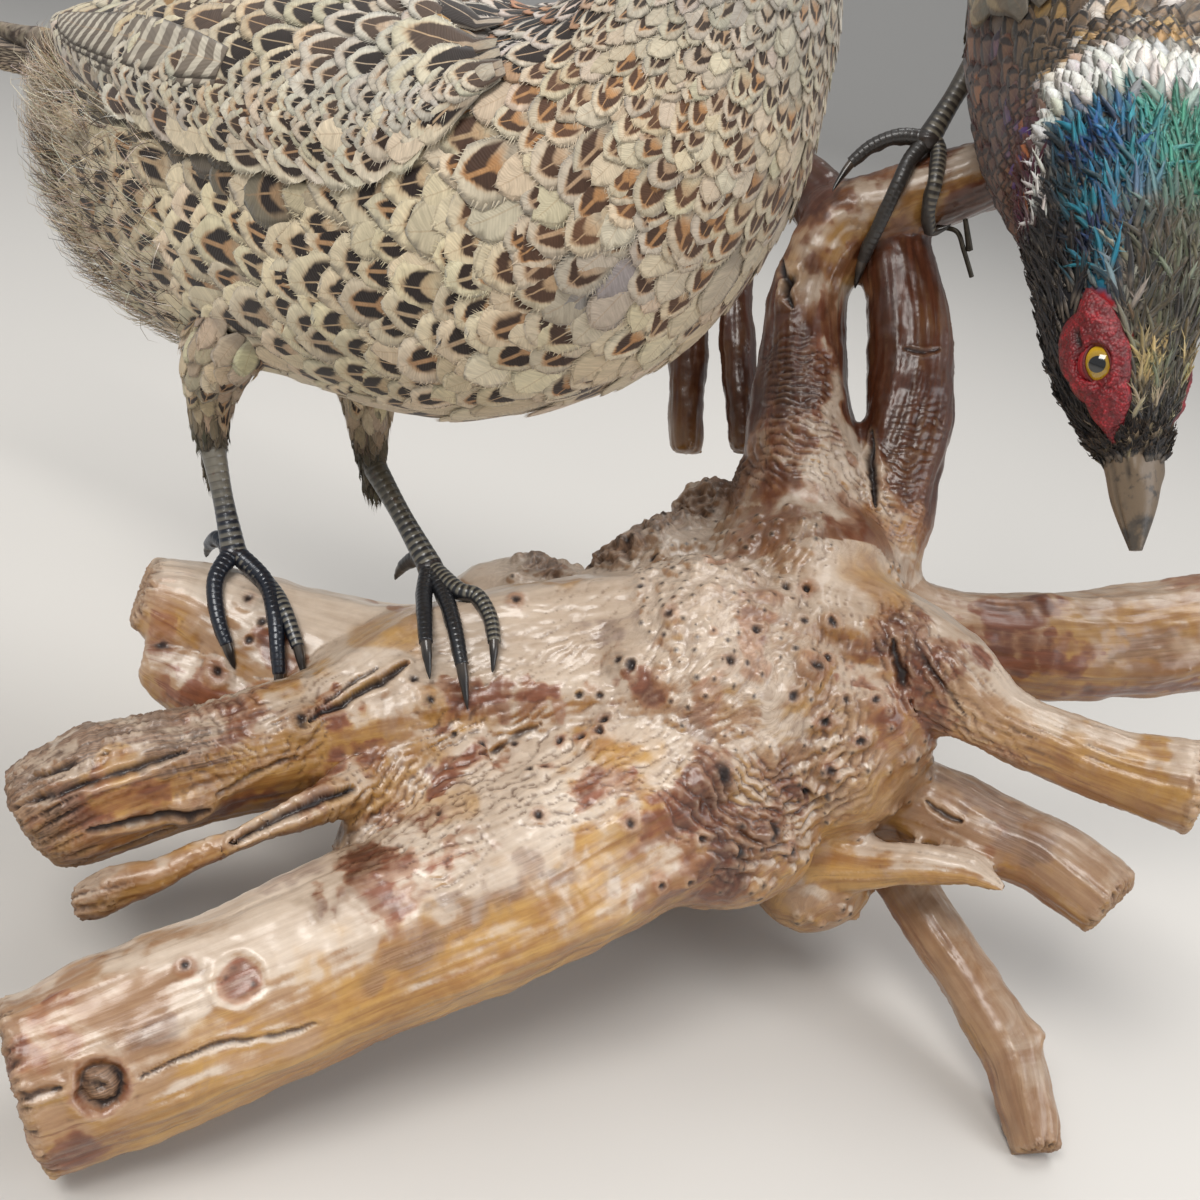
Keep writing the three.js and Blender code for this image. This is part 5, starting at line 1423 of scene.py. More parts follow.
# small feathers run out over the base of the bill
for nm, body, n, reach in (("hen_forehead_feathers", up_body, 190, 0.30), ("hen_chin_feathers", low_body, 110, 0.24)):
    tt = 0.03 + reach * rng.random(n) ** 1.5
    aa = rng.random(n) * TAU - math.pi
    order_ = np.argsort(-tt)
    tt, aa = tt[order_], aa[order_]
    keepf = (np.sin(aa) > -0.35) if body is up_body else (np.sin(aa) < 0.35)
    tt, aa = tt[keepf], aa[keepf]
    n = len(tt)
    made = vanes(body, tt, aa, 3.6 * (1 + 0.2 * rng.normal(0, 1, n)).clip(0.6, 1.5), 0.95, angle=rng.normal(0, 0.18, n), root=0.08, tip=0.7 * (1 + 0.3 * rng.normal(0, 1, n)).clip(0.4, 1.8), tuck=0.05, roll=rng.normal(0, 0.15, n), ragged=0.03, cols=3, fringe=5, wisp=0.7, hair=0.16)
    coat(nm, made, look_of(n, mix((0.40, 0.31, 0.20), (0.24, 0.155, 0.09), rng.random(n)), (0.03, 0.02, 0.015), np.where(rng.random(n) < 0.6, 1.3, 0.62), 0.86), "hen_plumage", m_feather, lambda t, a: hen_uv(0.985 + 0.012 * t, a))


# ------------------------------------------------------------------ the cock, leaning down from the high limb
def cock_depth(t, a=None):
    return 3.6 - 1.0 * smooth(0.40, 0.52, t) - 1.2 * smooth(0.54, 0.64, t)


def cock_spacing(t, a):
    s = turned(a)
    out = 11.0 + (8.0 - 11.0) * smooth(0.30, 0.42, t)
    out = out + (4.4 - out) * smooth(0.42, 0.50, t)
    out = out + (2.35 - out) * smooth(0.53, 0.58, t)
    out = out + (1.7 - out) * smooth(0.70, 0.80, t)
    return out


EYE_C = (0.7515, 3.011)
# the bare red skin round the eye: its edge as (mm towards the bill, mm towards the throat) from the pupil
WATTLE = np.array([[-18.2, 0.7], [-15.6, -1.8], [-10.4, -5.7], [-6.5, -7.2], [1.3, -9.0], [6.9, -8.2], [11.7, -9.2], [16.9, -6.1], [24.3, -1.4], [28.6, 1.6], [19.1, 3.6], [10.0, 5.0],
                   [2.2, 7.6], [-5.6, 8.8], [-11.3, 6.2], [-13.5, 2.8]])
_w_ang = np.arctan2(WATTLE[:, 1], WATTLE[:, 0])
_w_rad = np.linalg.norm(WATTLE, axis=1)
_o = np.argsort(_w_ang)
_w_ang, _w_rad = _w_ang[_o], _w_rad[_o]
c_st, c_sa = (float(x[0]) for x in cock.speeds(np.array([EYE_C[0]]), np.array([EYE_C[1]])))


def wattle_xy(t, a):
    """mm from the eye on its own cheek"""
    al = np.where((a > -math.pi / 2) & (a < math.pi / 2), math.pi - a, a)
    da = (al - EYE_C[1] + math.pi) % TAU - math.pi
    return (t - EYE_C[0]) * c_st, da * c_sa


def wattle_in(t, a, grow=0.0):
    x, y = wattle_xy(t, a)
    r = np.interp(np.arctan2(y, x), _w_ang, _w_rad, period=TAU)
    return np.hypot(x, y) < r + grow


def cock_region_look(t, a):
    s = turned(a)
    n = len(t)
    ch, ch2 = rng.random(n), rng.random(n)
    p = cock.point(t, a)
    big = fbm(p / 11.0, 5)
    small = fbm(p / 4.5, 9)
    # body: copper-maroon below, dark mantle with gold and white above
    maroon = mix((0.115, 0.022, 0.016), (0.07, 0.012, 0.030), smooth(0.35, 0.65, big))
    maroon = mix(maroon, (0.10, 0.045, 0.24), 0.8 * (ch < 0.10))
    maroon = mix(maroon, (0.40, 0.12, 0.035), 0.8 * ((ch > 0.10) & (ch < 0.15)))
    mantle = mix((0.050, 0.034, 0.024), (0.11, 0.075, 0.045), big)
    mantle = mix(mantle, (0.40, 0.24, 0.07), 0.85 * (ch < 0.22))
    mantle = mix(mantle, (0.60, 0.58, 0.54), (ch > 0.22) & (ch < 0.32))
    rump = mix((0.13, 0.12, 0.085), (0.10, 0.14, 0.10), big)
    flank = mix((0.42, 0.20, 0.06), (0.30, 0.13, 0.04), big)
    body = mix(mantle, maroon, smooth(0.44, 0.54, s))
    body = mix(body, mix(rump, flank, smooth(0.4, 0.6, s)), 1 - smooth(0.16, 0.28, t))
    body = mix(body, (0.030, 0.022, 0.018), smooth(0.78, 0.9, s) * (1 - smooth(0.25, 0.4, t)))
    # collar: a white ring, drawn forward at the sides and open at the throat
    ring_t = 0.532 + 0.075 * smooth(0.44, 0.62, s)
    ring = np.exp(-(((t - ring_t) / (0.020 - 0.006 * smooth(0.45, 0.6, s))) ** 4)) * (1 - smooth(0.60, 0.68, s))
    # hood
    green, cyan, blue = np.array((0.045, 0.22, 0.14)), np.array((0.015, 0.21, 0.30)), np.array((0.015, 0.075, 0.25))
    hood = mix(mix(cyan, blue, smooth(0.42, 0.62, small)), green, (1 - smooth(0.05, 0.30, s)) * 0.9)
    hood = mix(hood, (0.008, 0.008, 0.012), np.clip(smooth(0.36, 0.52, s + 0.12 * (small - 0.5)) + 0.75 * smooth(0.52, 0.62, big) * smooth(0.25, 0.4, s), 0, 1))
    crown = mix((0.075, 0.060, 0.036), (0.17, 0.20, 0.13), smooth(0.46, 0.62, small))
    crown = mix(crown, (0.045, 0.033, 0.02), smooth(0.50, 0.66, big) * 0.75)
    crown = mix(crown, (0.012, 0.011, 0.010), (ch < 0.16) * 0.85)
    head = mix(hood, crown, smooth(0.605, 0.665, t + 0.02 * (big - 0.5)) * (1 - smooth(0.28, 0.36, s)))
    brow = np.exp(-(((s - 0.315) / 0.035) ** 2)) * smooth(0.66, 0.69, t) * (1 - smooth(0.79, 0.82, t))
    hood_dark = (ch > 0.80) * smooth(0.10, 0.25, s)
    head = mix(head, (0.46, 0.43, 0.34), 0.9 * brow * (ch < 0.8))
    head = mix(head, (0.010, 0.012, 0.020), 0.85 * hood_dark)
    fore = np.exp(-(((s - 0.17) / 0.065) ** 2 + ((t - 0.775) / 0.024) ** 2))
    head = mix(head, (0.50, 0.36, 0.15), np.clip(1.25 * fore, 0, 1))
    mid = np.exp(-((s / 0.05) ** 2)) * smooth(0.72, 0.76, t)
    head = mix(head, (0.03, 0.028, 0.024), 0.8 * mid)
    lore = smooth(0.803, 0.823, t + 0.012 * (small - 0.5))
    head = mix(head, mix((0.014, 0.012, 0.011), (0.40, 0.33, 0.21), (ch2 < 0.40) * (t < 0.845)), lore)
    head = mix(head, (0.010, 0.009, 0.011), smooth(0.50, 0.58, s))
    head_k = smooth(0.535, 0.565, t - 0.06 * smooth(0.44, 0.62, s))
    base = mix(body, head, head_k)
    base = mix(base, (0.70, 0.69, 0.66), np.clip(1.3 * ring, 0, 1))
    edge = mix(np.array(base), (0.012, 0.010, 0.010), 0.85)
    q0 = np.where((t < 0.5) & (s > 0.5), 0.84, np.where(t < 0.5, 0.80, 1.4))
    lk = look_of(n, base, edge, q0, 1.3, 0.0, 0.0, light=0.5, vary=0.12)
    return lk, head_k, s


cock_wings = [FoldedWing(cock, k == 1, 0.5 / 14, 5.3 / 14, lambda f: -0.1 + 0.5 * (1 - smooth(0, 0.4, f)) + 0.3 * smooth(0.8, 1, f), lambda f: 1.35 - 0.25 * f, 6) for k in (0, 1)]


def under_cock_wing(t, a):
    f = (t - 0.5 / 14) / (4.8 / 14)
    al = np.where(np.abs(a) > math.pi / 2, math.pi - np.abs(a), np.abs(a)) * np.sign(a + 1e-9)
    fc = np.clip(f, 0, 1)
    w = cock_wings[0]
    return (f > 0.12) & (f < 0.90) & (al > w.low(fc) + 0.24) & (al < w.top(fc) - 0.30)


m_body = feather_material("cock_body_feathers", rough=0.48, sheen=0.15, spec=0.4, metallic=0.25)
m_hood = feather_material("cock_hood_feathers", rough=0.42, sheen=0.05, spec=0.45, metallic=0.35)
m_pale = feather_material("cock_soft_feathers", rough=0.65, sheen=0.2, spec=0.25)
t, a = rows(cock, 0.0, 0.884, cock_spacing, lambda t, a: cock_spacing(t, a) * (1.1 - 0.15 * smooth(0.45, 0.55, t)), keep=lambda t, a: ~under_cock_wing(t, a) & ~wattle_in(t, a, 0.6))
sp = cock_spacing(t, a)
lk, hk, s = cock_region_look(t, a)
narrow = smooth(0.50, 0.58, t)
dep = cock_depth(t)
wild = 0.05 + 0.16 * narrow
bright = np.linalg.norm(lk["ca"], axis=1) > 0.45
dull = (hk > 0.5) & (s < 0.37) & (t > 0.64)
for sel, nm, mt, fr, shp in ((t < 0.47, "cock_body_feathers", m_body, 18, ROUND), ((t >= 0.47) & (bright | dull), "cock_collar_feathers", m_pale, 6, SLIM), ((t >= 0.47) & ~(bright | dull), "cock_hood_feathers", m_hood, 6, SLIM)):
    idx = np.nonzero(sel)[0]
    tt, aa = t[idx], a[idx]
    n = len(idx)
    sp, nr, dp = cock_spacing(tt, aa), narrow[idx], dep[idx]
    made = vanes(cock, tt, aa, sp * (2.7 + 2.3 * nr) * (1 + 0.2 * nr * rng.normal(0, 1, n)).clip(0.6, 1.5), sp * (0.74 - 0.36 * nr), angle=rng.normal(0, 1, n) * (0.06 + 0.24 * nr), root=0.25, tip=dp * 0.9 * (1 + rng.normal(0, 1, n) * (0.10 + 0.34 * nr)), tuck=0.30 * dp / 3.6 + 0.05,
                 bend=rng.normal(0, 1, n) * (0.03 + 0.10 * nr), roll=rng.normal(0, 1, n) * (0.15 + 0.3 * nr) * dp / 3.6, ragged=0.02 + 0.02 * nr, depth=cock_depth, shape=shp, cols=6 if fr > 10 else 3,
                 fringe=fr, wisp=(0.9 + 0.1 * sp) if fr > 10 else 2.6, hair=0.28 if fr > 10 else 0.22)
    coat(nm, made, {k: x[idx] for k, x in lk.items()}, "cock_plumage", mt, cock_uv)
    print(nm, n, made["tris"] * n)

# short black feathers that grow out over the base of the bill
n = 330
tt = 0.846 + 0.030 * rng.random(n) ** 1.3
aa = rng.random(n) * TAU - math.pi
order_ = np.argsort(-tt)
tt, aa = tt[order_], aa[order_]
made = vanes(cock, tt, aa, 4.6 * (1 + 0.25 * rng.normal(0, 1, n)).clip(0.6, 1.6), 0.85, angle=rng.normal(0, 0.30, n), root=0.10, tip=1.1 * (1 + 0.4 * rng.normal(0, 1, n)).clip(0.3, 2), tuck=0.05, roll=rng.normal(0, 0.25, n), ragged=0.03, shape=SLIM, cols=3, fringe=6, wisp=1.2, hair=0.2)
coat("cock_bill_base_feathers", made, look_of(n, mix((0.012, 0.010, 0.010), (0.16, 0.125, 0.075), rng.random(n) < 0.10), (0.01, 0.01, 0.01), 1.3, 1.4, 0.0, 0.0, vary=0.12), "cock_plumage", m_hood, cock_uv)

for k, wing in enumerate(cock_wings):
    side = ("left", "right")[k]
    n = 12
    made = vanes(wing, np.linspace(0.62, 0.80, n), np.linspace(0.03, 0.95, n), np.linspace(120, 80, n), 12.0, root=0.3 + 0.16 * np.arange(n), tip=0.8 + 0.2 * np.arange(n), tuck=0.3,
                 ragged=0.008, shape=LONG, cols=7, lift=1.0, fringe=50, wisp=0.8, start=0.35)
    coat(f"cock_flight_feathers_{side}", made, look_of(n, (0.16, 0.11, 0.07), (0.42, 0.34, 0.23), 1.3, 1.4, 0, 0.05, bars=0.30), "cock_plumage", m_pale, wing_uv(k))
    sp_w = lambda f, g: 15.0 - 6.0 * smooth(0.3, 0.95, f)
    f, g = rows(wing, 0.22, 1.06, sp_w, sp_w, span=(0.0, 1.0), jitter=0.10)
    sp = sp_w(f, g)
    made = vanes(wing, f, g, sp * 2.6, sp * 0.68, angle=rng.normal(0, 0.05, len(f)), root=0.5, tip=2.8, tuck=0.45, roll=rng.normal(0, 0.15, len(f)), ragged=0.015, fringe=18, wisp=1.2)
    ch = rng.random(len(f))
    coat(f"cock_coverts_{side}", made, look_of(len(f), mix((0.28, 0.16, 0.07), (0.20, 0.19, 0.15), smooth(0.4, 0.8, f + 0.2 * ch)), (0.42, 0.33, 0.2), 0.80, 1.3, 0.0, 0.0), "cock_plumage", m_body, wing_uv(k))

ctail = Flat([252, 618, 455], [0, -0.766, -0.646], [1, 0, 0], roof=0.006)
if ctail.z @ np.array([0, -0.64, 0.76]) < 0:
    ctail = Flat([252, 618, 455], [0, -0.766, -0.646], [-1, 0, 0], roof=0.006)
pair = (np.arange(18) // 2)[::-1]
sgn = np.where(np.arange(18) % 2, 1.0, -1.0)
made = vanes(ctail, np.full(18, 6.0), sgn * (1.5 + 1.2 * pair), 452 - 38.0 * pair, 12.0, angle=sgn * (0.004 + 0.009 * pair), root=3.4 - 0.6 * pair, tip=3.2 - 0.45 * pair, tuck=0.6,
             ragged=0.002, shape=POINTED, cols=7, lift=1.0, fringe=90, wisp=1.2, start=0.1)
coat("cock_tail_feathers", made, look_of(18, (0.33, 0.22, 0.11), (0.045, 0.030, 0.022), 1.3, 1.4, 0, 0.05, bars=0.55), "cock_plumage", m_pale, tail_uv)

for k, (side, leg) in enumerate(COCK_LEGS.items()):
    build_foot(f"cock_foot_{side}_skin", leg, 4.4, 3.3, "cock_plumage", "cock_plumage", m_cock_leg, m_cock_claw, None)
    thigh = tube_body([[*leg["ankle"], 7], [*leg["shin"], 11], [*leg["knee"], 17], [*leg["hip"], 24]], side=(0.97, 0.2, 0), nt=100, na=96)
    t, a = rows(thigh, -0.12, 0.9, lambda t, a: 4.0 + 3.5 * smooth(0.1, 0.7, t), lambda t, a: 3.6 + 2.6 * smooth(0.1, 0.7, t))
    made = vanes(thigh, t, a, 14 + 8 * smooth(0.1, 0.7, t), 2.0 + 1.6 * smooth(0.1, 0.7, t), angle=rng.normal(0, 0.14, len(t)), root=0.3, tip=2.4, tuck=0.4, roll=rng.normal(0, 0.3, len(t)),
                 ragged=0.04, depth=2.2, fringe=12, wisp=2.2)
    coat(f"cock_thigh_{side}_feathers", made, look_of(len(t), (0.06, 0.045, 0.03), UMBER, 1.3, 1.4, 0.0, 0.05, vary=0.16), "cock_plumage", m_pale, leg_uv(k))

# skin of the cock, his bill, the bare red cheeks and the eyes
def cock_skin_colour(p):
    t, a = nearest_ta(cock, p)
    lk, hk, s = cock_region_look(t, a)
    red = wattle_in(t, a, 0.5)
    return np.clip(mix(lk["ca"] * 0.75, (0.28, 0.012, 0.016), red), 0, 1)


v, f, _, _ = grid_mesh(cock, 150, 110, 0.0, 0.90, depth=lambda t, a: cock_depth(t))
parts = [(v, f)]
for wing in cock_wings:
    parts.append(wing_slab(wing))
for leg in COCK_LEGS.values():
    v, f, *_ = swept([[*leg["ankle"], 5.0], [*leg["shin"], 8.6], [*leg["knee"], 14.6], [*leg["hip"], 21]], 2.0, 24)
    parts.append((v, f))
v, f, *_ = swept([[252, 612, 450, 13], [252, 640, 473, 9], [252, 690, 516, 3.5]], 2.0, 24)
parts.append((v, f))
cock_skin = skin_piece("cock_skin", parts, 0.0025, cock_skin_colour, "cock_plumage", m_skin)
done(cock_skin, "cock_plumage", "cock")

m_cbill = bill_material("cock_bill", (0.15, 0.105, 0.065), (0.060, 0.047, 0.035), (0.020, 0.016, 0.014), 1.2)
bill_piece("cock_bill_horn", cock, 0.852, 1.0, "cock_plumage", m_cbill, groove=-0.25, nostril=(0.22, 0.62, 0.11, 0.30))


def wattle_material():
    m = Mat("red_cheek")
    c = m.attr("red").outputs["Color"]
    k, dark, _ = m.splitc(c)[:3]
    pos = m.coords("Object")
    vor = m.node("ShaderNodeTexVoronoi")
    m.plug(vor, "Vector", pos)
    vor.inputs["Scale"].default_value = 1100.0
    d = vor.outputs["Distance"]
    n = m.noise(pos, 330.0, 3.0).outputs["Fac"]
    col = m.mixc(m.step(0.35, 0.7, n), (0.13, 0.004, 0.006), (0.37, 0.012, 0.020))
    # darker red in the low ground between the papillae: painted shade
    col = m.mixc(m.math("MULTIPLY", m.step(0.25, 0.6, d), 0.55), col, (0.085, 0.004, 0.007))
    # near-black in the fold beside the eye: painted shade in that fold
    col = m.mixc(dark, col, (0.015, 0.006, 0.006))
    m.link(col, "Base Color")
    m.link(m.bump(m.math("SUBTRACT", 1.0, d), 0.8, 0.0006), "Normal")
    m.set(Roughness=0.50)
    m.b.inputs["Coat Weight"].default_value = 0.15
    m.b.inputs["Coat Roughness"].default_value = 0.25
    m.b.inputs["Subsurface Weight"].default_value = 0.15
    m.b.inputs["Subsurface Radius"].default_value = (0.002, 0.0006, 0.0004)
    return m.m


EYE_SIGN = -1.0
m_red = wattle_material()
m_ceye = eye_material("cock_eye", (0.60, 0.36, 0.02), (0.03, 0.01, 0.008), pupil=0.12, edge=0.34)
m_clid = lid_material("cock_lid", (0.10, 0.008, 0.010), (0.30, 0.012, 0.018))
for k in (0, 1):
    # k = 1 is the right cheek
    K, mm = 34, 150
    s_, th = (x.ravel() for x in np.meshgrid(np.linspace(0, 1, K + 1), np.arange(mm) / mm * TAU, indexing="ij"))
    R = np.interp((th + math.pi) % TAU - math.pi, _w_ang, _w_rad, period=TAU)
    r = 3.6 + (R + 0.4 - 3.6) * s_
    x, y = r * np.cos(th), r * np.sin(th)
    t = EYE_C[0] + x / c_st
    a = EYE_C[1] + y / c_sa
    if k == 0:
        a = math.pi - a
    h = 2.3 * (1 - s_ ** 3) * smooth(-0.05, 0.25, s_) + 0.2
    q = np.stack([x, y, 0 * x], -1)
    h += (fbm(q / 1.7 + 5, 21) - 0.5) * 1.3 * (1 - s_ ** 4) + 0.35 * np.sin(r * 2.6 + 2 * fbm(q / 4.0, 3)) * (1 - s_)
    # the slit is a fold that the cheek material paints near-black, as shade
    slit = np.exp(-(((x + 6.8) / 2.6) ** 2 + ((y - 2.6) / 0.8) ** 2))
    h -= 1.6 * slit
    v = cock.point(t, a, h - cock_depth(t) * (s_ > 0.98) * 0.6)
    i, j = (z.ravel() for z in np.meshgrid(np.arange(K), np.arange(mm), indexing="ij"))
    f = np.stack([i * mm + j, (i + 1) * mm + j, (i + 1) * mm + (j + 1) % mm, i * mm + (j + 1) % mm], -1)
    v2 = cock.point(t, a, -2.6)
    N = len(v)
    jj = np.arange(mm)
    kk = K * mm
    f = np.concatenate([f, (f + N)[:, ::-1], np.stack([jj, (jj + 1) % mm, N + (jj + 1) % mm, N + jj], -1), np.stack([kk + jj, N + kk + jj, N + kk + (jj + 1) % mm, kk + (jj + 1) % mm], -1)])
    if k == 0:
        f = f[:, ::-1]
    w = mesh_object(f"cock_cheek_{('left', 'right')[k]}", M(np.concatenate([v, v2])), f, m_red)
    colour_attribute(w.data, "red", np.stack([np.concatenate([s_, s_]), np.concatenate([slit, slit]), np.zeros(2 * N)], -1))
    done(w, "cock_plumage")
    aa = EYE_C[1] if k else math.pi - EYE_C[1]
    at = np.array([EYE_C[0]]), np.array([aa])
    c = cock.point(*at)[0]
    nrm = cock.look(cock.nrm, *at)[0]
    ahead = unit(cock.look(cock.pt, *at)[0])
    eye_pair(f"cock_eyeball_{('left', 'right')[k]}", c - nrm * 3.2, nrm + 0.10 * ahead + 0.22 * unit(np.cross(ahead, nrm)) * (1 if k else -1) * EYE_SIGN, ahead, 5.9, 0.52, 1.0, m_ceye, m_clid, "cock_plumage", "cock_plumage", fold=1.0)

# the twisted end of the wire at the cock's foot
mw = Mat("wire")
mw.set(Metallic=0.75, Roughness=0.42)
mw.link(mw.mixc(mw.noise(mw.coords(), 400.0, 3.0).outputs["Fac"], (0.020, 0.020, 0.018), (0.09, 0.075, 0.055)), "Base Color")
parts = []
for run in ([[202, 532, 287, 1], [207.5, 524, 288, 1], [212.5, 522.5, 281.5, 1], [219, 521.5, 272, 1]], [[208.5, 521.6, 293.6, 1], [213, 522.4, 285.6, 1.3], [214.6, 522, 282, 1.5]]):
    v, f, s_, q_, S_ = swept(run, 0.4, 14)
    parts.append((v, f, np.zeros((len(v), 4))))
v, f, _ = joined(parts)
wire = mesh_object("leg_wire_twist", M(v), f, mw.m)
done(wire, "leg_wire", "leg_wire")


# ------------------------------------------------------------------ the driftwood
LIMBS = {
    "front": [[-81.5, 285.2, 30, 27], [-40, 304, 42, 29.2], [7, 328, 55, 30.5], [56, 352, 69, 33.2], [98, 380, 85, 38], [138, 414, 97, 47]],
    "log": [[-101, 362, 66, 19.5], [-80, 371, 77, 24], [-50, 381, 85, 21.5], [-18, 399, 88, 25], [20, 424, 86, 44], [62, 432, 88, 54], [110, 432, 96, 60]],
    "stub": [[-88, 455, 107, 14.5], [-66, 457, 101, 20], [-38, 453, 94, 26], [0, 448, 84, 36]],
    "splinter": [[-82, 337, 53, 7], [-57, 342, 62, 5], [-34, 351, 72, 3.6], [-13, 362, 79, 4.4], [4, 379, 83, 8.5], [24, 392, 90, 16]],
    "high": [[170, 470, 150, 40], [165, 494, 187, 27], [160, 519, 217, 20], [159, 541, 250, 17], [167, 549, 278, 18], [189, 544, 292, 16], [216, 538, 309, 13.8], [245, 537, 325, 13], [276, 540, 337, 12], [300, 543, 344, 9]],
    "arch": [[181, 551, 280, 14], [193, 540, 269, 15.5], [201, 520, 246, 17.8], [204, 500, 216, 18.2], [199, 475, 181, 17.5], [189, 454, 152, 21], [178, 434, 130, 30]],
    "behind": [[168, 551, 278, 15], [155, 586, 287, 13], [142, 616, 286, 12], [127, 628, 269, 11], [122, 616, 238, 11], [126, 596, 200, 10.5], [132, 572, 157, 9.5]],
    "stick": [[144, 613, 287, 10], [139, 617, 259, 9], [143, 598, 227, 8.5], [149, 576, 196, 8.2], [155, 557, 169, 7.5]],
    "right": [[174, 426, 140, 38], [197, 412, 149, 25], [211, 399, 149, 21], [227, 384, 144, 13], [242, 374, 144, 11.8], [264, 360, 145, 14], [285, 349, 149, 17.5]],
    "rightBack": [[197, 454, 139, 26], [231, 451, 141, 20], [274, 450, 145, 22.3], [312, 454, 151, 24.3], [352, 456, 162, 24.5], [398, 459, 169, 22.2]],
    "rightUp": [[345, 456, 160, 13], [356, 462, 180, 10], [366, 468, 196, 7]],
    "cut": [[192, 428, 82, 28], [217, 406, 90, 18], [237, 387, 95, 16.5], [257, 371, 97, 15.5], [277, 351, 93, 15.5]],
    "thin": [[182, 402, 60, 20], [196, 386, 72, 10.5], [213, 374, 84, 8], [228, 365, 90, 6.5], [240, 356, 90, 3.5]],
    "leg": [[200, 440, 84, 24], [216, 424, 64, 15], [230, 396, 48, 12], [246, 367, 37, 12.5], [260, 343, 25, 11.5], [265, 327, 13, 11], [267, 314, 5.5, 9.5]],
    "heel": [[120, 470, 70, 40], [108, 510, 40, 26], [98, 540, 8, 20]],
    "heelRight": [[180, 460, 70, 34], [212, 496, 40, 20], [232, 524, 6, 16]],
    "shoulder": [[-84, 441, 84, 8], [-62, 438, 78, 18], [-40, 436, 74, 21], [-12, 436, 76, 30]],
    "web": [[0, 366, 58, 9], [10, 372, 62, 16], [26, 380, 67, 25], [48, 392, 74, 36]],
    "knot": [[-42, 316, 34, 12], [-44, 315, 10, 15], [-44, 315, -6, 15]],
}
BURL = [([134, 430, 108], 60), ([92, 436, 98], 48), ([166, 462, 140], 46), ([176, 420, 112], 46), ([186, 402, 50], 23), ([134, 388, 82], 34), ([120, 480, 130], 32), ([70, 494, 103], 27), ([140, 505, 154], 19)]


def limb_coords(p):
    """for points in mm: the two nearest limbs' (along, round, outward) and how far the second and the burl are"""
    N = len(p)
    nl = len(LIMBS)
    dist = np.full((nl, N), 1e9)
    crd = np.zeros((nl, N, 3))
    for k, pts in enumerate(LIMBS.values()):
        c = along(np.array(pts, float), np.linspace(0, 1, 70))
        s = np.concatenate([[0], np.cumsum(np.linalg.norm(np.diff(c[:, :3], axis=0), axis=1))])
        T = unit(np.gradient(c[:, :3], axis=0))
        ref = np.array([0, 0, 1.0]) if abs(T[0, 2]) < 0.8 else np.array([1.0, 0, 0])
        Z = unit(ref - T * (T @ ref)[:, None])
        Y = np.cross(T, Z)
        best, arg = np.full(N, 1e9), np.zeros(N, int)
        for i in range(0, 70):
            d = np.linalg.norm(p - c[i, :3], axis=1) - c[i, 3]
            m = d < best
            best[m], arg[m] = d[m], i
        rel = p - c[arg, :3]
        u = np.sum(rel * T[arg], 1)
        z, y = np.sum(rel * Z[arg], 1), np.sum(rel * Y[arg], 1)
        dist[k] = best
        crd[k] = np.stack([s[arg] + u + 400 * k, np.arctan2(y, z) * max(12.0, c[:, 3].mean()), np.hypot(y, z) - c[arg, 3]], -1)
    o = np.argsort(dist, axis=0)
    r = np.arange(N)
    burl = np.min([np.linalg.norm((p - np.array(c)), axis=1) - rad for c, rad in BURL], axis=0)
    return crd[o[0], r], crd[o[1], r], dist[o[0], r], dist[o[1], r], burl, o[0]


def edges_of(me):
    e = np.zeros(len(me.edges) * 2, np.int32)
    me.edges.foreach_get("vertices", e)
    return e.reshape(-1, 2)


def relax(co, e, n, w=0.5):
    cnt = np.bincount(e.ravel(), minlength=len(co)).astype(float)
    for _ in range(n):
        s = np.stack([np.bincount(e[:, 0], co[e[:, 1], k], len(co)) + np.bincount(e[:, 1], co[e[:, 0], k], len(co)) for k in range(co.shape[1])], -1)
        co = co * (1 - w) + w * s / np.maximum(cnt, 1)[:, None]
    return co


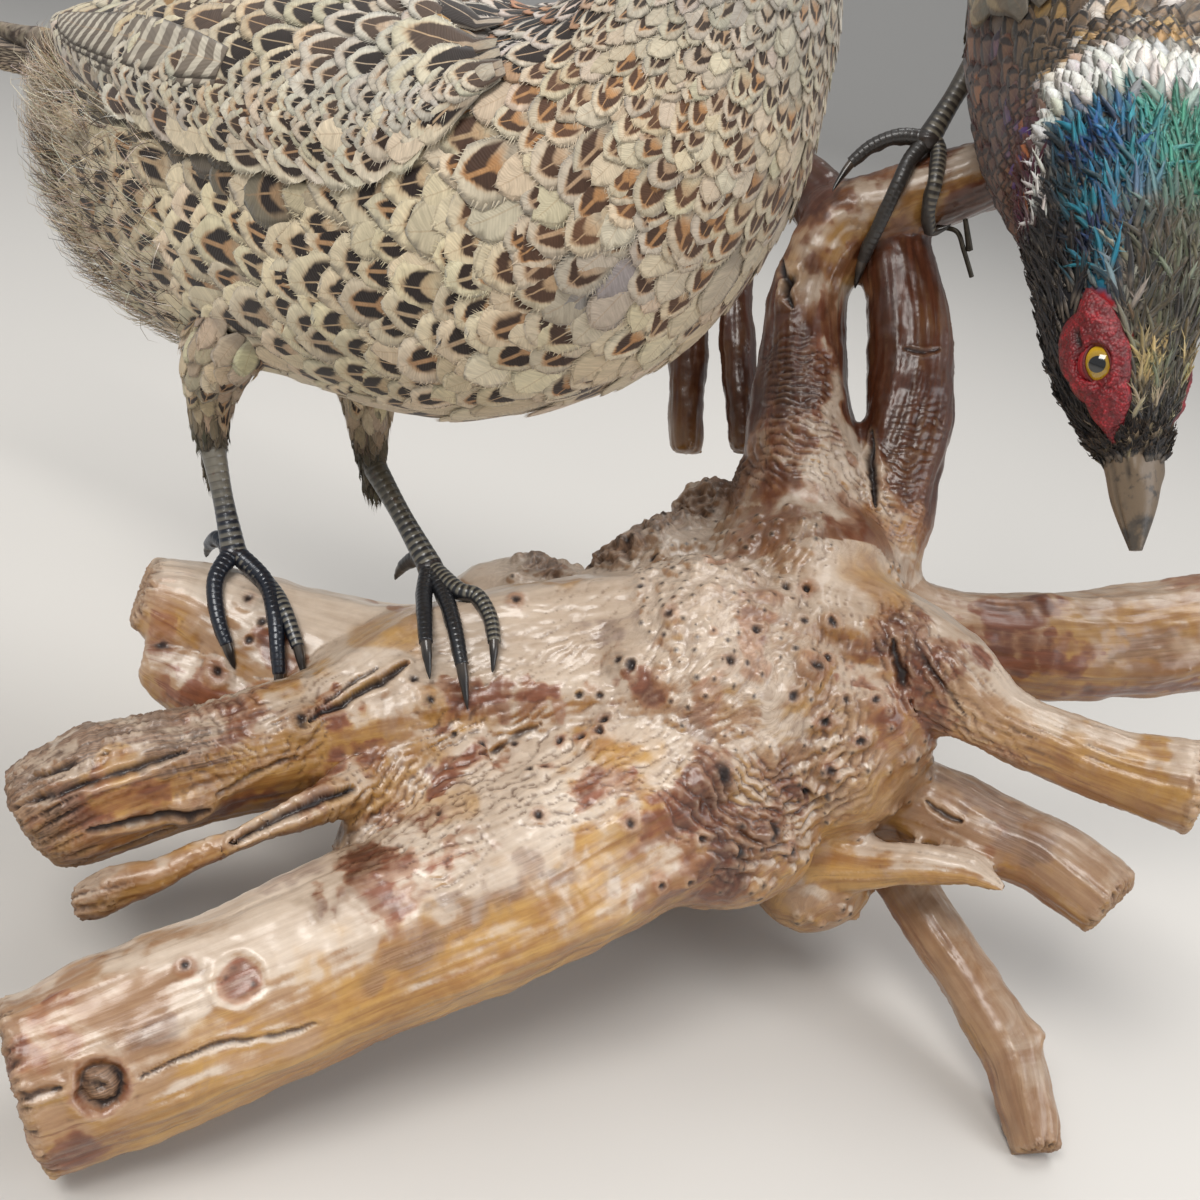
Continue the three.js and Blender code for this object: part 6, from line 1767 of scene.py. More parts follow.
def refined(ob, pick):
    """the all-quad mesh again, with the picked faces cut in four and their neighbours joined on"""
    me = ob.data
    F = np.zeros(len(me.loops), np.int32)
    me.loops.foreach_get("vertex_index", F)
    F = F.reshape(-1, 4)
    co = coords(me)
    nv = len(co)
    pairs = np.sort(np.stack([F, np.roll(F, -1, 1)], -1), -1).reshape(-1, 2)
    key = pairs[:, 0].astype(np.int64) * nv + pairs[:, 1]
    eid = np.full(len(key), -1)
    pk = np.repeat(pick, 4)
    ukey, inv = np.unique(key[pk], return_inverse=True)
    pos = np.searchsorted(ukey, key)
    pos = np.minimum(pos, len(ukey) - 1)
    hit = ukey[pos] == key
    eid[hit] = pos[hit]
    eid = eid.reshape(-1, 4)
    mids = (co[ukey // nv] + co[ukey % nv]) / 2
    cen = co[F[pick]].mean(1)
    new = np.concatenate([co, mids, cen])
    Fp, Ep = F[pick], eid[pick] + nv
    c = nv + len(mids) + np.arange(len(Fp))
    parts = [np.stack([Fp[:, k], Ep[:, k], c, Ep[:, (k + 3) % 4]], -1) for k in range(4)]
    rest, er = F[~pick], eid[~pick]
    plain = rest[(er < 0).all(1)]
    loops = np.concatenate([plain] + parts).reshape(-1, 4)
    ev, ee = rest[(er >= 0).any(1)], er[(er >= 0).any(1)]
    extra = []
    for f, e in zip(ev.tolist(), ee.tolist()):
        poly = []
        for k in range(4):
            poly.append(f[k])
            if e[k] >= 0:
                poly.append(e[k] + nv)
        extra.append(poly)
    lens = np.concatenate([np.full(len(loops), 4), [len(x) for x in extra]]).astype(np.int32)
    flat = np.concatenate([loops.ravel(), np.array([x for p_ in extra for x in p_], np.int64)]).astype(np.int32)
    out = bpy.data.meshes.new(ob.name)
    out.vertices.add(len(new))
    out.vertices.foreach_set("co", new.astype(np.float32).ravel())
    out.loops.add(len(flat))
    out.loops.foreach_set("vertex_index", flat)
    out.polygons.add(len(lens))
    out.polygons.foreach_set("loop_start", np.concatenate([[0], np.cumsum(lens)[:-1]]).astype(np.int32))
    out.update(calc_edges=True)
    out.validate()
    out.polygons.foreach_set("use_smooth", np.ones(len(out.polygons), bool))
    ob.data = out
    return ob


wood = remeshed("driftwood_root", [copy_of("driftwood_mount")], 0.0020)
me = wood.data
E = edges_of(me)
co = coords(me)
flat0 = co.copy()
soft = relax(co, E, 16)
floor_k = smooth(0.004, 0.012, co[:, 2])[:, None]
co = co * (1 - floor_k) + soft * floor_k
# the splinter under the log: a little stouter, and close below it
sp_axis = along(np.array(LIMBS["splinter"], float), np.linspace(0, 1, 60))
dd_ = np.stack([np.linalg.norm(co * 1000 - SHIFT - c_[:3], axis=1) for c_ in sp_axis], 0)
arg_ = np.argmin(dd_, 0)
out_ = co * 1000 - SHIFT - sp_axis[arg_][:, :3]
near_ = smooth(3.4, 1.2, dd_.min(0) - sp_axis[arg_][:, 3])
x_ = arg_ / 59.0
co = co + ((unit(out_) * (2.2 * near_ * smooth(0.92, 0.62, x_) * smooth(0.0, 0.14, x_))[:, None]) + np.array([0.0, 0.6, 4.6]) * (near_ * smooth(0.98, 0.55, x_) * smooth(-0.15, 0.25, x_))[:, None]) / 1000
set_coords(me, co)
tree = bvh_of(me)
# the faces the front view shows are cut finer, for the relief that is seen closest
nq = len(me.polygons)
fc = np.zeros(nq * 3, np.float32)
me.polygons.foreach_get("center", fc)
fc = fc.reshape(-1, 3).astype(float)
fn = np.zeros(nq * 3, np.float32)
me.polygons.foreach_get("normal", fn)
fn = fn.reshape(-1, 3)
view = fc - EYE
deep_ = view @ CAM[2]
sx, sy = 600 + FOCAL * (view @ CAM[0]) / deep_, 600 + FOCAL * (view @ CAM[1]) / deep_
seen = (np.sum(view * fn, 1) < 0.02 * deep_) & (sx > -30) & (sx < 1230) & (sy > -30) & (sy < 1230)
for i in np.nonzero(seen)[0]:
    h = tree.ray_cast(Vector(EYE), Vector(unit(view[i])))
    if h[0] is not None and h[3] < np.linalg.norm(view[i]) - 0.006:
        seen[i] = False
wood = refined(wood, seen)
me = wood.data
print("wood vertices", len(me.vertices), "faces cut", int(seen.sum()))
E = edges_of(me)
co = coords(me)
flat0 = np.where(co[:, 2:3] < 0.004, co, 1.0)
nrm = normals(me)
p = co * 1000 - SHIFT
g1, g2, d1, d2, db, which = limb_coords(p)
names = list(LIMBS)
burl = smooth(9, -7, db - np.minimum(d1, 4))
join = smooth(26, 6, d2 - d1) * (1 - 0.5 * burl)
ridge = lambda x: 1 - np.abs(2 * x - 1)
of = lambda *nm: np.isin(which, [names.index(x) for x in nm]) * 1.0
# the grain of the burl runs from the front limb up to the high one, and wanders
B1 = unit(np.array([0.62, 0.50, 0.60]))
B2 = unit(np.cross(B1, [0.2, -0.9, 0.4]))
B3 = np.cross(B1, B2)
wander = (fbm(p / 24.0, 7) - 0.5)
g3 = np.stack([p @ B1 + 16 * (fbm(p / 20.0, 81) - 0.5), p @ B2 + 34 * wander, p @ B3 + 34 * (fbm(p / 24.0, 82) - 0.5)], -1)

# places seen from the front: (x, y on the view) with a spread in mm
def wood_hit(px, py):
    hit = tree.ray_cast(Vector(EYE), Vector(ray(px, py)))
    return (np.array(hit[0]) * 1000 - SHIFT, np.array(hit[1])) if hit[0] is not None else (None, None)


swim = np.stack([fbm(p / 15.0, 141 + 7 * i_) - 0.5 for i_ in range(3)], -1)
swim2 = np.stack([fbm(p / 5.0, 171 + 7 * i_) - 0.5 for i_ in range(3)], -1)


def spot(px, py, r, edge=0.8):
    """a patch with a wandering edge about the place seen at (px, py)"""
    c, _ = wood_hit(px, py)
    if c is None:
        return np.zeros(len(p))
    i0 = int(np.argmin(np.sum((p - c) ** 2, 1)))
    q = p - c + swim * (2.0 * r + 6) + swim2 * (0.8 * r + 2)
    d2_ = np.sum(q ** 2, 1)
    # on a limb it runs with the grain
    al = np.minimum((g1[:, 0] - g1[i0, 0] + swim[:, 0] * (2.0 * r + 6)) ** 2, d2_) * ((which == which[i0]) & (burl < 0.5))
    d = np.sqrt(al / (1.9 * r) ** 2 + (d2_ - al) / (0.85 * r) ** 2)
    return np.exp(-(d ** (2 / edge)))


def spots(*items):
    return np.max([spot(*i) for i in items], axis=0)


# slow swellings, then folds across the grain near the forks, then fine ridges along the grain
low = (fbm(p / 34.0, 1) - 0.5) * 4.0 + (fbm(p / 14.0, 2) - 0.5) * 2.4
k2 = smooth(10, 0, d2 - d1) * 0.5
warp = wander[:, None] * 2.6
q1 = np.stack([g1[:, 0] / 5.0, g1[:, 1] / 20.0, g1[:, 2] / 20.0], -1)
q2 = np.stack([g2[:, 0] / 5.0, g2[:, 1] / 20.0, g2[:, 2] / 20.0], -1)
folds = ridge(fbm(q1 + warp, 3, 2)) * (1 - k2) + ridge(fbm(q2 + warp, 4, 2)) * k2
# wrinkled places: the web of the fork, the foot of the high limb, the arch, the near side of the burl
wrinkle = spots((400, 820, 26), (350, 800, 18), (450, 850, 20), (520, 790, 22), (330, 700, 12), (600, 820, 18), (215, 700, 14), (160, 690, 12), (800, 450, 20), (790, 400, 14), (905, 500, 18), (740, 820, 26), (800, 780, 20), (690, 790, 16), (880, 640, 12), (460, 720, 12))
wrinkle = np.clip(0.55 * wrinkle + 0.25 * join, 0, 1)
wr = np.clip(0.7 * wrinkle, 0, 1)
# folds of the burl follow its own grain, shallow over the pale crown and deep at the bottom
q3 = np.stack([g3[:, 0] / 22.0, g3[:, 1] / 4.6, g3[:, 2] / 4.6], -1)
flow = ridge(fbm(q3, 13, 2))
deepfold = 0.35 * spots((740, 830, 24), (700, 800, 15), (790, 800, 16), (830, 740, 14))
ql = np.stack([g1[:, 0] / 42.0, g1[:, 1] / 5.0, g1[:, 2] / 9.0], -1)
lines = ridge(fbm(ql, 12, 3))
along_folds = 0.5 * spots((950, 700, 20), (1000, 740, 16), (910, 660, 14), (780, 300, 10))
disp = low + (folds - 0.6) * 2.2 * np.maximum(wrinkle - 0.4 * burl, 0) + (flow - 0.6) * burl * (0.9 + 3.4 * deepfold) + (lines - 0.6) * (1.2 + 4.0 * along_folds) * (1 - burl) * (1 - wrinkle * 0.6)

dark = np.zeros(len(co))
red = np.zeros(len(co))
rough = np.zeros(len(co))
pale = np.zeros(len(co))
valley = np.zeros(len(co))


def wrinkles(px, py, r, turn, pitch, amp, seed=0, wave=6.5, breaks=0.16):
    """rounded ridges with narrow valleys round a place on the view; turn is the ridges' own direction there, in
    degrees. The valleys are marked for painted shade and the ridge tops for a painted highlight.
    """
    global disp, valley, pale
    c, n_ = wood_hit(px, py)
    if c is None:
        return
    near = np.nonzero(np.abs(p - c).max(1) < 1.9 * r)[0]
    if not len(near):
        return
    q = p[near] - c
    th_ = math.radians(turn)
    A_ = -math.sin(th_) * CAM[0] + math.cos(th_) * CAM[1]
    L_ = math.cos(th_) * CAM[0] + math.sin(th_) * CAM[1]
    x = q @ A_ + wave * 2 * (fbm(p[near] / 13.0, 301 + seed) - 0.5) + 0.30 * wave * 2 * (fbm(p[near] / 6.0, 311 + seed) - 0.5)
    l_ = q @ L_
    hgt = np.abs(np.sin(math.pi * x / pitch)) ** 0.55
    cut_ = smooth(breaks - 0.12, breaks + 0.12, fbm(np.stack([x / (pitch * 1.4), l_ / (pitch * 3.4), 0 * x + seed], -1), 321 + seed, 2))
    d = np.linalg.norm(q + swim[near] * r * 0.9, axis=1) / r
    w = np.exp(-(d ** 4)) * cut_
    disp[near] += amp * w * (hgt - 0.7)
    # the valleys are marked for painted shade, the ridge tops for a painted highlight
    valley[near] = np.maximum(valley[near], w * (1 - hgt) ** 2 * 1.5 * min(1.0, (amp / 1.6) ** 2))
    pale[near] = np.maximum(pale[near], 0.45 * w * smooth(0.85, 1.0, hgt))


# the crotch of log and front limb, fanned round it
for px, py, r, turn, pitch, amp in ((345, 815, 17, -62, 3.4, 1.2), (385, 800, 17, -48, 3.4, 1.3), (425, 820, 18, -34, 3.5, 1.3), (380, 850, 15, -30, 3.2, 1.1), (465, 800, 18, -26, 3.6, 1.2), (505, 790, 17, -20, 3.8, 1.1), (450, 850, 15, -15, 3.4, 1.0), (545, 800, 17, -14, 3.8, 1.0),
                                    (590, 800, 16, -12, 3.8, 0.9), (440, 740, 16, -30, 4.2, 0.9), (490, 700, 18, -24, 4.5, 0.7), (540, 745, 15, -30, 3.8, 0.9), (590, 760, 14, -20, 3.6, 0.9),
                                    # the log by the stub, arching over it
                                    (205, 705, 13, 62, 3.2, 1.3), (180, 735, 13, 74, 3.2, 1.2), (235, 735, 13, 55, 3.2, 1.1), (150, 715, 12, 82, 3.4, 1.2), (120, 735, 11, 90, 3.4, 1.0), (255, 695, 10, 40, 3.0, 1.0), (215, 765, 11, 68, 3.2, 0.9), (300, 735, 12, -50, 3.4, 1.0),
                                    (330, 690, 12, -38, 3.8, 0.9), (90, 745, 12, 100, 4.0, 0.9),
                                    # dark folds low on the burl
                                    (700, 800, 17, 42, 4.6, 2.2), (735, 825, 17, 30, 4.8, 2.4), (775, 835, 17, 8, 4.8, 2.2), (810, 815, 17, -24, 4.6, 2.2), (835, 780, 15, -52, 4.4, 2.0), (745, 785, 14, 34, 4.2, 1.7), (780, 795, 14, 0, 4.2, 1.7), (845, 740, 14, -66, 4.2, 1.6),
                                    # across the foot of the high limb and the arch
                                    (800, 395, 17, 4, 3.6, 1.4), (805, 440, 17, 8, 3.6, 1.5), (790, 360, 14, -6, 3.6, 1.1), (845, 480, 15, 60, 3.8, 1.1), (870, 500, 15, 66, 3.6, 1.1), (905, 470, 15, 10, 3.0, 0.9), (900, 515, 14, 22, 3.0, 0.9), (925, 430, 13, 6, 3.4, 0.8), (760, 470, 14, 50, 4.2, 0.9),
                                    # streaming over the burl
                                    (640, 560, 24, -38, 3.4, 0.55), (590, 610, 22, -30, 3.4, 0.5), (690, 640, 22, -44, 3.4, 0.5), (740, 600, 22, -52, 3.4, 0.55), (650, 690, 20, -36, 3.6, 0.6), (720, 700, 22, -42, 3.6, 0.5), (780, 650, 22, -56, 3.4, 0.5), (790, 560, 20, -62, 3.6, 0.7), (830, 620, 18, -70, 3.4, 0.6),
                                    (560, 660, 20, -26, 3.6, 0.5), (700, 740, 18, -30, 3.8, 0.8), (770, 730, 18, -50, 3.6, 0.6), (640, 760, 15, -20, 3.6, 0.8), (830, 690, 16, -66, 3.6, 0.7), (500, 650, 20, -22, 4.0, 0.4), (420, 660, 18, -24, 4.2, 0.4),
                                    # along the twisted root at the right
                                    (905, 650, 13, 62, 4.0, 1.4), (925, 690, 13, 52, 3.8, 1.4), (960, 715, 12, 38, 3.8, 1.0), (900, 620, 12, 66, 4.0, 1.0), (940, 655, 12, 52, 4.0, 0.9), (1005, 745, 12, 28, 4.0, 0.5)):
    wrinkles(px, py, r, turn, pitch, amp, seed=int(px + py) % 97)
# knots where twigs once grew: (x, y on the view, radius mm, height mm)
KNOTS = [(165, 648, 8, 3.4), (218, 672, 6.5, 4.0), (191, 806, 8.0, 5.5),  (300, 720, 6.5, 3.5), (718, 775, 9, 4.5), (538, 818, 4.5, 2.6), (630, 824, 4.2, 2.4), (440, 818, 3.4, 1.8),
         (185, 965, 3.2, 1.6), (580, 695, 4, 2.6), (601, 695, 3.6, 2.4), (606, 722, 5.5, 3.2), (582, 740, 4, 2.4), (600, 735, 4.4, 2.6), (560, 742, 4, 2.4), (530, 772, 3.6, 2.2), (545, 768, 3.4, 2.0), (515, 745, 3.4, 2.0), (620, 662, 5.5, 3.4), (634, 668, 5, 3.4),
         (728, 663, 5.5, 2.8), (812, 668, 6.5, 4.2), (792, 695, 4.2, 3.0), (755, 632, 4, 2.6), (785, 590, 5, 3.0), (806, 592, 5, 3.0), (770, 598, 4, 2.4), (832, 622, 4, 2.6), (803, 622, 3.6, 2.4), (826, 660, 4.0, 2.4), (846, 700, 4.0, 2.8), (825, 722, 4.4, 3.0),
         (430, 700, 5.5, 2.2), (415, 680, 4, 2.2), (672, 618, 4.6, 2.8), (640, 590, 4.4, 2.8), (655, 560, 4.8, 2.8), (630, 545, 4.5, 2.8), (516, 600, 3.8, 1.6), (830, 770, 4.4, 3.2), (805, 790, 4.4, 3.2), (770, 830, 5.0, 3.6), (735, 850, 4.6, 3.6), (700, 838, 4.2, 3.2), (790, 850, 4, 3.0),
         (248, 600, 5.5, 1.6), (262, 622, 4.5, 1.8), (250, 640, 4, 1.8), (378, 683, 3.6, 1.8), (875, 700, 4, 3), (860, 740, 4, 3), (480, 745, 3.2, 1.6), (455, 735, 3.2, 1.6), (660, 885, 3.4, 2.4), (688, 880, 3, 2.2)]
for px, py, r, h in KNOTS:
    c, n_ = wood_hit(px, py)
    if c is None:
        continue
    rel = p - c
    near = np.nonzero(np.abs(rel).max(1) < 3.4 * r)[0]
    q = rel[near]
    # not quite round
    tw = rng.normal(0, 1, 3)
    q = q + 0.25 * (q @ unit(tw))[:, None] * unit(tw)
    d = np.linalg.norm(q, axis=1) / r + (fbm(p[near] / (0.55 * r), 91) - 0.5) * 0.5
    hole = 0.36 if r > 5 else 0.42
    disp[near] += h * np.exp(-(d ** 2)) - (0.95 if r < 7 else 0.35) * h * np.exp(-((d / hole) ** 2)) + 0.09 * h * np.sin(d * 9) * np.exp(-(d ** 2) / 1.6) * (r > 5)
    dark[near] = np.maximum(dark[near], 1.0 * np.exp(-((d / (hole * 1.0)) ** 4)))
    red[near] = np.maximum(red[near], 0.7 * np.exp(-((d / 1.25) ** 2)) * rng.uniform(0.3, 1))
    pale[near] = np.maximum(pale[near], 0.10 * np.exp(-(((d - 0.75) / 0.25) ** 2)))
    rough[near] = np.maximum(rough[near], np.exp(-((d / 0.9) ** 4)) * (0.9 if r > 5 else 0.4))
barked = np.zeros(len(co))
# a healed scar: a ring, its disc and a few small holes in it; and a hollow with a rough plug
for px, py, r, plug in ((240, 980, 8.5, 0), (100, 1086, 6.4, 1), (789, 286, 5.0, 2)):
    c, n_ = wood_hit(px, py)
    if c is None:
        continue
    near = np.nonzero(np.abs(p - c).max(1) < 2.6 * r)[0]
    q = p[near] - c
    if plug == 2:
        q = q * np.array([1.5, 1.5, 0.5])
    d = np.linalg.norm(q, axis=1) / r + (fbm(p[near] / 4.0, 95) - 0.5) * (0.25 if plug == 0 else 0.6)
    if plug == 1:
        rag_ = ridge(fbm(p[near] / 3.0, 96, 3))
        disp[near] += -2.8 * np.exp(-(((d - 0.85) / 0.26) ** 2)) + (rag_ - 0.5) * 3.0 * smooth(0.85, 0.7, d) + 0.8 * np.exp(-(((d - 1.3) / 0.3) ** 2))
        dark[near] = np.maximum(dark[near], np.exp(-(((d - 0.86) / 0.17) ** 2)) * 0.85 * smooth(0.35, 0.6, fbm(p[near] / 6.0, 97)) + smooth(0.8, 0.6, d) * smooth(0.75, 0.45, rag_) * 0.8)
        rough[near] = np.maximum(rough[near], smooth(1.05, 0.85, d))
        red[near] = np.maximum(red[near], 0.65 * np.exp(-(((d - 1.15) / 0.35) ** 2)))
        barked[near] = np.maximum(barked[near], smooth(1.0, 0.85, d))
    elif plug == 2:
        disp[near] += -2.6 * np.exp(-((d / 0.55) ** 2)) + 1.2 * np.exp(-(((d - 1.1) / 0.4) ** 2))
        dark[near] = np.maximum(dark[near], np.exp(-((d / 0.62) ** 4)))
    else:
        disp[near] += 0.8 * np.exp(-(((d - 1.0) / 0.22) ** 2)) - 0.5 * np.exp(-((d / 0.8) ** 4))
        red[near] = np.maximum(red[near], 0.8 * np.exp(-((d / 0.8) ** 6)))
        for ang in np.linspace(0.3, 5.2, 6):
            e_ = q - r * 0.5 * (math.cos(ang) * CAM[0] + math.sin(ang) * CAM[1])
            de = np.linalg.norm(e_, axis=1)
            disp[near] += 0.5 * np.exp(-((de / 1.6) ** 2))
            dark[near] = np.maximum(dark[near], np.exp(-((de / 1.15) ** 4)))
# small pimples all over the burl, thickest near its crest
cand = rng.permutation(np.nonzero((burl > 0.5) & (nrm[:, 2] > -0.35))[0])
crest, _ = wood_hit(672, 575)
placed = []
stain_ = np.zeros(len(co))
for i in cand[:9000]:
    if len(placed) > 290:
        break
    dd = np.linalg.norm(p[i] - crest)
    if rng.random() > 0.05 + 0.9 * math.exp(-(dd / 34) ** 2) + 0.16 * (fbm(p[i:i + 1] / 18.0, 31)[0] > 0.56):
        continue
    if placed and np.min(np.linalg.norm(np.array(placed) - p[i], axis=1)) < 4.3:
        continue
    placed.append(p[i])
    r = rng.uniform(1.5, 2.3) * (1.3 if rng.random() < 0.2 else 1)
    near = np.nonzero(np.abs(p - p[i]).max(1) < 3.2 * r)[0]
    d = np.linalg.norm(p[near] - p[i], axis=1) / r
    disp[near] += 1.05 * r * np.exp(-(d ** 2)) - 0.40 * r * np.exp(-((d / 0.36) ** 2))
    dark[near] = np.maximum(dark[near], (0.95 if rng.random() < 0.75 else 0.4) * np.exp(-((d / 0.46) ** 4)))
    stain_[near] = np.maximum(stain_[near], 0.42 * np.exp(-((d / 1.25) ** 2)) * rng.uniform(0, 1) ** 2)
    # a paler dome round the crater: painted highlight
    pale[near] = np.maximum(pale[near], 0.30 * np.exp(-((d / 1.1) ** 2)))
print("pimples", len(placed))


def groove(points, width, deep, crack_shade=0.95, lip=0.3):
    """a crack through points on the view: it narrows to its ends and wanders with the grain. Its inside is painted dark
    as the shade in the crack.
    """
    global disp, dark
    run = [wood_hit(*q)[0] for q in points]
    run = np.array([q for q in run if q is not None])
    if len(run) < 2:
        return
    x = np.linspace(0, 1, 90)
    c = along(run, x)
    c = c + (np.stack([fbm(c / 7.0, 43 + k) for k in range(3)], -1) - 0.5) * 2.6
    w = width * (0.25 + 0.95 * np.sin(np.pi * np.clip(x, 0.04, 0.96)) ** 0.6) * (0.6 + 0.8 * fbm(c / 9.0, 47))
    lo, hi = c.min(0) - 8, c.max(0) + 8
    near = np.nonzero(((p > lo) & (p < hi)).all(1))[0]
    d = np.full(len(near), 1e9)
    for k in range(len(x)):
        d = np.minimum(d, np.linalg.norm(p[near] - c[k], axis=1) / w[k])
    disp[near] += -deep * np.exp(-(d ** 2)) + lip * deep * np.exp(-(((d - 2.0) / 0.9) ** 2))
    # the inside of the crack is painted dark: painted shade
    dark[near] = np.maximum(dark[near], crack_shade * np.exp(-((d / 1.05) ** 4)))


groove([(308, 722), (350, 698), (385, 680), (408, 664)], 1.3, 2.8)
groove([(316, 712), (350, 684), (380, 668)], 0.8, 1.3, 0.8)
groove([(20, 808), (70, 790), (130, 768), (185, 752)], 1.3, 2.6, 0.85)
groove([(15, 795), (50, 775), (110, 752)], 1.0, 1.8, 0.7)
groove([(30, 845), (90, 828), (170, 812), (205, 804)], 1.4, 2.4)
groove([(45, 862), (110, 848), (175, 826)], 1.0, 1.8, 0.8)
groove([(20, 870), (40, 862), (80, 858)], 1.2, 2.0)
groove([(230, 842), (280, 815), (320, 800), (352, 790)], 1.6, 3.2)
groove([(215, 795), (260, 772), (300, 757)], 0.8, 1.0, 0.5)
groove([(783, 262), (787, 285), (793, 306)], 1.2, 2.0)
groove([(140, 1076), (200, 1050), (270, 1036), (330, 1022)], 0.8, 0.9, 0.7)
groove([(22, 1098), (60, 1088)], 1.0, 1.4, 0.9)
groove([(120, 930), (160, 915), (215, 905)], 0.6, 0.5, 0.3)
groove([(872, 430), (872, 470), (876, 505)], 1.4, 3.0)
groove([(893, 640), (900, 675), (915, 712)], 1.2, 2.4, 0.75)
groove([(908, 625), (930, 670), (965, 712)], 0.8, 1.3, 0.5)
groove([(925, 800), (945, 815), (960, 822)], 1.0, 1.6, 0.8)
groove([(480, 756), (500, 748), (540, 722)], 1.0, 1.4, 0.6)
groove([(905, 348), (922, 352), (940, 350)], 0.8, 1.2, 0.5)

# weathered bark at the far edge of the burl
edge_pts = [wood_hit(x, y)[0] for x, y in ((470, 562), (500, 560), (540, 562), (585, 566), (625, 545), (650, 528), (690, 510), (722, 488), (740, 478))]
edge_pts = np.array([q for q in edge_pts if q is not None])
bark = np.zeros(len(p))
if len(edge_pts) > 2:
    c = along(edge_pts, np.linspace(0, 1, 80))
    d = np.min([np.linalg.norm(p - x, axis=1) for x in c], axis=0)
    bark = smooth(13, 4, d + (fbm(p / 6.0, 51) - 0.5) * 10)
    spikes = ridge(fbm(p / 4.2, 52, 2))
    disp += bark * (spikes - 0.45) * 5.0
    # the low furrows between the spikes are painted darker: painted shade
    dark = np.maximum(dark, bark * 0.85 * smooth(0.7, 0.35, spikes + 0.2))
    rough = np.maximum(rough, bark)
# split, fibrous ends
ends = np.zeros(len(co))
for nm, w in (("log", 26), ("front", 5), ("stub", 4), ("splinter", 10), ("right", 4), ("rightBack", 4), ("cut", 4), ("leg", 4), ("high", 5)):
    pts = np.array(LIMBS[nm], float)
    tip_first = nm in ("log", "front", "stub", "splinter")
    e, f_ = (pts[0], pts[1]) if tip_first else (pts[-1], pts[-2])
    T = unit(e[:3] - f_[:3])
    x = (p - e[:3]) @ T
    near = np.linalg.norm(p - e[:3] + T * 8, axis=1) < e[3] * 1.7 + 14
    k = smooth(-w, -w * 0.25, x + (fbm(p / 9.0, 61) - 0.5) * w * 0.9) * near
    ends = np.maximum(ends, k)
logbark = of("log") * smooth(-20, -62, p[:, 0] + 26 * (fbm(p / 14.0, 63) - 0.5)) * smooth(-0.35, 0.25, nrm[:, 2] - 0.25 * (fbm(p / 10.0, 64) - 0.5) * 4)
logbark = logbark * smooth(0.40, 0.56, fbm(p / 12.0, 68))
ochlog = of("log") * spots((95, 812, 12), (150, 792, 11), (215, 812, 12), (250, 790, 10), (300, 800, 14), (115, 765, 6), (60, 850, 7), (180, 845, 10))
logbark = logbark * 0.8
logbark = np.maximum(logbark, of("log") * spots((60, 800, 14), (110, 740, 16), (90, 735, 12), (150, 720, 12)) * 0.8)
logbark = logbark * (1 - 0.95 * ochlog)
split = ridge(fbm(np.stack([g1[:, 0] / 26.0, g1[:, 1] / 3.0, g1[:, 2] / 4.0], -1), 62, 3))
disp += ends * (split - 0.5) * 3.0 + logbark * (split - 0.55) * 3.2 + logbark * (ridge(fbm(q1 * 1.3, 66, 2)) - 0.6) * 1.2
rough = np.maximum(rough, np.maximum(ends * 0.7, logbark * 0.75))
# darker where the split fibres sink: painted shade between the fibres
dark = np.maximum(dark, np.maximum(ends * 0.5, logbark * 0.75) * smooth(0.70, 0.35, split))

disp *= smooth(2.0, 9.0, p[:, 2])
co = co + nrm * (disp / 1000)[:, None]
co[:, 2] = np.where(flat0[:, 2] < 0.0008, flat0[:, 2], np.maximum(co[:, 2], 0.0006))
set_coords(me, co)
nrm = normals(me)
# the hollows and deep folds are found here and painted darker further on: painted shade, weaker on the burl except in
# its deep folds
lap = relax(co, E, 6) - co
cav = np.sum(lap * nrm, 1) * 1000
wide = relax(co, E, 40) - co
cavw = np.sum(wide * nrm, 1) * 1000
cavity_shade = (1 - 0.5 * burl * (1 - 2.2 * deepfold)) * np.clip(smooth(0.06, 0.34, cav) * 0.75 + smooth(0.4, 2.0, cavw) * 0.6, 0, 1)
crest_m = np.clip(smooth(-0.06, -0.34, cav) * 0.7 + smooth(-0.4, -2.0, cavw) * 0.4, 0, 1)

# colour masks: undersides run to ochre, the high limbs and the joints to red-brown, and tops that face up are painted
# pale as light falling from above (painted top light)
side_k = nrm @ unit(np.array([0.25, -0.55, -0.80]))
under = smooth(-0.15, 0.75, side_k + swim[:, 0] * 0.9)
ochre = under * 0.95 * (1 - 0.35 * burl)
ochre = np.maximum(ochre, spots((370, 790, 16), (400, 760, 14), (300, 790, 18), (180, 850, 16), (250, 760, 16), (330, 740, 14), (150, 800, 10), (1180, 800, 14), (1100, 790, 16), (610, 740, 12), (640, 790, 10), (270, 690, 12), (830, 870, 18), (445, 705, 9), (560, 900, 18), (420, 960, 22)) * 0.9)
ochre = np.maximum(ochre, 0.6 * smooth(0.57, 0.70, fbm(p / 30.0, 73)) * (1 - 0.85 * burl))
ochre = np.maximum(ochre, 0.95 * ochlog)
zed = smooth(150, 200, p[:, 2])
highm = np.maximum(of("high", "behind", "stick", "rightUp"), of("arch")) * zed
foot_ = spots((775, 450, 14), (810, 455, 15), (850, 470, 14), (880, 505, 12), (830, 500, 18), (905, 520, 12), (790, 425, 8))
highm = highm * (1 - 0.85 * foot_)
redm = np.clip(red, 0, 1)
redm = np.maximum(redm, 0.9 * spots((20, 1120, 16), (60, 1160, 14), (12, 1060, 9), (215, 690, 10), (195, 700, 12), (250, 720, 12), (60, 820, 9), (150, 790, 7), (240, 800, 8), (330, 780, 9), (465, 770, 9), (1060, 700, 9), (1150, 690, 9), (1010, 665, 8), (975, 655, 7), (990, 640, 8), (890, 735, 9), (1090, 690, 8)))
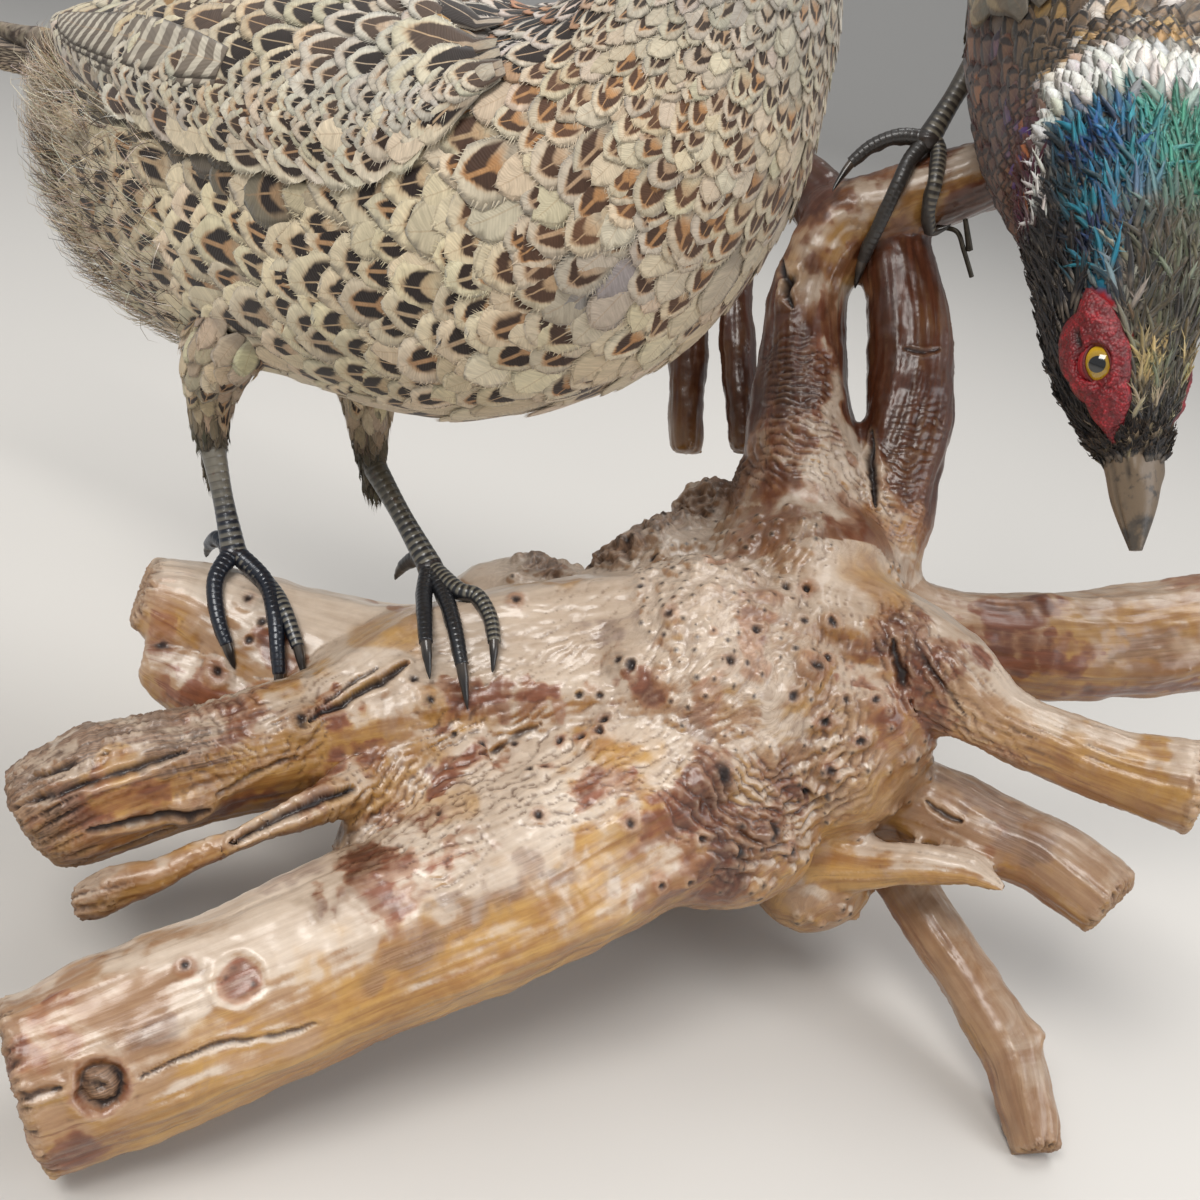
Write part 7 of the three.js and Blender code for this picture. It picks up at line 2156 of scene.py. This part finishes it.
crotch = spots((350, 850, 9), (362, 872, 8), (345, 885, 7), (375, 850, 8), (340, 835, 7))
plum = spots((430, 935, 9), (455, 915, 9), (495, 893, 10), (400, 955, 7), (530, 880, 8), (150, 1020, 8), (300, 855, 12), (280, 880, 8), (985, 800, 12), (960, 790, 9), (1030, 840, 10), (700, 720, 9), (620, 630, 9), (1150, 650, 10))
toplit = spots((832, 246, 15), (862, 212, 14), (905, 185, 12), (960, 172, 12), (820, 350, 6), (835, 430, 12), (845, 480, 14), (880, 480, 8))
redm = np.maximum(redm, highm * (0.78 + 0.9 * (fbm(p / 17.0, 74) - 0.5)) * (1 - 0.85 * toplit))
ochre = np.maximum(ochre, 0.9 * spots((940, 330, 9), (944, 400, 9), (938, 460, 9), (925, 520, 9), (1140, 760, 14), (1180, 800, 12), (1090, 770, 10), (1110, 820, 10)))
redm = np.maximum(redm, spots((910, 650, 12), (890, 700, 10), (940, 730, 9), (1000, 780, 7), (640, 690, 7), (740, 830, 26), (700, 790, 18), (560, 700, 7), (330, 720, 8), (345, 770, 9), (380, 850, 14), (420, 860, 12), (480, 700, 7), (900, 400, 18), (810, 330, 16), (790, 400, 16), (895, 330, 16), (290, 660, 8), (230, 700, 10), (1060, 660, 10), (1040, 610, 8), (600, 780, 9), (1010, 905, 12), (780, 190, 12)) * 0.95)
redm = np.maximum(redm, 0.55 * smooth(0.60, 0.70, fbm(p / 19.0, 75)) * (0.4 + 0.6 * join))
redm = np.maximum(redm, spots((985, 640, 11), (1005, 620, 9), (1030, 665, 8), (1120, 690, 7), (1180, 690, 8)) * 0.9)
ochre = np.maximum(ochre, 0.8 * spots((960, 730, 9), (1010, 765, 10), (1060, 780, 10), (1120, 790, 14), (1165, 800, 14)))
redm = np.maximum(redm, 0.9 * spots((895, 640, 9), (905, 670, 9), (915, 700, 8), (935, 715, 7), (970, 742, 6), (900, 735, 8)))
ochre = np.maximum(ochre, spots((1090, 640, 16), (1160, 615, 14), (1060, 610, 10), (1150, 665, 12), (1030, 590, 7)) * 0.75)
# darker red-brown laid on the downward faces of these limbs: painted underside shade
redm = np.maximum(redm, 0.40 * of("right", "rightBack", "cut", "leg") * smooth(0.35, -0.45, nrm[:, 2] + 0.8 * (fbm(p / 12.0, 83) - 0.5)))
redm = np.maximum(redm, 0.34 * of("log", "stub", "splinter") * smooth(0.5, -0.3, nrm[:, 2] + 1.0 * (fbm(p / 11.0, 84) - 0.5)))
# the wrinkle valleys are reddened as painted shade; the pimple stains are the wood's own colour
redm = np.maximum(redm, np.clip(0.40 * valley + 0.8 * stain_, 0, 0.9))
# tops that face up are painted paler, as light from above: painted top light; listed pale patches, the painted
# highlights of ridges and pimples, and the high limb's toplit spots join it
pale_and_top_light = smooth(0.25, 0.85, nrm[:, 2] + (fbm(p / 30.0, 77) - 0.5) * 0.7)
endtone = spots((50, 1090, 30), (30, 1010, 22), (130, 1130, 18), (120, 985, 14))
pale_and_top_light = pale_and_top_light * (1 - 0.75 * endtone) * (1 - 0.55 * of("rightBack", "cut", "leg")) * (1 - 0.35 * of("right"))
pale_and_top_light = np.maximum(pale_and_top_light * (1 - 0.8 * highm), 0.9 * toplit)
pale_and_top_light = np.maximum(pale_and_top_light, spots((935, 625, 8), (1000, 690, 7), (1050, 715, 7), (700, 640, 30), (560, 620, 22), (350, 610, 20), (820, 250, 9), (880, 200, 11), (960, 280, 7), (560, 680, 16), (620, 860, 18), (770, 700, 20)))
pale_and_top_light = np.maximum(pale_and_top_light, pale)
# the hollows add to the dark marks: painted shade
dark = np.clip(dark + 0.35 * cavity_shade * smooth(0.40, 0.6, fbm(p / 13.0, 76)), 0, 1)
colour_attribute(me, "wc", np.stack([dark, ochre, redm, crest_m], -1))
# the red of wd holds the painted shade of the hollows and the wrinkle valleys
colour_attribute(me, "wd", np.stack([np.clip(cavity_shade + 0.25 * valley, 0, 1), burl, plum, rough], -1))
for nm, g in (("g1", g1), ("g2", g2), ("g3", g3)):
    at = me.attributes.new(nm, "FLOAT_VECTOR", "POINT")
    at.data.foreach_set("vector", g.astype(np.float32).ravel())
# how dark each limb is, with painted shade in the crotch, on downward faces and in the hollows, and a painted highlight
# on the high limb's top
tones = 1 - 0.60 * highm - 0.17 * endtone - 0.22 * of("rightBack") - 0.11 * of("right") - 0.20 * of("cut", "leg") - 0.14 * of("log", "splinter") * (1 - burl) - 0.34 * of("behind", "stick")
tones = tones + 0.42 * highm * toplit
# painted shade in the crotch of log and front limb
tones = tones * (1 - 0.55 * crotch)
tones = tones * (1 - 0.35 * spots((760, 820, 26), (700, 790, 14), (905, 660, 14)))
# painted shade on downward faces and in the hollows
tones = tones * (1 - 0.16 * smooth(0.15, -0.7, nrm[:, 2])) * (1 - 0.14 * smooth(0.3, 0.9, cavity_shade))
tones = np.clip(tones * (0.90 + 0.4 * (fbm(p / 24.0, 79) - 0.35)), 0.25, 1.1)
colour_attribute(me, "gw", np.stack([k2, pale_and_top_light, np.clip(np.maximum(np.maximum(logbark, 0.6 * bark), barked), 0, 1), tones], -1))


def wood_material():
    m = Mat("driftwood")
    g1, g2, g3 = (m.attr(x).outputs["Vector"] for x in ("g1", "g2", "g3"))
    wc, wd, gwn = m.attr("wc"), m.attr("wd"), m.attr("gw")
    gw, depth_ = m.splitc(gwn.outputs["Color"]), gwn.outputs["Alpha"]
    dark, ochre, red = m.splitc(wc.outputs["Color"])[:3]
    crest = wc.outputs["Alpha"]
    cav, burl, plum = m.splitc(wd.outputs["Color"])[:3]
    rough = wd.outputs["Alpha"]
    pale_and_top_light, barkm = gw[1], gw[2]
    pos = m.coords("Object")
    mul = lambda a, b: m.math("MULTIPLY", a, b)
    add = lambda a, b: m.math("ADD", a, b)
    one = lambda a: m.math("SUBTRACT", 1.0, a)

    def grain(vec, sx, sy, detail, dist=0.35):
        x, y, z = m.split(vec)
        return m.noise(m.combine(mul(x, sx), mul(y, sy), mul(z, sy * 0.6)), 1.0, detail, 0.6, distortion=dist).outputs["Fac"]

    def limbwise(sx, sy, detail):
        return add(mul(grain(g1, sx, sy, detail), one(gw[0])), mul(grain(g2, sx, sy, detail), gw[0]))

    def both(sx, sy, detail, bx, by):
        a = limbwise(sx, sy, detail)
        b = grain(g3, bx, by, detail, 0.8)
        return add(mul(a, one(burl)), mul(b, burl))

    streak = both(0.016, 0.20, 5.0, 0.022, 0.16)
    fine = both(0.05, 1.1, 4.0, 0.07, 0.55)
    swirl = m.noise(pos, 55.0, 5.0, 0.6, distortion=1.4).outputs["Fac"]
    blot = m.noise(pos, 22.0, 5.0, 0.62, distortion=0.8).outputs["Fac"]
    speck = m.noise(pos, 420.0, 3.0, 0.6).outputs["Fac"]
    s = add(mul(streak, 0.7), mul(swirl, 0.3))
    crisp = lambda mask, n, amp, lo=0.42, hi=0.56: m.step(lo, hi, add(mask, mul(m.math("SUBTRACT", n, 0.5), amp)))
    tan = m.mixc(m.step(0.36, 0.62, s), (0.36, 0.205, 0.112), (0.49, 0.315, 0.185))
    pale = m.mixc(m.step(0.34, 0.62, s), (0.52, 0.41, 0.315), (0.67, 0.56, 0.455))
    # pale where the wood faces up: painted top light, with pale patches
    col = m.mixc(crisp(pale_and_top_light, swirl, 0.9, 0.20, 0.72), tan, pale)
    och = m.mixc(m.step(0.36, 0.62, s), (0.32, 0.135, 0.030), (0.53, 0.30, 0.080))
    col = m.mixc(mul(add(mul(crisp(ochre, blot, 1.5, 0.30, 0.66), 0.35), mul(crisp(ochre, swirl, 1.0, 0.05, 0.95), 0.65)), 0.94), col, och)
    # orange-brown veil between ochre and red
    veil = crisp(red, blot, 1.4, 0.22, 0.52)
    col = m.mixc(mul(veil, 0.62), col, m.mixc(m.step(0.4, 0.6, streak), (0.27, 0.095, 0.035), (0.42, 0.175, 0.075)))
    redc = m.mixc(m.step(0.38, 0.62, s), (0.085, 0.022, 0.013), (0.25, 0.080, 0.038))
    col = m.mixc(mul(crisp(red, s, 2.6, 0.38, 0.86), 0.90), col, redc)
    # purple-grey shadows in the grain, and dark streaks that follow it
    col = m.mixc(mul(m.step(0.58, 0.68, blot), mul(m.step(0.45, 0.60, fine), 0.38)), col, (0.23, 0.165, 0.155))
    col = m.mixc(mul(m.step(0.60, 0.70, streak), mul(one(pale_and_top_light), 0.55)), col, (0.13, 0.050, 0.026))
    # narrow creases between the wrinkles
    crease2 = one(m.step(0.0, 0.05, m.math("ABSOLUTE", m.math("SUBTRACT", fine, 0.5))))
    col = m.mixc(mul(crisp(plum, s, 2.2, 0.30, 0.85), 0.5), col, m.mixc(m.step(0.4, 0.6, fine), (0.125, 0.070, 0.062), (0.27, 0.175, 0.150)))
    # dark crease lines on the burl: painted shade in the creases
    col = m.mixc(mul(mul(crease2, burl), 0.30), col, (0.20, 0.105, 0.070))
    # the hollows and the wrinkle valleys are painted dark brown: painted shade
    col = m.mixc(mul(cav, 0.56), col, (0.13, 0.055, 0.032))
    col = m.mixc(mul(crest, mul(one(barkm), 0.38)), col, (0.72, 0.545, 0.39))
    barkc = m.mixc(m.step(0.36, 0.64, fine), (0.085, 0.042, 0.026), (0.29, 0.165, 0.100))
    col = m.mixc(mul(crisp(barkm, s, 2.0, 0.34, 0.70), 0.72), col, barkc)
    greyed = m.mixc(m.step(0.35, 0.65, fine), (0.090, 0.048, 0.030), (0.33, 0.205, 0.130))
    col = m.mixc(mul(rough, 0.32), col, greyed)
    col = m.mixc(dark, col, (0.022, 0.011, 0.009))
    # tone follows tones: each limb's own darkness with its painted shade and painted highlight
    tone = mul(depth_, add(0.84, add(mul(fine, 0.22), mul(speck, 0.12))))
    # the darker wood is also the redder
    deep = one(depth_)
    col = m.mixc(1.0, col, m.combine(tone, mul(tone, one(mul(deep, 0.22))), mul(tone, one(mul(deep, 0.42)))), "MULTIPLY")
    m.link(col, "Base Color")
    h = add(mul(fine, add(0.22, mul(burl, 0.16))), mul(mul(speck, rough), 1.4))
    m.link(m.bump(h, 0.45, 0.0010), "Normal")
    rg = add(0.27, add(mul(rough, 0.42), add(mul(dark, 0.2), mul(fine, 0.10))))
    m.link(rg, "Roughness")
    m.b.inputs["Coat Weight"].default_value = 0.35
    m.b.inputs["Coat Roughness"].default_value = 0.22
    m.b.inputs["Specular IOR Level"].default_value = 0.45
    return m.m


me.materials.clear()
me.materials.append(wood_material())
done(wood, "driftwood", "driftwood_mount")

# ------------------------------------------------------------------ floor, light and camera
# the floor runs back and sweeps up behind
arc_ = np.linspace(0, math.pi / 2, 24)
prof = np.array([[-6.0, 0.0], [3.0, 0.0]] + [[3.0 + 1.5 * math.sin(x), 1.5 - 1.5 * math.cos(x)] for x in arc_[1:]] + [[4.5, 6.0]])
fv = np.array([[x, y, z] for y, z in prof for x in (-9.0, 9.0)])
fl = mesh_object("floor", fv, np.array([[2 * i, 2 * i + 1, 2 * i + 3, 2 * i + 2] for i in range(len(prof) - 1)]))
mf = Mat("floor")
mf.set(Base_Color=(0.62, 0.60, 0.57, 1), Roughness=0.7)
fl.data.materials.append(mf.m)

world = bpy.data.worlds.new("studio")
world.use_nodes = True
world.node_tree.nodes["Background"].inputs[0].default_value = (0.93, 0.96, 1.0, 1)
world.node_tree.nodes["Background"].inputs[1].default_value = 0.42
bpy.context.scene.world = world


def area(name, place, target, size, power, colour=(1, 1, 1)):
    d = bpy.data.lights.new(name, "AREA")
    d.shape, d.size, d.size_y = "RECTANGLE", size[0], size[1]
    d.energy, d.color = power, colour
    o = bpy.data.objects.new(name, d)
    bpy.context.scene.collection.objects.link(o)
    o.location = place
    o.rotation_euler = (Vector(target) - Vector(place)).to_track_quat("-Z", "Y").to_euler()
    return o


area("key", (-0.55, -0.95, 1.55), (0.05, 0.0, 0.2), (0.9, 0.6), 20, (1.0, 0.97, 0.93))
area("top", (0.5, 0.3, 1.9), (0.0, -0.05, 0.2), (1.4, 1.0), 22, (1.0, 0.985, 0.96))
area("fill", (1.3, -1.0, 0.8), (0.05, -0.05, 0.2), (0.9, 0.9), 8, (0.95, 0.97, 1.0))

cam = bpy.data.cameras.new("view")
cam.sensor_width, cam.lens, cam.clip_start, cam.clip_end = 36, 36 * FOCAL / 1200, 0.01, 60
co_ = bpy.data.objects.new("view", cam)
bpy.context.scene.collection.objects.link(co_)
rot = Matrix([[CAM[0][i], -CAM[1][i], -CAM[2][i]] for i in range(3)])
co_.matrix_world = Matrix.Translation(Vector(EYE)) @ rot.to_4x4()
bpy.context.scene.camera = co_

bpy.context.scene.view_settings.view_transform = "Standard"
